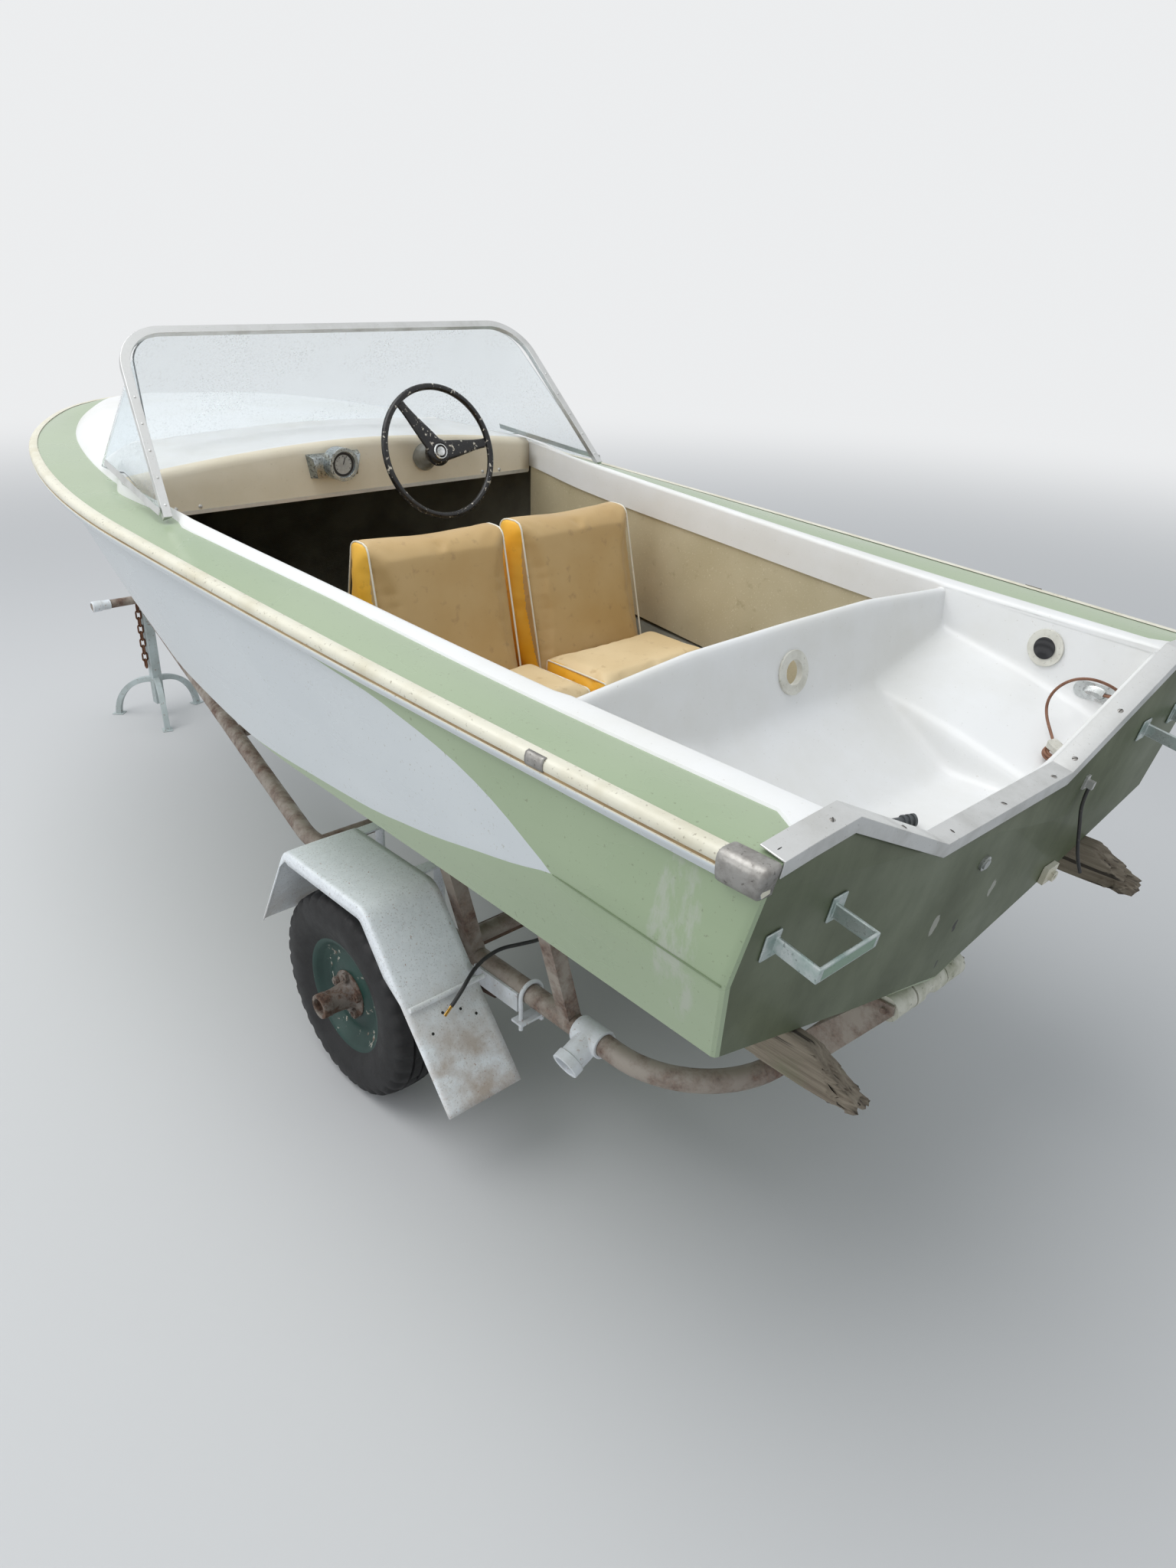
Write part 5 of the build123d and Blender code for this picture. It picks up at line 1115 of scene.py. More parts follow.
# %% Rail path
def ring_of(s):
    """Ring whose sheer lies at a station."""
    aft = sheer_s(AFT)
    return s if s >= UPRIGHT else AFT + (s - aft) / (UPRIGHT - aft) * (UPRIGHT - AFT)


rail_path = [(s, sheer_y(s)) for s in
             [-104, -90, -60] + list(range(-20, 2600, 45)) + list(range(2600, 3180, 24))]
(bow_centre_s, bow_centre_y), bow_radius, _ = sheer_arcs[-1]
start_angle, end_angle = [math.atan2(y - bow_centre_y, s - bow_centre_s) for s, y in SHEER_CORNERS[-2:]]
for k in range(1, 25):
    a = mix(start_angle, end_angle, k / 24)
    y = max(bow_centre_y + bow_radius * math.sin(a), 0.0)
    rail_path.append((bow_centre_s + bow_radius * math.cos(a), y))
rail_path += [(s, -y) for s, y in reversed(rail_path[:-1])]
print("rail path", len(rail_path))

# %% Rail mesh
RAIL_DEEP = 20.0
RAIL_PROFILE = [(-5, 2.0), (2, 3.0), (9, 2.9), (14, 1.6), (17.6, -1.2), (19.4, -5), (20, -10), (19.6, -15),
                (17.6, -17.4), (17.6, -21.0), (19.0, -22.4), (19.4, -25), (18.4, -28.4)]
RAIL_PARTS = [0] * 7 + [1, 1, 0, 2, 2, 2, 0]
rail_vertices = []


def quads(rows, columns, ring_rows=False, ring_columns=False, turned_over=False):
    """Faces between rows of points; a ring also joins its last row or column to the first."""
    faces = []
    for i in range(rows if ring_rows else rows - 1):
        for k in range(columns if ring_columns else columns - 1):
            ahead, beside = (i + 1) % rows * columns, (k + 1) % columns
            face = (i * columns + k, i * columns + beside, ahead + beside, ahead + k)
            faces.append((face[0], *face[:0:-1]) if turned_over else face)
    return faces


for index, (s, y) in enumerate(rail_path):
    before = Vector(rail_path[max(index - 1, 0)])
    after = Vector(rail_path[min(index + 1, len(rail_path) - 1)])
    along = (after - before).normalized()
    out = Vector((-along.y, along.x))
    top = sheer_z(s)
    low = mix(top, knuckle_z(min(ring_of(s), LAST_RING)), RAIL_SHARE)
    for across, up in RAIL_PROFILE + [(13.5, low - top), (-4, low - top + 1)]:
        rail_vertices.append(at(s + out.x * across, y + out.y * across, top + up))
count = len(RAIL_PARTS) + 1
rail_faces = quads(len(rail_path), count)
rail_faces += [tuple(reversed(range(count))), tuple(range(len(rail_vertices) - count, len(rail_vertices)))]
rail_strip = mesh_object("rail_strip", rail_vertices, rail_faces)
colour_parts(rail_strip, RAIL_PARTS * (len(rail_path) - 1) + [0, 0])
tidy_mesh(rail_strip, 0.00005)
smooth_piece(rail_strip, 38)
rail_insert = worn_finish(
    "tan_rail_insert", (172, 146, 104), (128, 104, 72), (84, 68, 48), rough=(0.5, 0.7), stain_size=8,
    spot_size=160, relief=0.2)
for finish in (finishes["rail_white"], rail_insert, flash_white):
    rail_strip.data.materials.append(finish)
mount(rail_strip, "rail_white", "rub_rail")
print("rail faces", len(rail_strip.data.polygons))


# %% Rail end caps
CAP_SECTION = [(-12, 4.5), (2, 5.0), (10, 4.8), (17, 3.0), (21.6, -1.6), (23.6, -8), (23.9, -18), (23.6, -30),
               (21.4, -39), (16, -43.5), (6, -45), (-12, -45)]
CAP_RINGS = [(-112.4, 0.55), (-112.0, 0.80), (-110.0, 0.93), (-106.0, 1.0), (-80, 1.0), (-56, 1.0),
             (-42, 0.99), (-38, 0.94)]
cast_aluminium = worn_finish(
    "cast_aluminium", (158, 156, 152), (92, 86, 80), (60, 54, 48), rough=(0.38, 0.62), metal=0.75,
    stain_size=34, spot_size=120, relief=0.5)


def end_cap(side, name):
    """Cast cup over the aft end of the rail, closed with a rounded aft face."""
    vertices = []
    for s, size in CAP_RINGS:
        y, top = sheer_y(s), sheer_z(max(s, SHEER_AFT_S))
        lean = min(s + 80, 0.0) / 30
        for across, up in CAP_SECTION:
            vertices.append(at(s + TRANSOM_RAKE * (up + 2) * lean, side * (y + 4 + (across - 4) * size),
                               top - 20 + (up + 20) * size))
    faces = quads(len(CAP_RINGS), len(CAP_SECTION), ring_columns=True)
    cap = mesh_object(f"rail_cap_{name}", vertices, faces + [tuple(range(len(CAP_SECTION)))])
    tidy_mesh(cap, 0.0001)
    smooth_piece(cap, 50)
    mount(cap, "aluminium_trim", "rail_end_caps", finish=cast_aluminium)
    return cap


print("caps", [end_cap(side, name).name for side, name in SIDES])

# %% [markdown]
# ## Motor well
# The well is a white tray with soft corners everywhere, because resin can't be laid into a sharp one.
# A fine grid is laid over the flat planes of the well first. Then each inner point is moved towards its
# neighbours a few times, which leaves the flats alone and turns every edge into a rounded corner.

# %% Planes of the well
# Rows: station, heights of the tray and the shelf, half-breadth and height of the wall's foot
WELL_ROWS = [(-52, 880, 912, 524.5, 974), (185, 880, 968, 531.8, 1035.2), (385, 1017, 1018, 538, 1083)]
BULKHEAD_S, BULKHEAD_FOOT, BULKHEAD_LEAN = 385, 1017, 0.176
TRAY_Y, SHELF_Y = 262.0, 275.0
TRANSOM_IN = 49.3
LIP_TOP = fair([0, 260, 470, 557], [1193, 1191, 1180, 1168])


def wall_top(s):
    """Half-breadth and height of the side wall's upper edge."""
    return 538 + 24 * (s + 170) / 620 - 6.3, 1157 + 23 * (s + 112.6) / 562.6 - 8


def well_corners(s, tray, shelf, foot_y, foot_z):
    """Corners of the well at a station, from the wall's top to the middle of the tray."""
    top_y, top_z = wall_top(s)
    return [(top_y, top_z), (foot_y, foot_z), (SHELF_Y, shelf), (TRAY_Y, tray), (0.0, tray)]


def aft_wall_top(y):
    """Height of the transom's edge above the well."""
    (high_y, high_z), (low_y, low_z) = MOTOR_CUTOUT
    return min(mix(low_z, high_z, share_of(y, low_y, high_y)) - 3, 1153.0)


def inside_transom(z):
    """Station of the transom's inner face at a height."""
    return on_transom(z) + TRANSOM_IN


def on_bulkhead(z):
    """Station of the bulkhead at a height."""
    return BULKHEAD_S + (z - BULKHEAD_FOOT) * BULKHEAD_LEAN


aft_line, middle_line, foot_line = [well_corners(*row) for row in WELL_ROWS]
well_lines = [[(inside_transom(aft_wall_top(y)), y, max(z, aft_wall_top(y))) for y, z in aft_line],
              [(inside_transom(z), y, z) for y, z in aft_line],
              [(WELL_ROWS[1][0], y, z) for y, z in middle_line],
              [(on_bulkhead(z), y, z) for y, z in foot_line],
              [(on_bulkhead(LIP_TOP(y) - 6), y, LIP_TOP(y) - 6) for y, _ in foot_line]]
print("well lines", len(well_lines))

# %% Grid over the planes
COLUMN_STEPS, ROW_STEPS = (14, 20, 6, 18), (12, 18, 16, 14)


def spread(line, steps):
    """Points along a line of corners with a number of steps for each part."""
    points = []
    for (a, b), count in zip(zip(line, line[1:]), steps):
        points += [tuple(mix(u, v, k / count) for u, v in zip(a, b)) for k in range(count)]
    return points + [tuple(line[-1])]


across = [spread(line, COLUMN_STEPS) for line in well_lines]
across[0] = [(inside_transom(aft_wall_top(y)), y, aft_wall_top(y)) if y < aft_line[1][0] - 0.5 else (s, y, z)
             for s, y, z in across[0]]
columns_down = [spread(list(column), ROW_STEPS) for column in zip(*across)]
grid_rows = [list(row) for row in zip(*columns_down)]
bulkhead_edge = [column[-1] for column in columns_down]
for ahead, up in ((5, 5), (12, 7), (20, 5), (24, -1), (25, -10), (25, -24)):
    grid_rows.append([(s + ahead, y, z + up) for s, y, z in bulkhead_edge])
grid_rows = [row + [(s, -y, z) for s, y, z in reversed(row[:-1])] for row in grid_rows]
wide = len(grid_rows[0])
well_vertices = [at(*point) for row in grid_rows for point in row]
well_skin = mesh_object("well_skin", well_vertices, quads(len(grid_rows), wide))
print("well grid", len(grid_rows), "x", wide)

# %% Round its corners and cut the grommet holes
relaxed = bmesh.new()
relaxed.from_mesh(well_skin.data)
border = {v for edge in relaxed.edges if len(edge.link_faces) == 1 for v in edge.verts}
inner = [v for v in relaxed.verts if v not in border]
for _ in range(7):
    bmesh.ops.smooth_vert(relaxed, verts=inner, factor=0.5, use_axis_x=True, use_axis_y=True, use_axis_z=True)
bmesh.ops.remove_doubles(relaxed, verts=relaxed.verts, dist=0.0001)
bmesh.ops.recalc_face_normals(relaxed, faces=relaxed.faces)
relaxed.to_mesh(well_skin.data)
relaxed.free()
if sum(polygon.normal.z * polygon.area for polygon in well_skin.data.polygons) < 0:
    well_skin.data.flip_normals()
smooth_piece(well_skin, 60)


def drill(piece, centre, axis, radius, deep=0.12):
    """Cut a round hole through a piece."""
    cutter_mesh = bpy.data.meshes.new("drill")
    shape = bmesh.new()
    bmesh.ops.create_cone(shape, cap_ends=True, segments=48, radius1=radius, radius2=radius, depth=deep)
    shape.to_mesh(cutter_mesh)
    shape.free()
    cutter = bpy.data.objects.new("drill", cutter_mesh)
    cutter.matrix_world = Matrix.Translation(centre) @ axis.to_track_quat("Z", "Y").to_matrix().to_4x4()
    scene.collection.objects.link(cutter)
    cut = piece.modifiers.new("hole", "BOOLEAN")
    cut.operation = "DIFFERENCE"
    cut.object = cutter
    swap_mesh(piece)
    bpy.data.objects.remove(cutter)


add_thickness(well_skin, SKIN)
drill(well_skin, at(399.3, 0, 1098), Vector((-1, 0, BULKHEAD_LEAN)), 0.0262)
drill(well_skin, at(155, -541, 1100), Vector((0, 1, -0.1)), 0.0235)
smooth_piece(well_skin, 60)
well_skin.data.materials.clear()
mount(well_skin, "gelcoat_cream", "motor_well")
print("well faces", len(well_skin.data.polygons))

# %% [markdown]
# ## Seats
# The seats are foam under vinyl, so their faces swell between the seams. A plain wedge can't show that.
# Each form starts as a slightly smaller wedge, is remeshed into small even squares, and is then blown up
# for twenty frames by a cloth simulation with air pressure. No point may move further than a set limit,
# so the cushion keeps its place. The seams and the white piping are laid on the finished surface.

# %% Wedge forms before stuffing
SEAT_MID_S, SEAT_TOP, SEAT_FOOT_Z = 1412.0, 1212.0, 790.0
SEAT_HALF = 206.0
BACK_TURN = {"port": -4.5, "starboard": 0.0}
SEAT_MIDDLE_Y = {"port": 133.0, "starboard": -309.0}
BACK_GROWN = 1.028
CUSHION_NEAR, CUSHION_FAR, CUSHION_TOP = -148.4, -387.4, 880.0


def rounded_outline(corners, steps=5):
    """Closed outline through corners, each with its own rounding radius."""
    outline = []
    count = len(corners)
    for i, (x, z, radius) in enumerate(corners):
        here = Vector((x, z))
        before = (Vector(corners[i - 1][:2]) - here).normalized()
        after = (Vector(corners[(i + 1) % count][:2]) - here).normalized()
        if radius == 0:
            outline.append(here)
            continue
        half_angle = before.angle(after) / 2
        reach = radius / math.tan(half_angle)
        start, end = here + before * reach, here + after * reach
        for k in range(steps + 1):
            t = k / steps
            outline.append(start * (1 - t) ** 2 + here * 2 * t * (1 - t) + end * t * t)
    return outline


def wedge(name, outline, half, top_pull=0.0):
    """Solid of an outline in station and height, carried across the seat, with eased side edges."""
    vertices = []
    rows = [-half, -half + 7, 0, half - 7, half]
    middle = sum(outline, Vector((0, 0))) / len(outline)
    for y in rows:
        ease = 0.985 if abs(y) == half else 1.0
        for point in outline:
            eased = middle + (point - middle) * ease
            share = max(0.0, (eased.y - SEAT_FOOT_Z) / (SEAT_TOP - SEAT_FOOT_Z))
            vertices.append(at(eased.x, y * (1 - top_pull * share**6), eased.y))
    n = len(outline)
    faces = quads(len(rows), n, ring_columns=True)
    faces += [tuple(reversed(range(n))), tuple(range((len(rows) - 1) * n, len(rows) * n))]
    piece = mesh_object(name, vertices, faces)
    tidy_mesh(piece, 0.0001)
    return piece


BACK_CORNERS = [(SEAT_MID_S - 138, SEAT_FOOT_Z + 1, 4), (SEAT_MID_S - 42, SEAT_TOP - 12, 34),
                (SEAT_MID_S + 42, SEAT_TOP - 12, 34), (SEAT_MID_S + 138, SEAT_FOOT_Z + 1, 4)]
back_outline = rounded_outline(BACK_CORNERS)
cushion_outline = rounded_outline([(CUSHION_NEAR, SEAT_FOOT_Z + 1, 4), (CUSHION_NEAR, CUSHION_TOP - 8, 10),
                                   (CUSHION_FAR, CUSHION_TOP - 10, 24), (CUSHION_FAR, SEAT_FOOT_Z + 1, 6)])
print("outlines", len(back_outline), len(cushion_outline))


# %% Stuff a form with the cloth simulation
def stuff(piece, voxel=0.006, pressure=4.0, limit=0.013):
    """Remesh a form and blow it up; a point moves no further than the limit."""
    remesh = piece.modifiers.new("even_squares", "REMESH")
    remesh.mode = "VOXEL"
    remesh.voxel_size = voxel
    swap_mesh(piece)
    before = [v.co.copy() for v in piece.data.vertices]
    cloth = piece.modifiers.new("stuffing", "CLOTH")
    cloth.settings.quality = 4
    cloth.settings.mass = 0.3
    cloth.settings.tension_stiffness = 20
    cloth.settings.compression_stiffness = 20
    cloth.settings.shear_stiffness = 4
    cloth.settings.bending_stiffness = 5.0
    cloth.settings.use_pressure = True
    cloth.settings.uniform_pressure_force = pressure
    cloth.settings.effector_weights.gravity = 0
    cloth.point_cache.frame_start, cloth.point_cache.frame_end = 1, 20
    for frame_number in range(1, 21):
        scene.frame_set(frame_number)
    swap_mesh(piece)
    for vertex, start in zip(piece.data.vertices, before):
        moved = vertex.co - start
        low = min(max((start.z - 0.800) / 0.05, 0.15), 1.0)
        if moved.length > limit * low:
            vertex.co = start + moved.normalized() * limit * low
    scene.frame_set(1)
    smoothing = piece.modifiers.new("even_out", "SMOOTH")
    smoothing.factor, smoothing.iterations = 0.5, 12
    finer = piece.modifiers.new("finer", "SUBSURF")
    finer.levels = finer.render_levels = 1
    swap_mesh(piece)
    piece.data.shade_smooth()
    return piece


back_form = stuff(wedge("seat_back_form", back_outline, SEAT_HALF - 9, 0.03))
cushion_form = stuff(wedge("cushion_form", cushion_outline, SEAT_HALF - 7), limit=0.011)
print("stuffed", len(back_form.data.vertices), len(cushion_form.data.vertices))


# %% Put the stuffed forms in their places
def placed_copy(form, name, shift_s, y, mirror=False):
    """Copy of a stuffed form at a half-breadth, turned end for end where asked."""
    mesh = form.data.copy()
    for vertex in mesh.vertices:
        s = (vertex.co.x - HEEL_X) * 1000
        vertex.co.x = HEEL_X + (shift_s + (-s if mirror else s)) / 1000
        vertex.co.y += y / 1000
    if mirror:
        mesh.flip_normals()
    mesh.materials.clear()
    piece = bpy.data.objects.new(name, mesh)
    scene.collection.objects.link(piece)
    return piece


def piping(name, points, radius=0.0024):
    """White welt laid along points on a seam."""
    data = bpy.data.curves.new(name, "CURVE")
    data.dimensions = "3D"
    data.bevel_depth = radius
    data.bevel_resolution = 3
    spline = data.splines.new("POLY")
    spline.points.add(len(points) - 1)
    for point, place in zip(spline.points, points):
        point.co = (*place, 1.0)
    line = bpy.data.objects.new(f"{name}_line", data)
    scene.collection.objects.link(line)
    tube = bpy.data.meshes.new_from_object(line.evaluated_get(bpy.context.evaluated_depsgraph_get()))
    bpy.data.objects.remove(line)
    tube.shade_smooth()
    welt = bpy.data.objects.new(name, tube)
    scene.collection.objects.link(welt)
    mount(welt, "seat_vinyl", finish=seat_piping)
    return welt


def on_surface(piece, place, lift=0.0006):
    """Nearest point of a piece's surface, lifted a little."""
    _, found, normal, _ = piece.closest_point_on_mesh(place)
    return found + normal * lift


def dress_seat(piece, node, face, centre_y, outline, middle, shift_s, mirror, seam_half, top_pull,
               lean=Matrix()):
    """Colour a stuffed piece by where its faces look, pipe its two side seams, and lean it if asked."""
    def half_at(z):
        return seam_half * (1 - top_pull * max(0, (z - SEAT_FOOT_Z) / (SEAT_TOP - SEAT_FOOT_Z)) ** 6)

    piece.data.materials.append(face)
    piece.data.materials.append(seat_yellow)
    for polygon in piece.data.polygons:
        past = abs(polygon.center.y * 1000 - centre_y) - half_at(polygon.center.z * 1000)
        polygon.material_index = 1 if past > -2 or (past > -10 and abs(polygon.normal.y) > 0.6) else 0
    bpy.context.view_layer.update()
    for side, name in SIDES:
        seam = []
        for point in outline:
            outward = (point - middle) * 1.02 + middle
            s = shift_s + (-outward.x if mirror else outward.x)
            seam.append(on_surface(piece, at(s, centre_y + side * half_at(point.y), outward.y)))
        piping(f"{piece.name}_piping_{name}", seam).data.transform(lean)
    piece.data.transform(lean)
    mount(piece, "seat_vinyl", node)


BACK_MIDDLE, CUSHION_MIDDLE = Vector((SEAT_MID_S, 980.0)), Vector((-270.0, 836.0))
for side, centre in SEAT_MIDDLE_Y.items():
    foot = at(SEAT_MID_S, centre, SEAT_FOOT_Z)
    turn = Matrix.Rotation(math.radians(BACK_TURN[side]), 4, "Z")
    grow = Matrix.Diagonal((1, 1, BACK_GROWN, 1))
    lean = Matrix.Translation(foot) @ turn @ grow @ Matrix.Translation(-foot)
    back = placed_copy(back_form, f"stuffed_back_{side}", 0.0, centre)
    dress_seat(back, f"seat_back_{side}", finishes["seat_vinyl"], centre, rounded_outline(BACK_CORNERS, 12),
               BACK_MIDDLE, 0.0, False, SEAT_HALF - 8, 0.03, lean)
    for mirror, facing in ((False, "aft"), (True, "forward")):
        cushion = placed_copy(cushion_form, f"stuffed_cushion_{facing}_{side}", SEAT_MID_S, centre, mirror)
        dress_seat(cushion, f"seat_cushion_{facing}_{side}", seat_pale, centre, cushion_outline,
                   CUSHION_MIDDLE, SEAT_MID_S, mirror, SEAT_HALF - 6, 0.0)
for form in (back_form, cushion_form):
    bpy.data.objects.remove(form)

# %% [markdown]
# ## Eased fittings
# Cast, bent and welded fittings never have the knife edges of a plain solid. Their light catches on a
# small radius. A copy of each fitting's mesh gets its flat triangles joined, its doubled points merged and
# a narrow bevel on every sharp edge, and the copy is then shown instead of the plain one.

# %% Bevelled copies
def eased(node, slot, width):
    """Copy of a plain fitting with small rounded edges, shown in its place."""
    source = frame["nodes"][node]
    mesh = source.data.copy()
    shape = bmesh.new()
    shape.from_mesh(mesh)
    bmesh.ops.remove_doubles(shape, verts=shape.verts, dist=0.00002)
    bmesh.ops.dissolve_limit(shape, angle_limit=math.radians(1.0), verts=shape.verts, edges=shape.edges)
    shape.to_mesh(mesh)
    shape.free()
    piece = bpy.data.objects.new(f"eased_{node}", mesh)
    scene.collection.objects.link(piece)
    mesh.materials.clear()
    bevel = piece.modifiers.new("rounded_edges", "BEVEL")
    bevel.width, bevel.segments = width, 2
    bevel.limit_method, bevel.angle_limit = "ANGLE", math.radians(28)
    bevel.harden_normals = False
    smooth_piece(piece, 34)
    mount(piece, slot, node)
    return piece


EASED = {"transom_handle_port": ("chrome_trim", 0.0022), "transom_handle_starboard": ("chrome_trim", 0.0022),
         "gauge_housing": ("chrome_trim", 0.0030), "transom_fitting": ("aluminium_trim", 0.0020),
         "rail_tee_clamps": ("clamp_zinc", 0.0030), "nose_bar_sockets": ("clamp_zinc", 0.0015),
         "front_stand": ("stand_paint", 0.0020), "roller_bracket": ("chassis_paint", 0.0015),
         "rail_clamps": ("clamp_zinc", 0.0010), "windscreen_frame": ("aluminium_trim", 0.0022),
         "well_grommet": ("grommet_white", 0.0020), "side_grommet": ("grommet_white", 0.0020),
         "well_elbow": ("grommet_grey", 0.0012), "flex_plug": ("plug_cream", 0.0020),
         "guard_stays": ("guard_paint", 0.0012), "transom_capping": ("aluminium_trim", 0.0008)}
eased_pieces = {node: eased(node, slot, width) for node, (slot, width) in EASED.items()}
patina = worn_finish(
    "patinated_chrome", (190, 198, 196), (112, 146, 136), (66, 84, 76), rough=(0.25, 0.6), metal=0.55,
    stain_size=34, spot_size=150, spot_amount=0.5, relief=0.25)
for node, finish in (("transom_handle_port", patina), ("transom_handle_starboard", patina),
                     ("transom_fitting", finishes["rail_white"])):
    eased_pieces[node].data.materials[0] = finish
print("eased", len(eased_pieces))


# %% Small turned pieces
def turned(name, profile, centre, axis, steps=32):
    """Surface of revolution from (radius, height) pairs in metres, standing on a centre along an axis."""
    turn = axis.normalized().to_track_quat("Z", "Y").to_matrix()
    vertices = []
    for k in range(steps):
        a = 2 * math.pi * k / steps
        for radius, high in profile:
            vertices.append(centre + turn @ Vector((radius * math.cos(a), radius * math.sin(a), high)))
    piece = mesh_object(name, vertices, quads(steps, len(profile), ring_rows=True, turned_over=True))
    tidy_mesh(piece, 0.00002)
    smooth_piece(piece, 35)
    return piece


def metres(section):
    """Points of a section, given in millimetres."""
    return [(r / 1000, h / 1000) for r, h in section]


# Near-black finish for painted shade in screw slots, in the guard's holes and round the dial's edge, and for
# the dial's needle and marks.
painted_shade_and_print = worn_finish("painted_shade_and_print", (34, 32, 30), (52, 48, 44), (70, 62, 54), rough=(0.7, 0.9),
                       stain_size=60, spot_size=200, relief=0.2)
print("section", metres([(30, -30)]))


# %% Slotted screws
SCREW_HEAD = [(0, 0.42), (0.5, 0.38), (0.85, 0.25), (0.96, 0.1), (1, 0.2), (1.3, 0.16)]
SCREW_SLOT = [(-0.86, -0.1, 0.36), (0.86, -0.1, 0.36), (0.86, 0.1, 0.36), (-0.86, 0.1, 0.36),
              (-0.5, -0.1, 0.50), (0.5, -0.1, 0.50), (0.5, 0.1, 0.50), (-0.5, 0.1, 0.50)]


def slotted_screw(name, place, axis, radius, turn_by, finish=None):
    """Domed screw head with a slot across it, painted near-black for the shade inside the slot."""
    profile = [(r * radius, h * radius) for r, h in SCREW_HEAD] + [(1.5 * radius, -0.0004)]
    mount(turned(name, profile, place, axis, 24), "aluminium_trim", finish=finish)
    basis = axis.normalized().to_track_quat("Z", "Y").to_matrix() @ Matrix.Rotation(turn_by, 3, "Z")
    # The slot is a near-black box: painted shade in the slot.
    cut = mesh_object(f"{name}_slot", [place + basis @ (Vector(c) * radius) for c in SCREW_SLOT],
                      [(3, 2, 1, 0), (4, 5, 6, 7), (0, 1, 5, 4), (1, 2, 6, 5), (2, 3, 7, 6), (3, 0, 4, 7)])
    mount(cut, "aluminium_trim", finish=painted_shade_and_print)


transom_out = Vector((-1, 0, -TRANSOM_RAKE)).normalized()
plate_up = Vector((-TRANSOM_RAKE, 0, 1)).normalized()
capping_screws = [(-93, 670, 1152.0), (-98, 569.7, 1161.0), (-65, 172, 995.2), (-68, 12.6, 995.2),
                  (-71, -159.6, 995.2), (-70.6, -235.7, 1008.8), (-83.8, -360.9, 1074.4),
                  (-98, -569.7, 1161.0), (-93, -670, 1152.0), (-83.8, 360.9, 1074.4)]
for number, (s, y, z) in enumerate(capping_screws):
    tilt = Vector((0, 0, 0))
    if 215 < abs(y) < 530:
        tilt = Vector((0, -0.52 if y > 0 else 0.52, 0))
    slotted_screw(f"capping_screw_{number}", at(s, y, z + 0.4), plate_up + tilt, 0.0062, number * 0.7,
                  cast_aluminium)
for number, y in enumerate((-455, -520, 455, 520)):
    place = at(DASH_S - 0.2, y, DASH_LOW + 16)
    slotted_screw(f"dash_screw_{number}", place, Vector((-1, 0, 0)), 0.004, number)
print("screws", len(capping_screws))

# %% Grips of the handles, and the aft lip of the well
grip_green = worn_finish("weathered_grip", (128, 152, 134), (150, 168, 150), (84, 92, 72),
                         rough=(0.5, 0.7), stain_size=40, spot_size=160, relief=0.3)
grip_points = [(y * half_y, up * half_up, out) for half_y, half_up, out in ((59, 9.5, -0.2), (58, 8.5, 0.5))
               for y, up in ((-1, -1), (1, -1), (1, 1), (-1, 1))]
for side, name in SIDES:
    middle = at(on_transom(1000), side * 580, 1000) + transom_out * 0.0781
    grip = mesh_object(f"grip_inlay_{name}",
                       [middle + (Vector((0, y, 0)) + plate_up * up + transom_out * out) / 1000
                        for y, up, out in grip_points],
                       [(4, 7, 6, 5), (0, 4, 5, 1), (1, 5, 6, 2), (2, 6, 7, 3), (3, 7, 4, 0)])
    mount(grip, "chrome_trim", finish=grip_green)
lip_rows = []
for y in range(-520, 521, 20):
    z = aft_wall_top(abs(y)) + 2.4
    s = inside_transom(z)
    bend = math.exp(-(((abs(y) - 205) / 50) ** 2))
    lip_rows.append([at(s + ahead, y, z + up) for ahead, up in
                     ((-12, 0.4), (-1 + 2 * bend, 0.2), (1.8 + 3 * bend, -2.4), (2.4 + 4 * bend, -16))])
well_lip = mesh_object("well_aft_lip", [p for row in lip_rows for p in row], quads(len(lip_rows), 4))
add_thickness(well_lip, 0.0015)
smooth_piece(well_lip, 60)
mount(well_lip, "gelcoat_cream")
print("lip rows", len(lip_rows))

# %% Mesh behind the side grommet
grommet_low, grommet_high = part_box("side_grommet")
grommet_face = Vector(((grommet_low[0] + grommet_high[0]) / 2, grommet_high[1] - 0.0012,
                       (grommet_low[2] + grommet_high[2]) / 2))
vent_mesh = turned("grommet_mesh", [(0.0, 0.0022), (0.012, 0.0021), (0.0225, 0.0014), (0.0232, 0.0)],
                   grommet_face, Vector((0, 1, 0.09)), 40)


def woven_gauze(name):
    """Dark grey gauze: a fine square net whose holes are painted darker for the shade seen through them."""
    material, tree, shader = node_material(name)
    net = cells_field(tree, 620, randomness=0.0)
    holes = steps_of(tree, net, 0.34, 0.46)
    tree.links.new(tint(tree, (60, 60, 62), (38, 38, 40), holes), shader.inputs["Base Color"])
    tree.links.new(level(tree, 0.5, 0.9, holes), shader.inputs["Roughness"])
    bump(tree, shader, (holes, 0.5, -0.0006))
    return material


mount(vent_mesh, "grommet_grey", finish=woven_gauze("grommet_gauze"))
print("grommet", [round(v, 4) for v in grommet_face])

# %% Face of the gauge
eased_pieces["gauge_housing"].data.materials[0] = worn_finish(
    "pitted_gauge", (176, 182, 182), (118, 124, 122), (66, 64, 60), rough=(0.18, 0.42), metal=0.75,
    stain_size=34, spot_size=150, spot_amount=0.8, spot_edge=(0.55, 0.62))
DIAL = at(DASH_S - 56.4, 64, 1293)
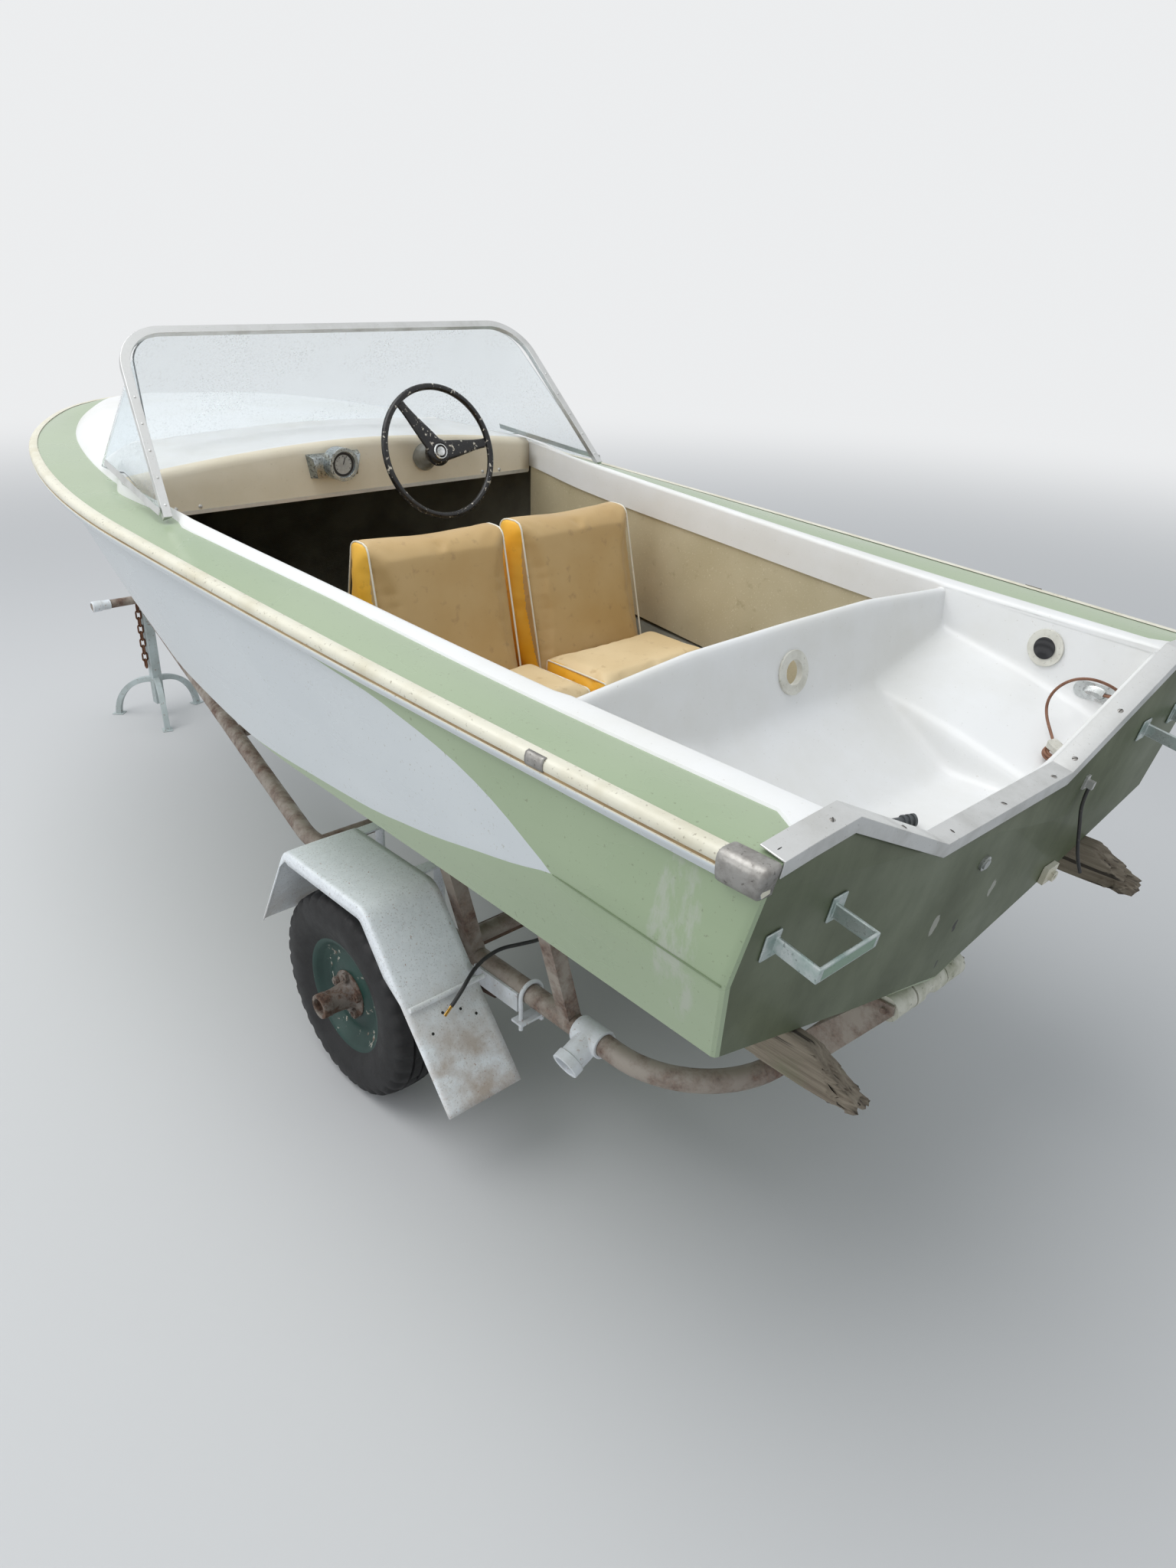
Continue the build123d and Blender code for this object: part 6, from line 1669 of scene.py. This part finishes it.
# A dark ring round the dial's edge paints the shade under the bezel.
dial_edge_shade = turned("dial_edge_shade", [(0.0256, 0.0), (0.0262, 0.0008), (0.0318, 0.0008), (0.0324, 0.0)], DIAL,
                   Vector((-1, 0, 0)), 48)
bars = [(200, 0.0, 0.019, 0.0011)] + [(angle, 0.0200, 0.0240, 0.0007) for angle in range(60, 301, 30)]
corners = []
for angle, near, far, half in bars:
    out = Vector((0, math.sin(math.radians(angle)), -math.cos(math.radians(angle))))
    beside = Vector((0, out.z, -out.y))
    corners += [DIAL + out * r + beside * w + Vector((-0.0004, 0, 0))
                for r, w in ((near, -half), (near, half), (far, half), (far, -half))]
dial_bars = mesh_object("dial_bars", corners,
                        [tuple(range(first, first + 4)) for first in range(0, len(corners), 4)])
add_thickness(dial_bars, 0.0004)
for piece in (dial_edge_shade, dial_bars):
    mount(piece, "dial_black", finish=painted_shade_and_print)
print("dial bars", len(bars))

# %% [markdown]
# ## Flex, coil and plug in the well
# The brown flex comes out of the vent, loops over the well, and is wound into a small tied coil on the
# shelf. Its line is one spline: first the corners of the loop, then four turns of the coil laid a
# diameter apart, two inside and two outside.

# %% Flex with its coil
FLEX_ROUTE = [(12.1, -523.8, 1038.4), (-21.9, -523.2, 1038.4), (-30, -496, 1062), (-13, -468, 1082),
              (16, -449, 1091), (47, -440, 1083), (72, -434, 1060), (83, -428, 1030), (73, -415, 1003),
              (42.7, -389.6, 976.8)]
COIL_ORIGIN = Vector((13.0, -352.0, 953.1))
COIL_X = Vector((0.592, -0.745, 0.309)).normalized()
COIL_UP = Vector((-0.201, 0.235, 0.951)).normalized()
COIL_X = (COIL_X - COIL_UP * COIL_X.dot(COIL_UP)).normalized()
COIL_Y = COIL_UP.cross(COIL_X)


def coil_point(angle, radius, high):
    """Point of the coil from an angle in degrees, a radius and a height over the shelf."""
    a = math.radians(angle)
    return tuple(COIL_ORIGIN + COIL_X * radius * math.cos(a) + COIL_Y * radius * math.sin(a) + COIL_UP * high)


coil_radius = fair([0, 300, 370, 1090, 1170, 1500], [23.6, 23.6, 17.0, 17.0, 23.6, 23.6])
coil_height = fair([0, 60, 660, 730, 1110, 1500], [8.7, 3.7, 3.7, 10.6, 10.6, 10.8])
coil_turns = [coil_point(a, coil_radius(a), coil_height(a)) for a in range(0, 1411, 30)]
flex_line = FLEX_ROUTE + [coil_point(0, 27, 8.6)] + coil_turns
well_loop = cord_curve("well_loop", flex_line, 0.003, "flex_brown", "well_flex", "flex_coil")


def spline_length(piece):
    """Length of a curve's own line in metres, measured on its drawn points."""
    line = piece.data.copy()
    line.bevel_depth = 0.0
    line.resolution_u = 40
    probe = bpy.data.objects.new("probe", line)
    mesh = probe.to_mesh()
    ends = [[mesh.vertices[i].co for i in edge.vertices] for edge in mesh.edges]
    total = sum((a - b).length for a, b in ends)
    probe.to_mesh_clear()
    bpy.data.objects.remove(probe)
    return total


flex_long = spline_length(well_loop)
print("flex", round(flex_long, 3), "cable", round(spline_length(lighting_cable), 3),
      "tube", round(spline_length(hanging_tube), 3))

# %% [markdown]
# ## Wheels
# Each wheel is a tyre on a steel rim, and both turn with the wheel's own body. The tyre is turned from a
# section with a full sidewall, and the tread is cut by lowering rings and every few steps of the
# shoulders, which leaves rows of blocks. The rim is a pressed dish with a rusty hub and five nuts.

# %% Tyres
WHEEL_S, WHEEL_Z, WHEEL_MID_Y = 1100.0, 252.5, 585.0
TREAD = [(-62, 226), (-60.5, 236), (-56, 243.5), (-50, 247.5), (-30, 251.2), (-28.4, 246), (-24.6, 246),
         (-23, 252), (-10, 252.4), (-3, 252.5), (-1.8, 247), (1.8, 247), (3, 252.5), (10, 252.4), (23, 252),
         (24.6, 246), (28.4, 246), (30, 251.2), (50, 247.5), (56, 243.5), (60.5, 236), (62, 226)]
SIDEWALL = [(-45.5, 131), (-50.5, 140), (-53, 149), (-58.5, 160), (-63.4, 174), (-65.8, 190), (-65.6, 205),
            (-63.6, 217)]


def tyre(side, name):
    """Tyre with shoulder blocks, from bead to bead."""
    section = SIDEWALL + TREAD + [(-y, r) for y, r in reversed(SIDEWALL)]
    steps = 180
    vertices = []
    for k in range(steps):
        a = 2 * math.pi * k / steps
        for y, r in section:
            low = 0.0
            if r > 230 and abs(y) > 31 and k % 5 in (0, 1):
                low = 7.0
            elif r > 250 and abs(y) < 24 and (k + (3 if y > 0 else 0)) % 9 == 0:
                low = 3.5
            vertices.append(at(WHEEL_S + (r - low) * math.cos(a), side * (WHEEL_MID_Y + y),
                               WHEEL_Z + (r - low) * math.sin(a)))
    faces = quads(steps, len(section), ring_rows=True, turned_over=side < 0)
    piece = mesh_object(f"old_tyre_wheel_{name}", vertices, faces)
    tidy_mesh(piece, 0.00002)
    smooth_piece(piece, 30)
    mount(piece, "tyre_rubber", f"tyre_{name}", body=f"wheel_{name}")
    return piece


print("tyres", [len(tyre(side, name).data.polygons) for side, name in SIDES])

# %% Rims and hubs
RIM_SECTION = [(148.5, -48.5), (149.2, -47), (146, -45), (131, -43), (124.6, -32), (122, 0), (124, 26),
               (128, 42), (134, 46.4), (146, 47.6), (149, 49.4), (149.4, 51), (147.4, 51.6), (136, 50.4),
               (128.6, 45), (123, 36), (116, 32.6), (108, 27), (101, 24.5), (92, 25.5), (80, 30.5),
               (68, 33.6), (58, 34.4), (27.6, 34.4)]
HUB_SECTION = [(58, 34.5), (58, 37), (55, 39), (37, 40), (33.5, 44), (30.5, 60), (28.4, 76), (28.0, 92),
               (29.6, 96), (30.0, 112), (28.8, 117.4), (26.4, 118), (21.6, 118), (20.6, 117), (20.4, 106),
               (17.7, 105)]
NUT_SECTION = [(0, 13), (4.5, 13), (4.8, 10.5), (10.5, 10.5), (11.8, 9), (11.8, 0)]


def wheel_metal(side, name):
    """Rim, hub and nuts of one wheel."""
    body, outward = f"wheel_{name}", Vector((0, side, 0))
    centre = at(WHEEL_S, side * WHEEL_MID_Y, WHEEL_Z)
    rim = turned(f"pressed_rim_{body}", metres(RIM_SECTION), centre, outward, 96)
    hub = turned(f"rusty_hub_{body}", metres(HUB_SECTION), centre, outward, 48)
    mount(rim, "rim_paint", f"rim_{name}", body=body)
    mount(hub, "rim_paint", body=body, finish=rusty_hub)
    for k in range(5):
        a = 2 * math.pi * k / 5 + 0.3
        spot = centre + Vector((0.0475 * math.cos(a), side * 0.0385, 0.0475 * math.sin(a)))
        nut = turned(f"wheel_nut_{body}_{k}", metres(NUT_SECTION), spot, outward, 6)
        mount(nut, "rim_paint", body=body, finish=rusty_hub)


for side, name in SIDES:
    wheel_metal(side, name)

# %% [markdown]
# ## Mudguards
# A mudguard is one strip of galvanised sheet, bent over the wheel with easy radii and turned down along
# its outer edge. The strip follows a line with rounded corners, and a thickness makes it a sheet.

# %% Bent sheet guards
GUARD_LINE = [(1412, 329, 0), (1262, 583, 46), (925, 583, 60), (785, 401, 40), (636, 221, 0)]


def filleted(line, steps=8):
    """Points along an open line whose inner corners are rounded by their own radius."""
    points = [Vector(line[0][:2])]
    for i in range(1, len(line) - 1):
        here, radius = Vector(line[i][:2]), line[i][2]
        before = (Vector(line[i - 1][:2]) - here).normalized()
        after = (Vector(line[i + 1][:2]) - here).normalized()
        reach = radius / math.tan(before.angle(after) / 2)
        for k in range(steps + 1):
            t = k / steps
            points.append((here + before * reach) * (1 - t) ** 2 + here * 2 * t * (1 - t)
                          + (here + after * reach) * t * t)
    points.append(Vector(line[-1][:2]))
    return points


def fine_line(points, step=16.0):
    """Same line with extra points, none further apart than a step."""
    fine = [points[0]]
    for a, b in zip(points, points[1:]):
        count = max(1, int((b - a).length / step))
        fine += [a.lerp(b, k / count) for k in range(1, count + 1)]
    return fine


def guard(side, name):
    """Mudguard of one side: a section across the wheel, carried along the bent line."""
    path = fine_line(filleted(GUARD_LINE))
    vertices = []
    lip_start, lip_end = GUARD_LINE[1][0] + 30, GUARD_LINE[3][0] + 10
    for i, point in enumerate(path):
        ahead = path[min(i + 1, len(path) - 1)] - path[max(i - 1, 0)]
        normal = Vector((ahead.y, -ahead.x)).normalized()
        if normal.y < 0:
            normal = -normal
        lip = 24.0 * share_of(point.x, lip_start, lip_start - 40) * share_of(point.x, lip_end, lip_end + 40)
        columns = [(486, 0.0), (502, 0.4), (540, 0.9), (585, 1.1), (630, 0.9), (660, 0.2), (667, -0.8),
                   (670.4, -3.4), (671.6, -6.6 - lip * 0.05), (671.8, -7.0 - lip * 0.5), (671.8, -7.4 - lip)]
        for y, up in columns:
            vertices.append(at(point.x + normal.x * up, side * y, point.y + normal.y * up))
    piece = mesh_object(f"bent_guard_{name}", vertices, quads(len(path), len(columns), turned_over=side < 0))
    if piece.data.polygons[len(piece.data.polygons) // 2].normal.z < 0:
        piece.data.flip_normals()
    add_thickness(piece, 0.0028)
    piece.data.shade_smooth()
    mount(piece, "guard_paint", f"mudguard_{name}")
    return piece


guards = [guard(side, name) for side, name in SIDES]
# Four near-black discs on the port guard paint the shade seen through its holes.
for number, spot in enumerate(((764, 594, 376), (758, 552, 369), (743, 522, 351), (745, 633, 352))):
    place = on_surface(guards[0], at(*spot), 0.0004)
    hole = turned(f"guard_hole_{number}", [(0.0, 0.0003), (0.0034, 0.0)], place, Vector((-0.77, 0, 0.638)),
                  16)
    mount(hole, "guard_paint", finish=painted_shade_and_print)
print("guards", [len(g.data.polygons) for g in guards])

# %% [markdown]
# ## Steering wheel
# The wheel has a thick worn rim and two flat spokes that taper towards it. The spokes leave a broad hub
# with rings turned into its face. All of it turns with the steering body.

# %% Rim, spokes and hub
COLUMN_TILT = math.radians(17)
COLUMN_OUT = Vector((-math.cos(COLUMN_TILT), 0, math.sin(COLUMN_TILT)))
WHEEL_X = Vector((0, -1, 0))
WHEEL_Y = COLUMN_OUT.cross(WHEEL_X)
HELM = at(1882, -240, 1304)


def on_wheel(x, y, z):
    """Point in the wheel's own plane, in millimetres."""
    return HELM + (WHEEL_X * x + WHEEL_Y * y + COLUMN_OUT * z) / 1000


rim_section = [(180 + 9.4 * math.cos(a), 8.6 * math.sin(a) + (0.5 if math.sin(a) > 0 else 0.0))
               for a in [2 * math.pi * k / 14 for k in range(15)]]
hub_section = [(30, -30), (38, -14), (39, -6), (36, 2), (30, 6.5), (25, 7.5), (23.6, 6.4), (22, 7.6),
               (17, 8.6), (15.6, 7.4), (14, 8.8), (8, 9.8), (0, 10.2)]
helm_rim = turned("helm_rim", metres(rim_section), HELM, COLUMN_OUT, 96)
helm_hub = turned("helm_hub", metres(hub_section), HELM, COLUMN_OUT, 48)
for piece in (helm_rim, helm_hub):
    mount(piece, "wheel_rim", "steering_wheel", body="steering")
hub_button = turned("hub_button", [(0.0, 0.0113), (0.008, 0.0109), (0.0125, 0.0098), (0.0135, 0.0080)], HELM,
                    COLUMN_OUT, 32)
hub_ring = turned("hub_ring", [(0.0172, 0.0074), (0.0182, 0.0098), (0.0205, 0.0102), (0.0222, 0.0078)], HELM,
                  COLUMN_OUT, 40)
for piece in (hub_button, hub_ring):
    mount(piece, "chrome_trim", body="steering")


def spoke(angle):
    """Flat spoke that tapers from the hub to the rim and sinks back a little."""
    a = math.radians(angle)
    along, sideways = Vector((math.cos(a), math.sin(a))), Vector((-math.sin(a), math.cos(a)))
    vertices = []
    rows = [(20, 31, 3, 8), (60, 27, 1.5, 7), (110, 19, 0, 6), (150, 14, -0.5, 5.5), (176, 15, 0, 5)]
    for reach, half, rise, thick in rows:
        for u, w in ((-1, -0.2), (-0.8, 0.7), (0, 1), (0.8, 0.7), (1, -0.2), (0.7, -1), (-0.7, -1)):
            point = along * reach + sideways * half * u
            vertices.append(on_wheel(point.x, point.y, rise + thick * w - 3))
    piece = mesh_object(f"helm_spoke_{angle}", vertices, quads(len(rows), 7, ring_columns=True))
    tidy_mesh(piece, 0.00002)
    smooth = piece.modifiers.new("softened", "SUBSURF")
    smooth.levels = smooth.render_levels = 2
    piece.data.shade_smooth()
    mount(piece, "wheel_rim", body="steering")


for angle in (125, 4):
    spoke(angle)

# %% [markdown]
# ## Weathered planks
# The planks under the hull have stood in the rain for years. Their grain stands up in ridges and the
# ends have rotted into splinters. A copy of the plain planks is cut into small squares, and every point
# is moved by a noise that is stretched along the plank.

# %% Rotted planks
noise.seed_set(11)
planks = bpy.data.objects.new("rotted_planks", frame["nodes"]["bunks"].data.copy())
scene.collection.objects.link(planks)
remesh = planks.modifiers.new("small_squares", "REMESH")
remesh.mode = "VOXEL"
remesh.voxel_size = 0.0065
swap_mesh(planks)
for vertex in planks.data.vertices:
    co, normal = vertex.co, vertex.normal
    ridge = noise.noise(Vector((co.x * 2.2, co.y * 70, co.z * 70)))
    rot = share_of(co.x, HEEL_X + 0.02, HEEL_X - 0.14)
    bite = noise.noise(Vector((co.x * 5, co.y * 90 + 4, co.z * 90)))
    shift = normal * (-0.0022 + 0.0020 * ridge - 0.004 * rot * abs(bite))
    if rot > 0.6:
        shift += Vector((0.045 * (rot - 0.6) * abs(bite) * 2.5, 0, 0))
    vertex.co = co + shift
planks.data.materials.clear()
planks.data.shade_smooth()
mount(planks, "bunk_timber", "bunks")
print("planks", len(planks.data.polygons))

# %% [markdown]
# ## Small trim
# A thin strip of darker green along the knuckle behind the flash is painted shade under the ledge there.
# A grey cover hides a joint in the rail, an aluminium strip edges the foot of the dash, and rivets hold
# the windscreen frame.

# %% Painted shade along the knuckle, rail joint and dash strip
def ribbon(name, rows, slot, thick=0.0008, finish=None):
    """Thin strip through pairs of points."""
    piece = mesh_object(name, [v for pair in rows for v in pair], quads(len(rows), 2))
    add_thickness(piece, thick, 0.0)
    mount(piece, slot, finish=finish)


# Darker green for a thin strip along the knuckle: painted shade under the ledge there.
knuckle_shade_green = worn_finish("painted_knuckle_shade", (118, 134, 102), (102, 118, 88), (132, 146, 114),
                           rough=(0.5, 0.7), stain_size=20, spot_size=160, relief=0.1)
for side, name in SIDES:
    rows = []
    for p in (-52, -20, 20, 60, 100, 140, 180, 220, 250, 268):
        y, z = knuckle_y(p) + 0.6, knuckle_z(p)
        half = 1.3 if p < 240 else 1.3 * (272 - p) / 32
        rows.append((at(station(p, z), side * y, z + half), at(station(p, z), side * y, z - half)))
    ribbon(f"knuckle_groove_{name}", rows, "gelcoat_green", finish=knuckle_shade_green)
    joint = []
    for s in (278, 284, 300, 312, 316):
        y, top = sheer_y(s) + RAIL_DEEP, sheer_z(s)
        joint += [at(s, side * (y + across), top + up) for across, up in
                  ((-8, 3.4), (-2, 1.6), (0.6, -5), (0.8, -13), (-0.8, -17.6))]
    cover = mesh_object(f"rail_joint_{name}", joint, quads(5, 5))
    add_thickness(cover, 0.0012, 0.0)
    cover.data.shade_smooth()
    mount(cover, "aluminium_trim", finish=cast_aluminium)
ribbon("dash_strip", [(at(DASH_S - 1.2, y, DASH_LOW + 9), at(DASH_S - 1.2, y, DASH_LOW - 1))
                      for y in range(-DASH_HALF, DASH_HALF + 1, 53)], "aluminium_trim", 0.0016)

# %% Rivets and foot strips of the windscreen
SCREEN_LEAN = 0.86
SCREEN_FOOT = Vector((1663.0, 671.0, 1262.0))
SCREEN_HEAD = Vector((1663.0 + 378 * SCREEN_LEAN, 604.0, 1640.0))
frame_out = Vector((-1, 0, SCREEN_LEAN)).normalized()
for side, name in SIDES:
    for number, t in enumerate((0.06, 0.2, 0.34, 0.48, 0.62)):
        spot = SCREEN_FOOT.lerp(SCREEN_HEAD, t)
        place = at(spot.x, side * (spot.y - 7), spot.z) + frame_out * 0.0072
        rivet = turned(f"frame_rivet_{number}_{name}", [(0.0, 0.0018), (0.0022, 0.0013), (0.0032, 0.0)],
                       place, frame_out, 14)
        mount(rivet, "aluminium_trim")
    rows = []
    for s in range(1672, 2120, 30):
        y = SCREEN_FOOT.y + 4.5 - 0.115 * (s - SCREEN_FOOT.x)
        coaming, step, _ = deck_row(s)
        z = mix(coaming[1], step[1], 0.2) + 1.0
        if s > FOREDECK_AFT:
            z = max(z, foredeck_z(s, y))
        rows.append((at(s, side * (y + 1.5), z + 15), at(s, side * (y + 6), z + 0.5)))
    ribbon(f"screen_foot_{name}", rows, "aluminium_trim", 0.002)
